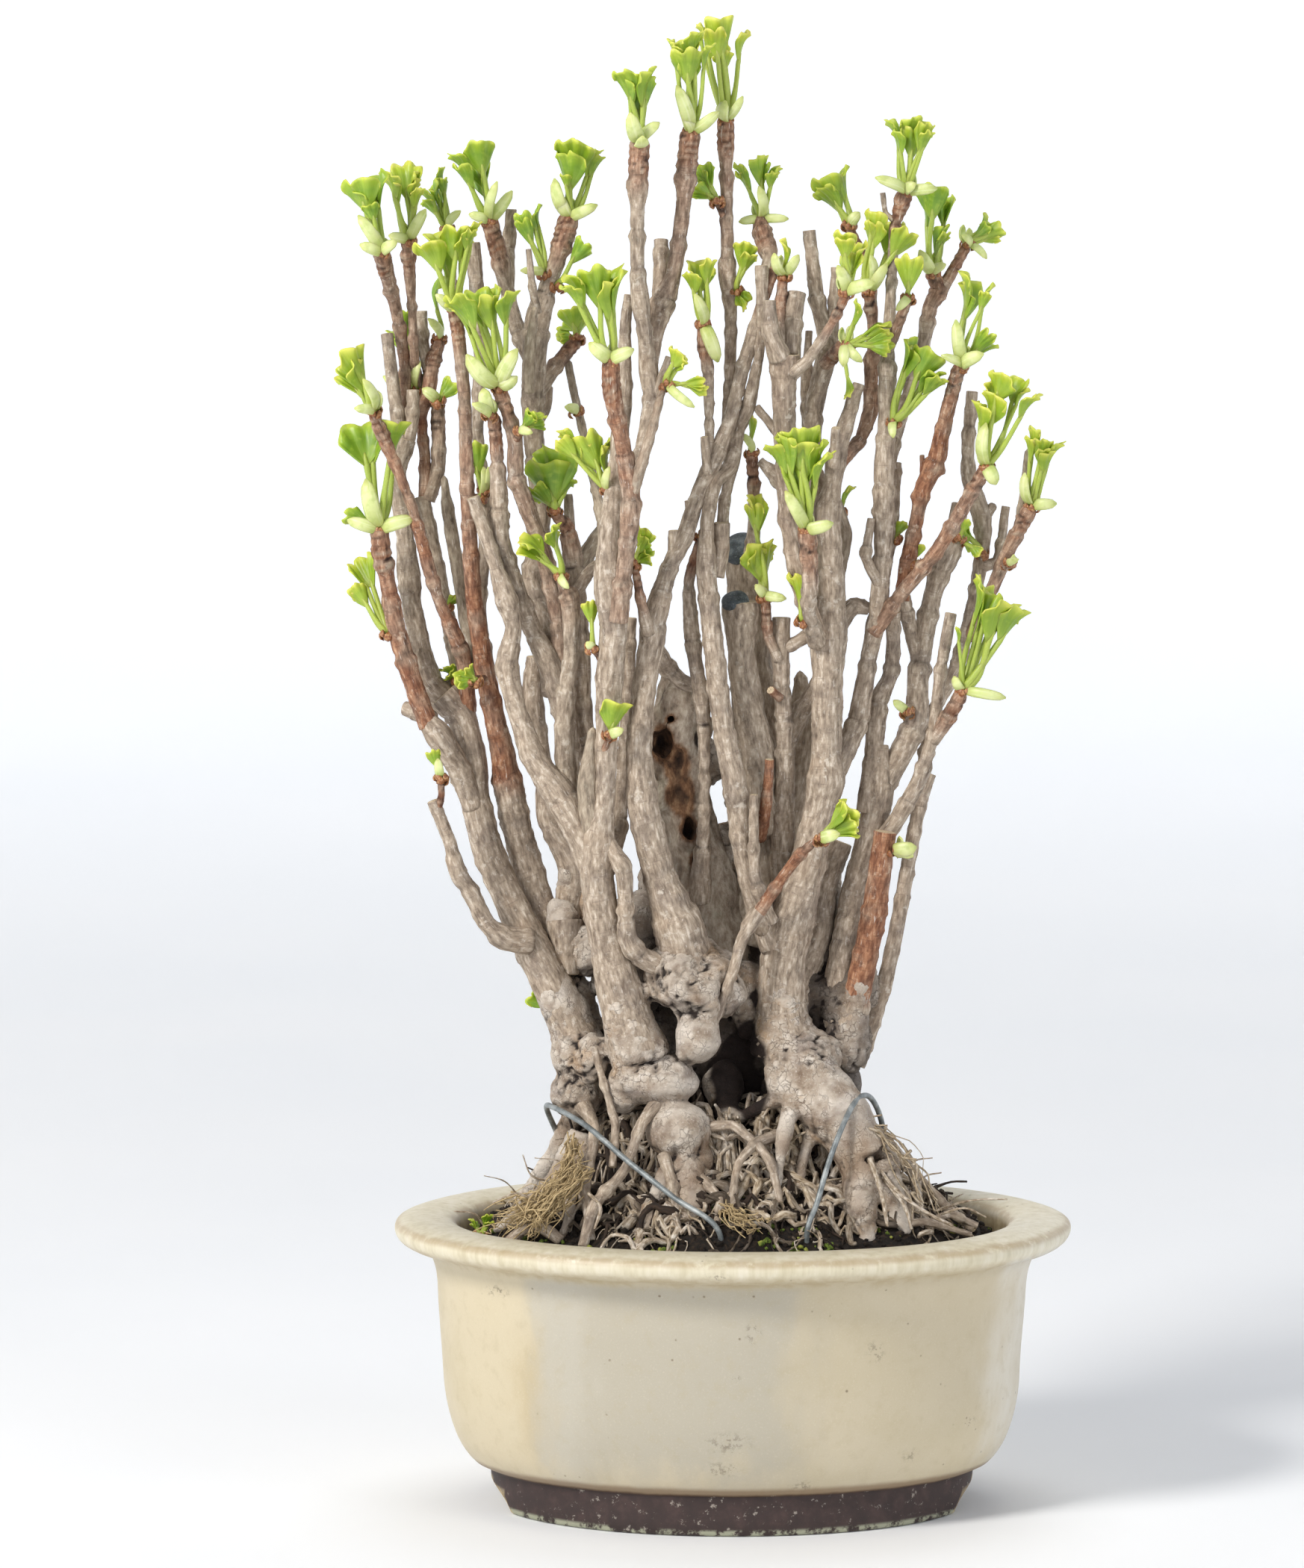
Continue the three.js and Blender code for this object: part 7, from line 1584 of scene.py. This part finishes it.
# Thin dead twigs that stick out over the mound: points u, v, depth and a radius.
LITTER = [([(-70, 101, -26), (-76, 108, -30), (-83, 110, -34)], 0.35),
          ([(-60, 108, -36), (-67, 110, -38), (-70, 117, -40)], 0.35),
          ([(-54, 112, -34), (-58, 115, -36), (-66, 116, -38)], 0.3),
          ([(55, 109, -20), (61, 115, -22), (67, 116, -24)], 0.35),
          ([(60, 106, -22), (65, 110, -24), (70, 111, -26)], 0.35),
          ([(41, 128, -20), (45, 129.5, -24), (50, 130.5, -26)], 0.5),
          ([(68, 98, -24), (77, 101, -28), (84, 102, -30), (92, 102, -30)], 0.5),
          ([(-64, 100, -44), (-72, 104, -48), (-80, 101, -50)], 0.4),
          ([(70, 97, -40), (78, 99, -42), (85, 96, -40)], 0.45),
          ([(-48, 104, -44), (-44, 99, -52), (-46, 92, -54)], 0.7),
          ([(48, 114, -32), (56, 104, -42), (66, 97, -46), (74, 93, -44)], 0.9),
          ([(50, 110, -34), (58, 99, -46), (60, 92, -50)], 1.0),
          ([(46, 116, -34), (50, 104, -44), (52, 93, -52)], 1.1),
          ([(-83, 93, -20), (-86, 97, -22), (-93, 98, -24)], 0.5)]
twigs = Skin()
for points, radius in LITTER:
    strand(twigs, [place(*point) for point in points], radius / 1000, tone=(0.1, 0.1, 0, 0), sides=6,
           step=0.0012, end=0.6, knot=0.3)
twigs.piece("loose_twigs", ROOT_BARK, "bark")


# ---- leaves ----
FAN_WIDER, FAN_LONGER = 1.5, 1.4
FAN_GRID, SCALE_GRID, PAPERY_GRID = (21, 8), (7, 9), (5, 5)
SCALE_BEND = 1.25
# How far in front of or behind its base a shoot's leaves may stand, in millimetres.
LEAF_REACH = 11
PAPERY_SCALES = 8


def sheet_grid(across, out):
    """A grid from side to side, -1 to 1, and from the base to the tip, 0 to 1."""
    return np.meshgrid(np.linspace(-1, 1, across), np.linspace(0, 1, out), indexing="ij")


def two_sided(skin, sheet, facing, thick, tone, grain):
    """A thin closed blade round a sheet of points."""
    normal = unit(np.cross(np.gradient(sheet, axis=1), np.gradient(sheet, axis=0)))
    if np.sum(normal * facing) < 0:
        normal = -normal
    half = normal * thick[..., None]
    rows, columns = sheet.shape[:2]
    count = rows * columns
    border = [*[i * columns for i in range(rows)], *[(rows - 1) * columns + j for j in range(1, columns)],
              *[i * columns + columns - 1 for i in range(rows - 2, -1, -1)], *range(columns - 2, 0, -1)]
    rimmed = np.array([(a, b, b + count, a + count) for a, b in zip(border, border[1:] + border[:1])])
    quads = grid_faces(rows, columns, False)
    skin.add(np.vstack(((sheet + half).reshape(-1, 3), (sheet - half).reshape(-1, 3))),
             (quads, quads[:, ::-1] + count, rimmed),
             np.vstack([tone.reshape(-1, 4)] * 2), np.vstack([grain.reshape(-1, 3)] * 2))


def fan_leaf(skin, root, edge, width, length, outwards, roll, chance, draw):
    """A young fan leaf: a funnel with a lobed, ruffled rim that narrows into its stalk."""
    axis = unit(edge - root)
    tall = np.linalg.norm(edge - root)
    side = unit(np.cross(axis, outwards))
    facing = unit(np.cross(side, axis))
    width = width * FAN_WIDER / 1000
    length = min(length * FAN_LONGER / 1000, tall * 0.93)
    flat = width * roll / math.sin(min(roll, 1.5))
    fan = math.asin(min(0.93, flat / (2 * length)))
    across, out = sheet_grid(*FAN_GRID)
    out = out ** 0.8
    waves, phase, split = draw.uniform(1.6, 2.9), draw.uniform(0, 6.28), draw.uniform(0.02, 0.13)
    middle = draw.uniform(-0.15, 0.15)
    rim = 1 - split * np.exp(-((across - middle) / 0.11) ** 2)
    rim += 0.055 * np.cos(waves * math.pi * across + phase)
    rim += 0.012 * np.cos(9 * across + phase * 2) - 0.22 * np.abs(across) ** 4
    reach = length * (1 + (rim - 1) * out ** 2.5) * (0.04 + 0.96 * out)
    opened = fan * (1.12 - 0.12 * out)
    half = reach * np.sin(opened)
    arc = roll * across
    x = half * np.sin(arc) / roll
    y = tall - length + reach * np.cos(across * opened * 0.8)
    z = -half * (1 - np.cos(arc)) / roll
    ruffle = 0.06 * np.sin(waves * 1.6 * math.pi * across + phase) + 0.012 * np.sin(9 * across + phase)
    z += out ** 3 * width * ruffle + draw.uniform(0.05, 0.2) * length * out ** 5
    z += draw.uniform(-0.08, 0.05) * length * out ** 2
    sheet = root + x[..., None] * side + y[..., None] * axis + z[..., None] * facing
    outwards_share = np.clip(out * (0.96 + 0.04 * np.cos(9 * across + phase)), 0, 1)
    tone = np.stack((outwards_share, 0 * out, 0 * out, np.full_like(out, chance)), -1)
    grain = np.stack((across * 0.008, out * length, np.full_like(out, draw.uniform(0, 0.5))), -1)
    two_sided(skin, sheet, facing, 0.0003 - 0.00012 * out, tone, grain)

    base = sheet[across.shape[0] // 2, 0]
    bowed = side * draw.uniform(-0.06, 0.06) * tall + facing * draw.uniform(0, 0.07) * tall
    points = [root, root * 0.67 + base * 0.33 + bowed * 0.8, root * 0.33 + base * 0.67 + bowed * 0.6,
              base + axis * length * 0.05, base + axis * length * 0.3 + facing * 0.0001]
    thick = 0.0005 + 0.03 * width
    line = spline([(*p, thick * share) for p, share in zip(points, (1.7, 1.25, 1, 1, 0.35))], 0.0018)
    tube(skin, line[:, :3], line[:, 3], 7, (0.06, 0, 0, chance * 0.7))


def bud_scale(skin, root, tip, width, normal, papery, draw):
    """A boat-shaped scale standing round the bud: pale and thick, or papery and brown."""
    axis = unit(tip - root)
    side = unit(np.cross(axis, normal))
    facing = unit(np.cross(side, axis))
    length = np.linalg.norm(tip - root)
    width = width / 1000
    across, out = sheet_grid(*(PAPERY_GRID if papery else SCALE_GRID))
    shape = np.maximum(1 - np.abs(2 * out ** 0.9 - 1) ** 2.6, 0) ** 0.5 * 0.93 + 0.07
    x = np.sin(across * SCALE_BEND) / math.sin(SCALE_BEND) * shape * width / 2
    z = 0.3 * width * np.cos(across * SCALE_BEND) * shape + 0.16 * length * np.sin(math.pi * out)
    z -= 0.04 * length * out ** 3
    sheet = root + x[..., None] * side + (out * length)[..., None] * axis + z[..., None] * facing
    rust = np.ones_like(out) if papery else 0.9 * np.clip((0.16 - out) / 0.1, 0, 1)
    tone = np.stack((out, np.ones_like(out), rust, np.full_like(out, draw.uniform(0, 1))), -1)
    grain = np.stack((x, out * length, np.full_like(out, draw.uniform(0, 0.5))), -1)
    two_sided(skin, sheet, facing, np.full_like(out, 0.0002 if papery else 0.00032), tone, grain)


def crown_of(draw, fans, near, far):
    """A shoot's drawn leaves and smaller ones among them: u, v, width, length and depth of each."""
    depths = near + 0.8 + (far - near - 1.6) * (draw.permutation(len(fans)) + 0.5) / max(1, len(fans))
    leaves = [(*fan, depth) for fan, depth in zip(fans, depths)]
    for k in range(math.ceil(len(fans) * 0.75) if len(fans) > 1 else 0):
        u, v, width, length = fans[k]
        size = draw.uniform(0.72, 0.95)
        leaves.append((u + width * draw.uniform(-0.35, 0.35), v - draw.uniform(0.5, 3) - 0.15 * length,
                       width * size, length * size, draw.uniform(near + 1, far - 1)))
    return leaves


def grow_shoot(name, base, fans, scales, seed):
    """A shoot: a bunch of fans, pale bud scales, upright ones between them and papery ones round its base."""
    draw = np.random.default_rng(seed)
    skin = Skin()
    root = place(*base)
    replaced = [name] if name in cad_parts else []
    middle = spread(*base[1:])
    near, far = middle - 5, middle + 5
    if replaced:
        own = (root[1] - ORIGIN[1]) * 1000
        low, high = ((corner[1] - ORIGIN[1]) * 1000 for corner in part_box(name))
        near, far = max(low, own - LEAF_REACH), min(high, own + LEAF_REACH)
    mood = draw.uniform(0, 1)
    leaves = crown_of(draw, fans, near, far)
    centre = np.array((np.mean([leaf[0] for leaf in leaves]), (near + far) / 2)) if leaves else None
    for u, v, width, length, depth in leaves:
        way = np.array((u, depth)) - centre
        way = way / max(1.5, np.linalg.norm(way)) + (0, -0.35) + draw.normal(0, 0.22, 2)
        turn = math.atan2(way[0], -way[1])
        fan_leaf(skin, root, sight(u, v, depth), width, length, (math.sin(turn), -math.cos(turn), 0.05),
                 draw.uniform(0.75, 1.3), float(np.clip(mood + draw.normal(0, 0.16), 0, 1)), draw)
    for u, v, width in scales:
        turn = draw.uniform(-0.6, 0.6)
        tip = place(u, v, base[2] - 1 - 3 * draw.random())
        facing = np.array((math.sin(turn), -math.cos(turn), 0.1))
        bud_scale(skin, root, tip, max(width * 0.88, 2.1), facing, False, draw)
    for _ in range(2 if len(scales) > 1 else 0):
        turn = draw.uniform(-0.9, 0.9)
        lean = np.array((math.sin(turn), math.cos(turn), 0))
        tip = root + lean * draw.uniform(0.002, 0.0035) + np.array((0, 0, draw.uniform(0.004, 0.0065)))
        bud_scale(skin, root + lean * 0.0006, tip, draw.uniform(2.2, 3.2), lean + (0, 0, 0.1), False, draw)
    for k in range(PAPERY_SCALES):
        turn = k * 0.785 + draw.uniform(-0.3, 0.3)
        lean = np.array((math.cos(turn), math.sin(turn), 0))
        low = draw.uniform(0.0006, 0.0030)
        tip = root + lean * draw.uniform(0.0018, 0.0026)
        tip = tip + np.array((0, 0, draw.uniform(0.0010, 0.0024) - low * 0.5))
        start = root + lean * 0.0011 - np.array((0, 0, low))
        bud_scale(skin, start, tip, draw.uniform(1.6, 2.6), lean, True, draw)
    skin.piece(name.replace("shoot_", "leaves_"), LEAF, "leaf", *replaced)


for seed, (name, (base, fans, scales)) in enumerate(SHOOTS.items(), 201):
    grow_shoot(name, base, fans, scales, seed)


# ---- wires, drain meshes and paste ----
WIRE_UNDER_Z, WIRE_OVER_Z = FLOOR_UNDER_Z - 2.2, FLOOR_Z + 7
# The hidden ends of a wire, bent flat under the floor: y and z.
FRONT_END = [(-15, WIRE_UNDER_Z), (-6, WIRE_UNDER_Z), (-4.5, FLOOR_Z), (-4.5, WIRE_OVER_Z)]
BACK_END = [(-y, z) for y, z in FRONT_END[::-1]]

for name, rows in WIRES.items():
    x = DRAIN[0] * (-1 if "left" in name else 1)
    front, back = ([spot(x, y, z) for y, z in end] for end in (FRONT_END, BACK_END))
    points = [*front, *(place(*row) for row in rows), *back]
    line = spline([(*point, WIRE_RADIUS / 1000) for point in points], 0.0015)
    skin = Skin()
    uneven = 1 + 0.03 * noise(line[:, :3], 0.004, 71)
    tube(skin, line[:, :3], line[:, 3] * uneven, 12, top=0.0003, bottom=0.0003)
    skin.piece(name.replace("tie_wire", "weathered_wire"), METAL, "wire", name)

for name in ("drain_mesh_left", "drain_mesh_right"):
    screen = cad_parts[name]
    screen.data.materials.clear()
    screen.data.materials.append(SCREEN)

# Half the section of a cap of paste from its middle below to its middle above, as shares of its size.
PASTE_SECTION = [(0.001, -0.1), (0.9, -0.1), (1, 0.05), (1.02, 0.3), (0.95, 0.6), (0.8, 0.82), (0.55, 0.95),
                 (0.25, 1), (0.01, 1)]
PASTE_SIDES = 30


def paste_dome(node, stem, radius, thickness, aside, seed):
    """A cap of cut paste on a stem's cut end, tipped towards the front; aside moves it to the right."""
    end, before = (place(*row[:3]) for row in STEMS[stem][:-3:-1])
    axis = unit(unit(end - before) + (-0.12, -0.6, 0))
    end = end + np.array((aside, -1, -0.4)) / 1000
    side = unit(np.cross(axis, (0, 1, 0.1)))
    other = np.cross(axis, side)
    rings = np.array([[end + (side * math.cos(a) + other * math.sin(a)) * wide * radius / 1000
                       + axis * (high * thickness + 0.35) / 1000 for a in circle(PASTE_SIDES)]
                      for wide, high in PASTE_SECTION])
    rings += 0.00035 * noise(rings, 0.003, seed)[..., None] * unit(rings - end)
    ring, last = np.arange(PASTE_SIDES)[None], (len(rings) - 1) * PASTE_SIDES
    skin = Skin()
    skin.add(rings, (grid_faces(len(rings), PASTE_SIDES), ring[:, ::-1], last + ring))
    skin.piece(node.replace("cut_", "sealing_"), PASTE, "paste", node)


paste_dome("cut_paste_high", "dead_high", radius=6.4, thickness=5.2, aside=-0.6, seed=81)
paste_dome("cut_paste_low", "dead_low", radius=4.6, thickness=3.2, aside=-1.8, seed=82)


# ---- the floor, the light and the camera ----
# Half the section of the floor, from its middle to the top of the wall round it, in metres.
FLOOR_SECTION = [(0, 0), (1.2, 0), (2.2, 0.02), (3.0, 0.12), (3.6, 0.4), (4.0, 0.9), (4.2, 1.6), (4.25, 2.6)]
FLOOR_SIDES = 96


def studio_floor():
    """A wide floor that rises into a wall all round."""
    line = spline([(r, 0, h, 1) for r, h in FLOOR_SECTION], 0.12)
    angle = circle(FLOOR_SIDES)
    rings = np.stack((np.cos(angle) * line[:, :1], np.sin(angle) * line[:, :1],
                      np.repeat(line[:, 2:3], FLOOR_SIDES, axis=1)), -1)
    rings[..., 2] += POT_LOW[2] - 0.0002
    mesh = bpy.data.meshes.new("floor")
    mesh.from_pydata(rings.reshape(-1, 3).tolist(), [], grid_faces(len(rings), FLOOR_SIDES).tolist())
    mesh.shade_smooth()
    s = Shade("floor", Roughness=0.9, Emission_Strength=1.0)
    here = s.place()
    x, y, _ = s.node("SeparateXYZ", {"Vector": here}, out=None).outputs
    away = s.math("SQRT", s.math("ADD", s.both(x, x), s.both(y, y)))
    s.tree.links.new(s.mix(s.step(away, 0.5, 3.2), "000000", "aeb0b3"), s.shader.inputs["Emission Color"])
    mesh.materials.append(s.finish(s.ramp(s.noise(here, 300, 2), (0.3, "f3f5f8"), (0.7, "f7f8fa"))))
    floor = bpy.data.objects.new("floor", mesh)
    bpy.context.scene.collection.objects.link(floor)
    floor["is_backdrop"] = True


def soft_light(name, where, size, power, colour):
    """A round light, in metres, turned towards the middle of the tree."""
    light = bpy.data.lights.new(name, "AREA")
    light.shape, light.size, light.energy, light.color = "DISK", size, power, tint(colour)[:3]
    lamp = bpy.data.objects.new(name, light)
    scene.collection.objects.link(lamp)
    lamp.location = where
    lamp.rotation_euler = Vector(spot(-10, 0, 240) - where).to_track_quat("-Z", "Y").to_euler()


studio_floor()
scene = bpy.context.scene
scene.world = bpy.data.worlds.new("world")
scene.world.use_nodes = True
sky = scene.world.node_tree.nodes["Background"].inputs
sky["Color"].default_value, sky["Strength"].default_value = tint("f3f6f9"), 0.12
soft_light("key", (-1.6, -1.6, 1.8), size=0.7, power=60, colour="fffcf7")
soft_light("fill", (1.9, -1.6, 1.3), size=1.2, power=10, colour="f8faff")
soft_light("top", (0.2, 0.6, 2.4), size=1.4, power=15, colour="ffffff")

camera = bpy.data.objects.new("camera", bpy.data.cameras.new("camera"))
scene.collection.objects.link(camera)
scene.camera = camera
camera.data.sensor_fit, camera.data.sensor_height, camera.data.lens = "VERTICAL", 36, LENS
camera.data.clip_start, camera.data.clip_end = 0.1, 30
camera.location = spot(*EYE)
camera.rotation_euler = (math.radians(90 - LOOKING_DOWN), 0, 0)
scene.view_settings.view_transform = "Standard"

boxes = (CAD_BOX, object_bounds())
[[list(map(float, corner)) for corner in box] for box in boxes]
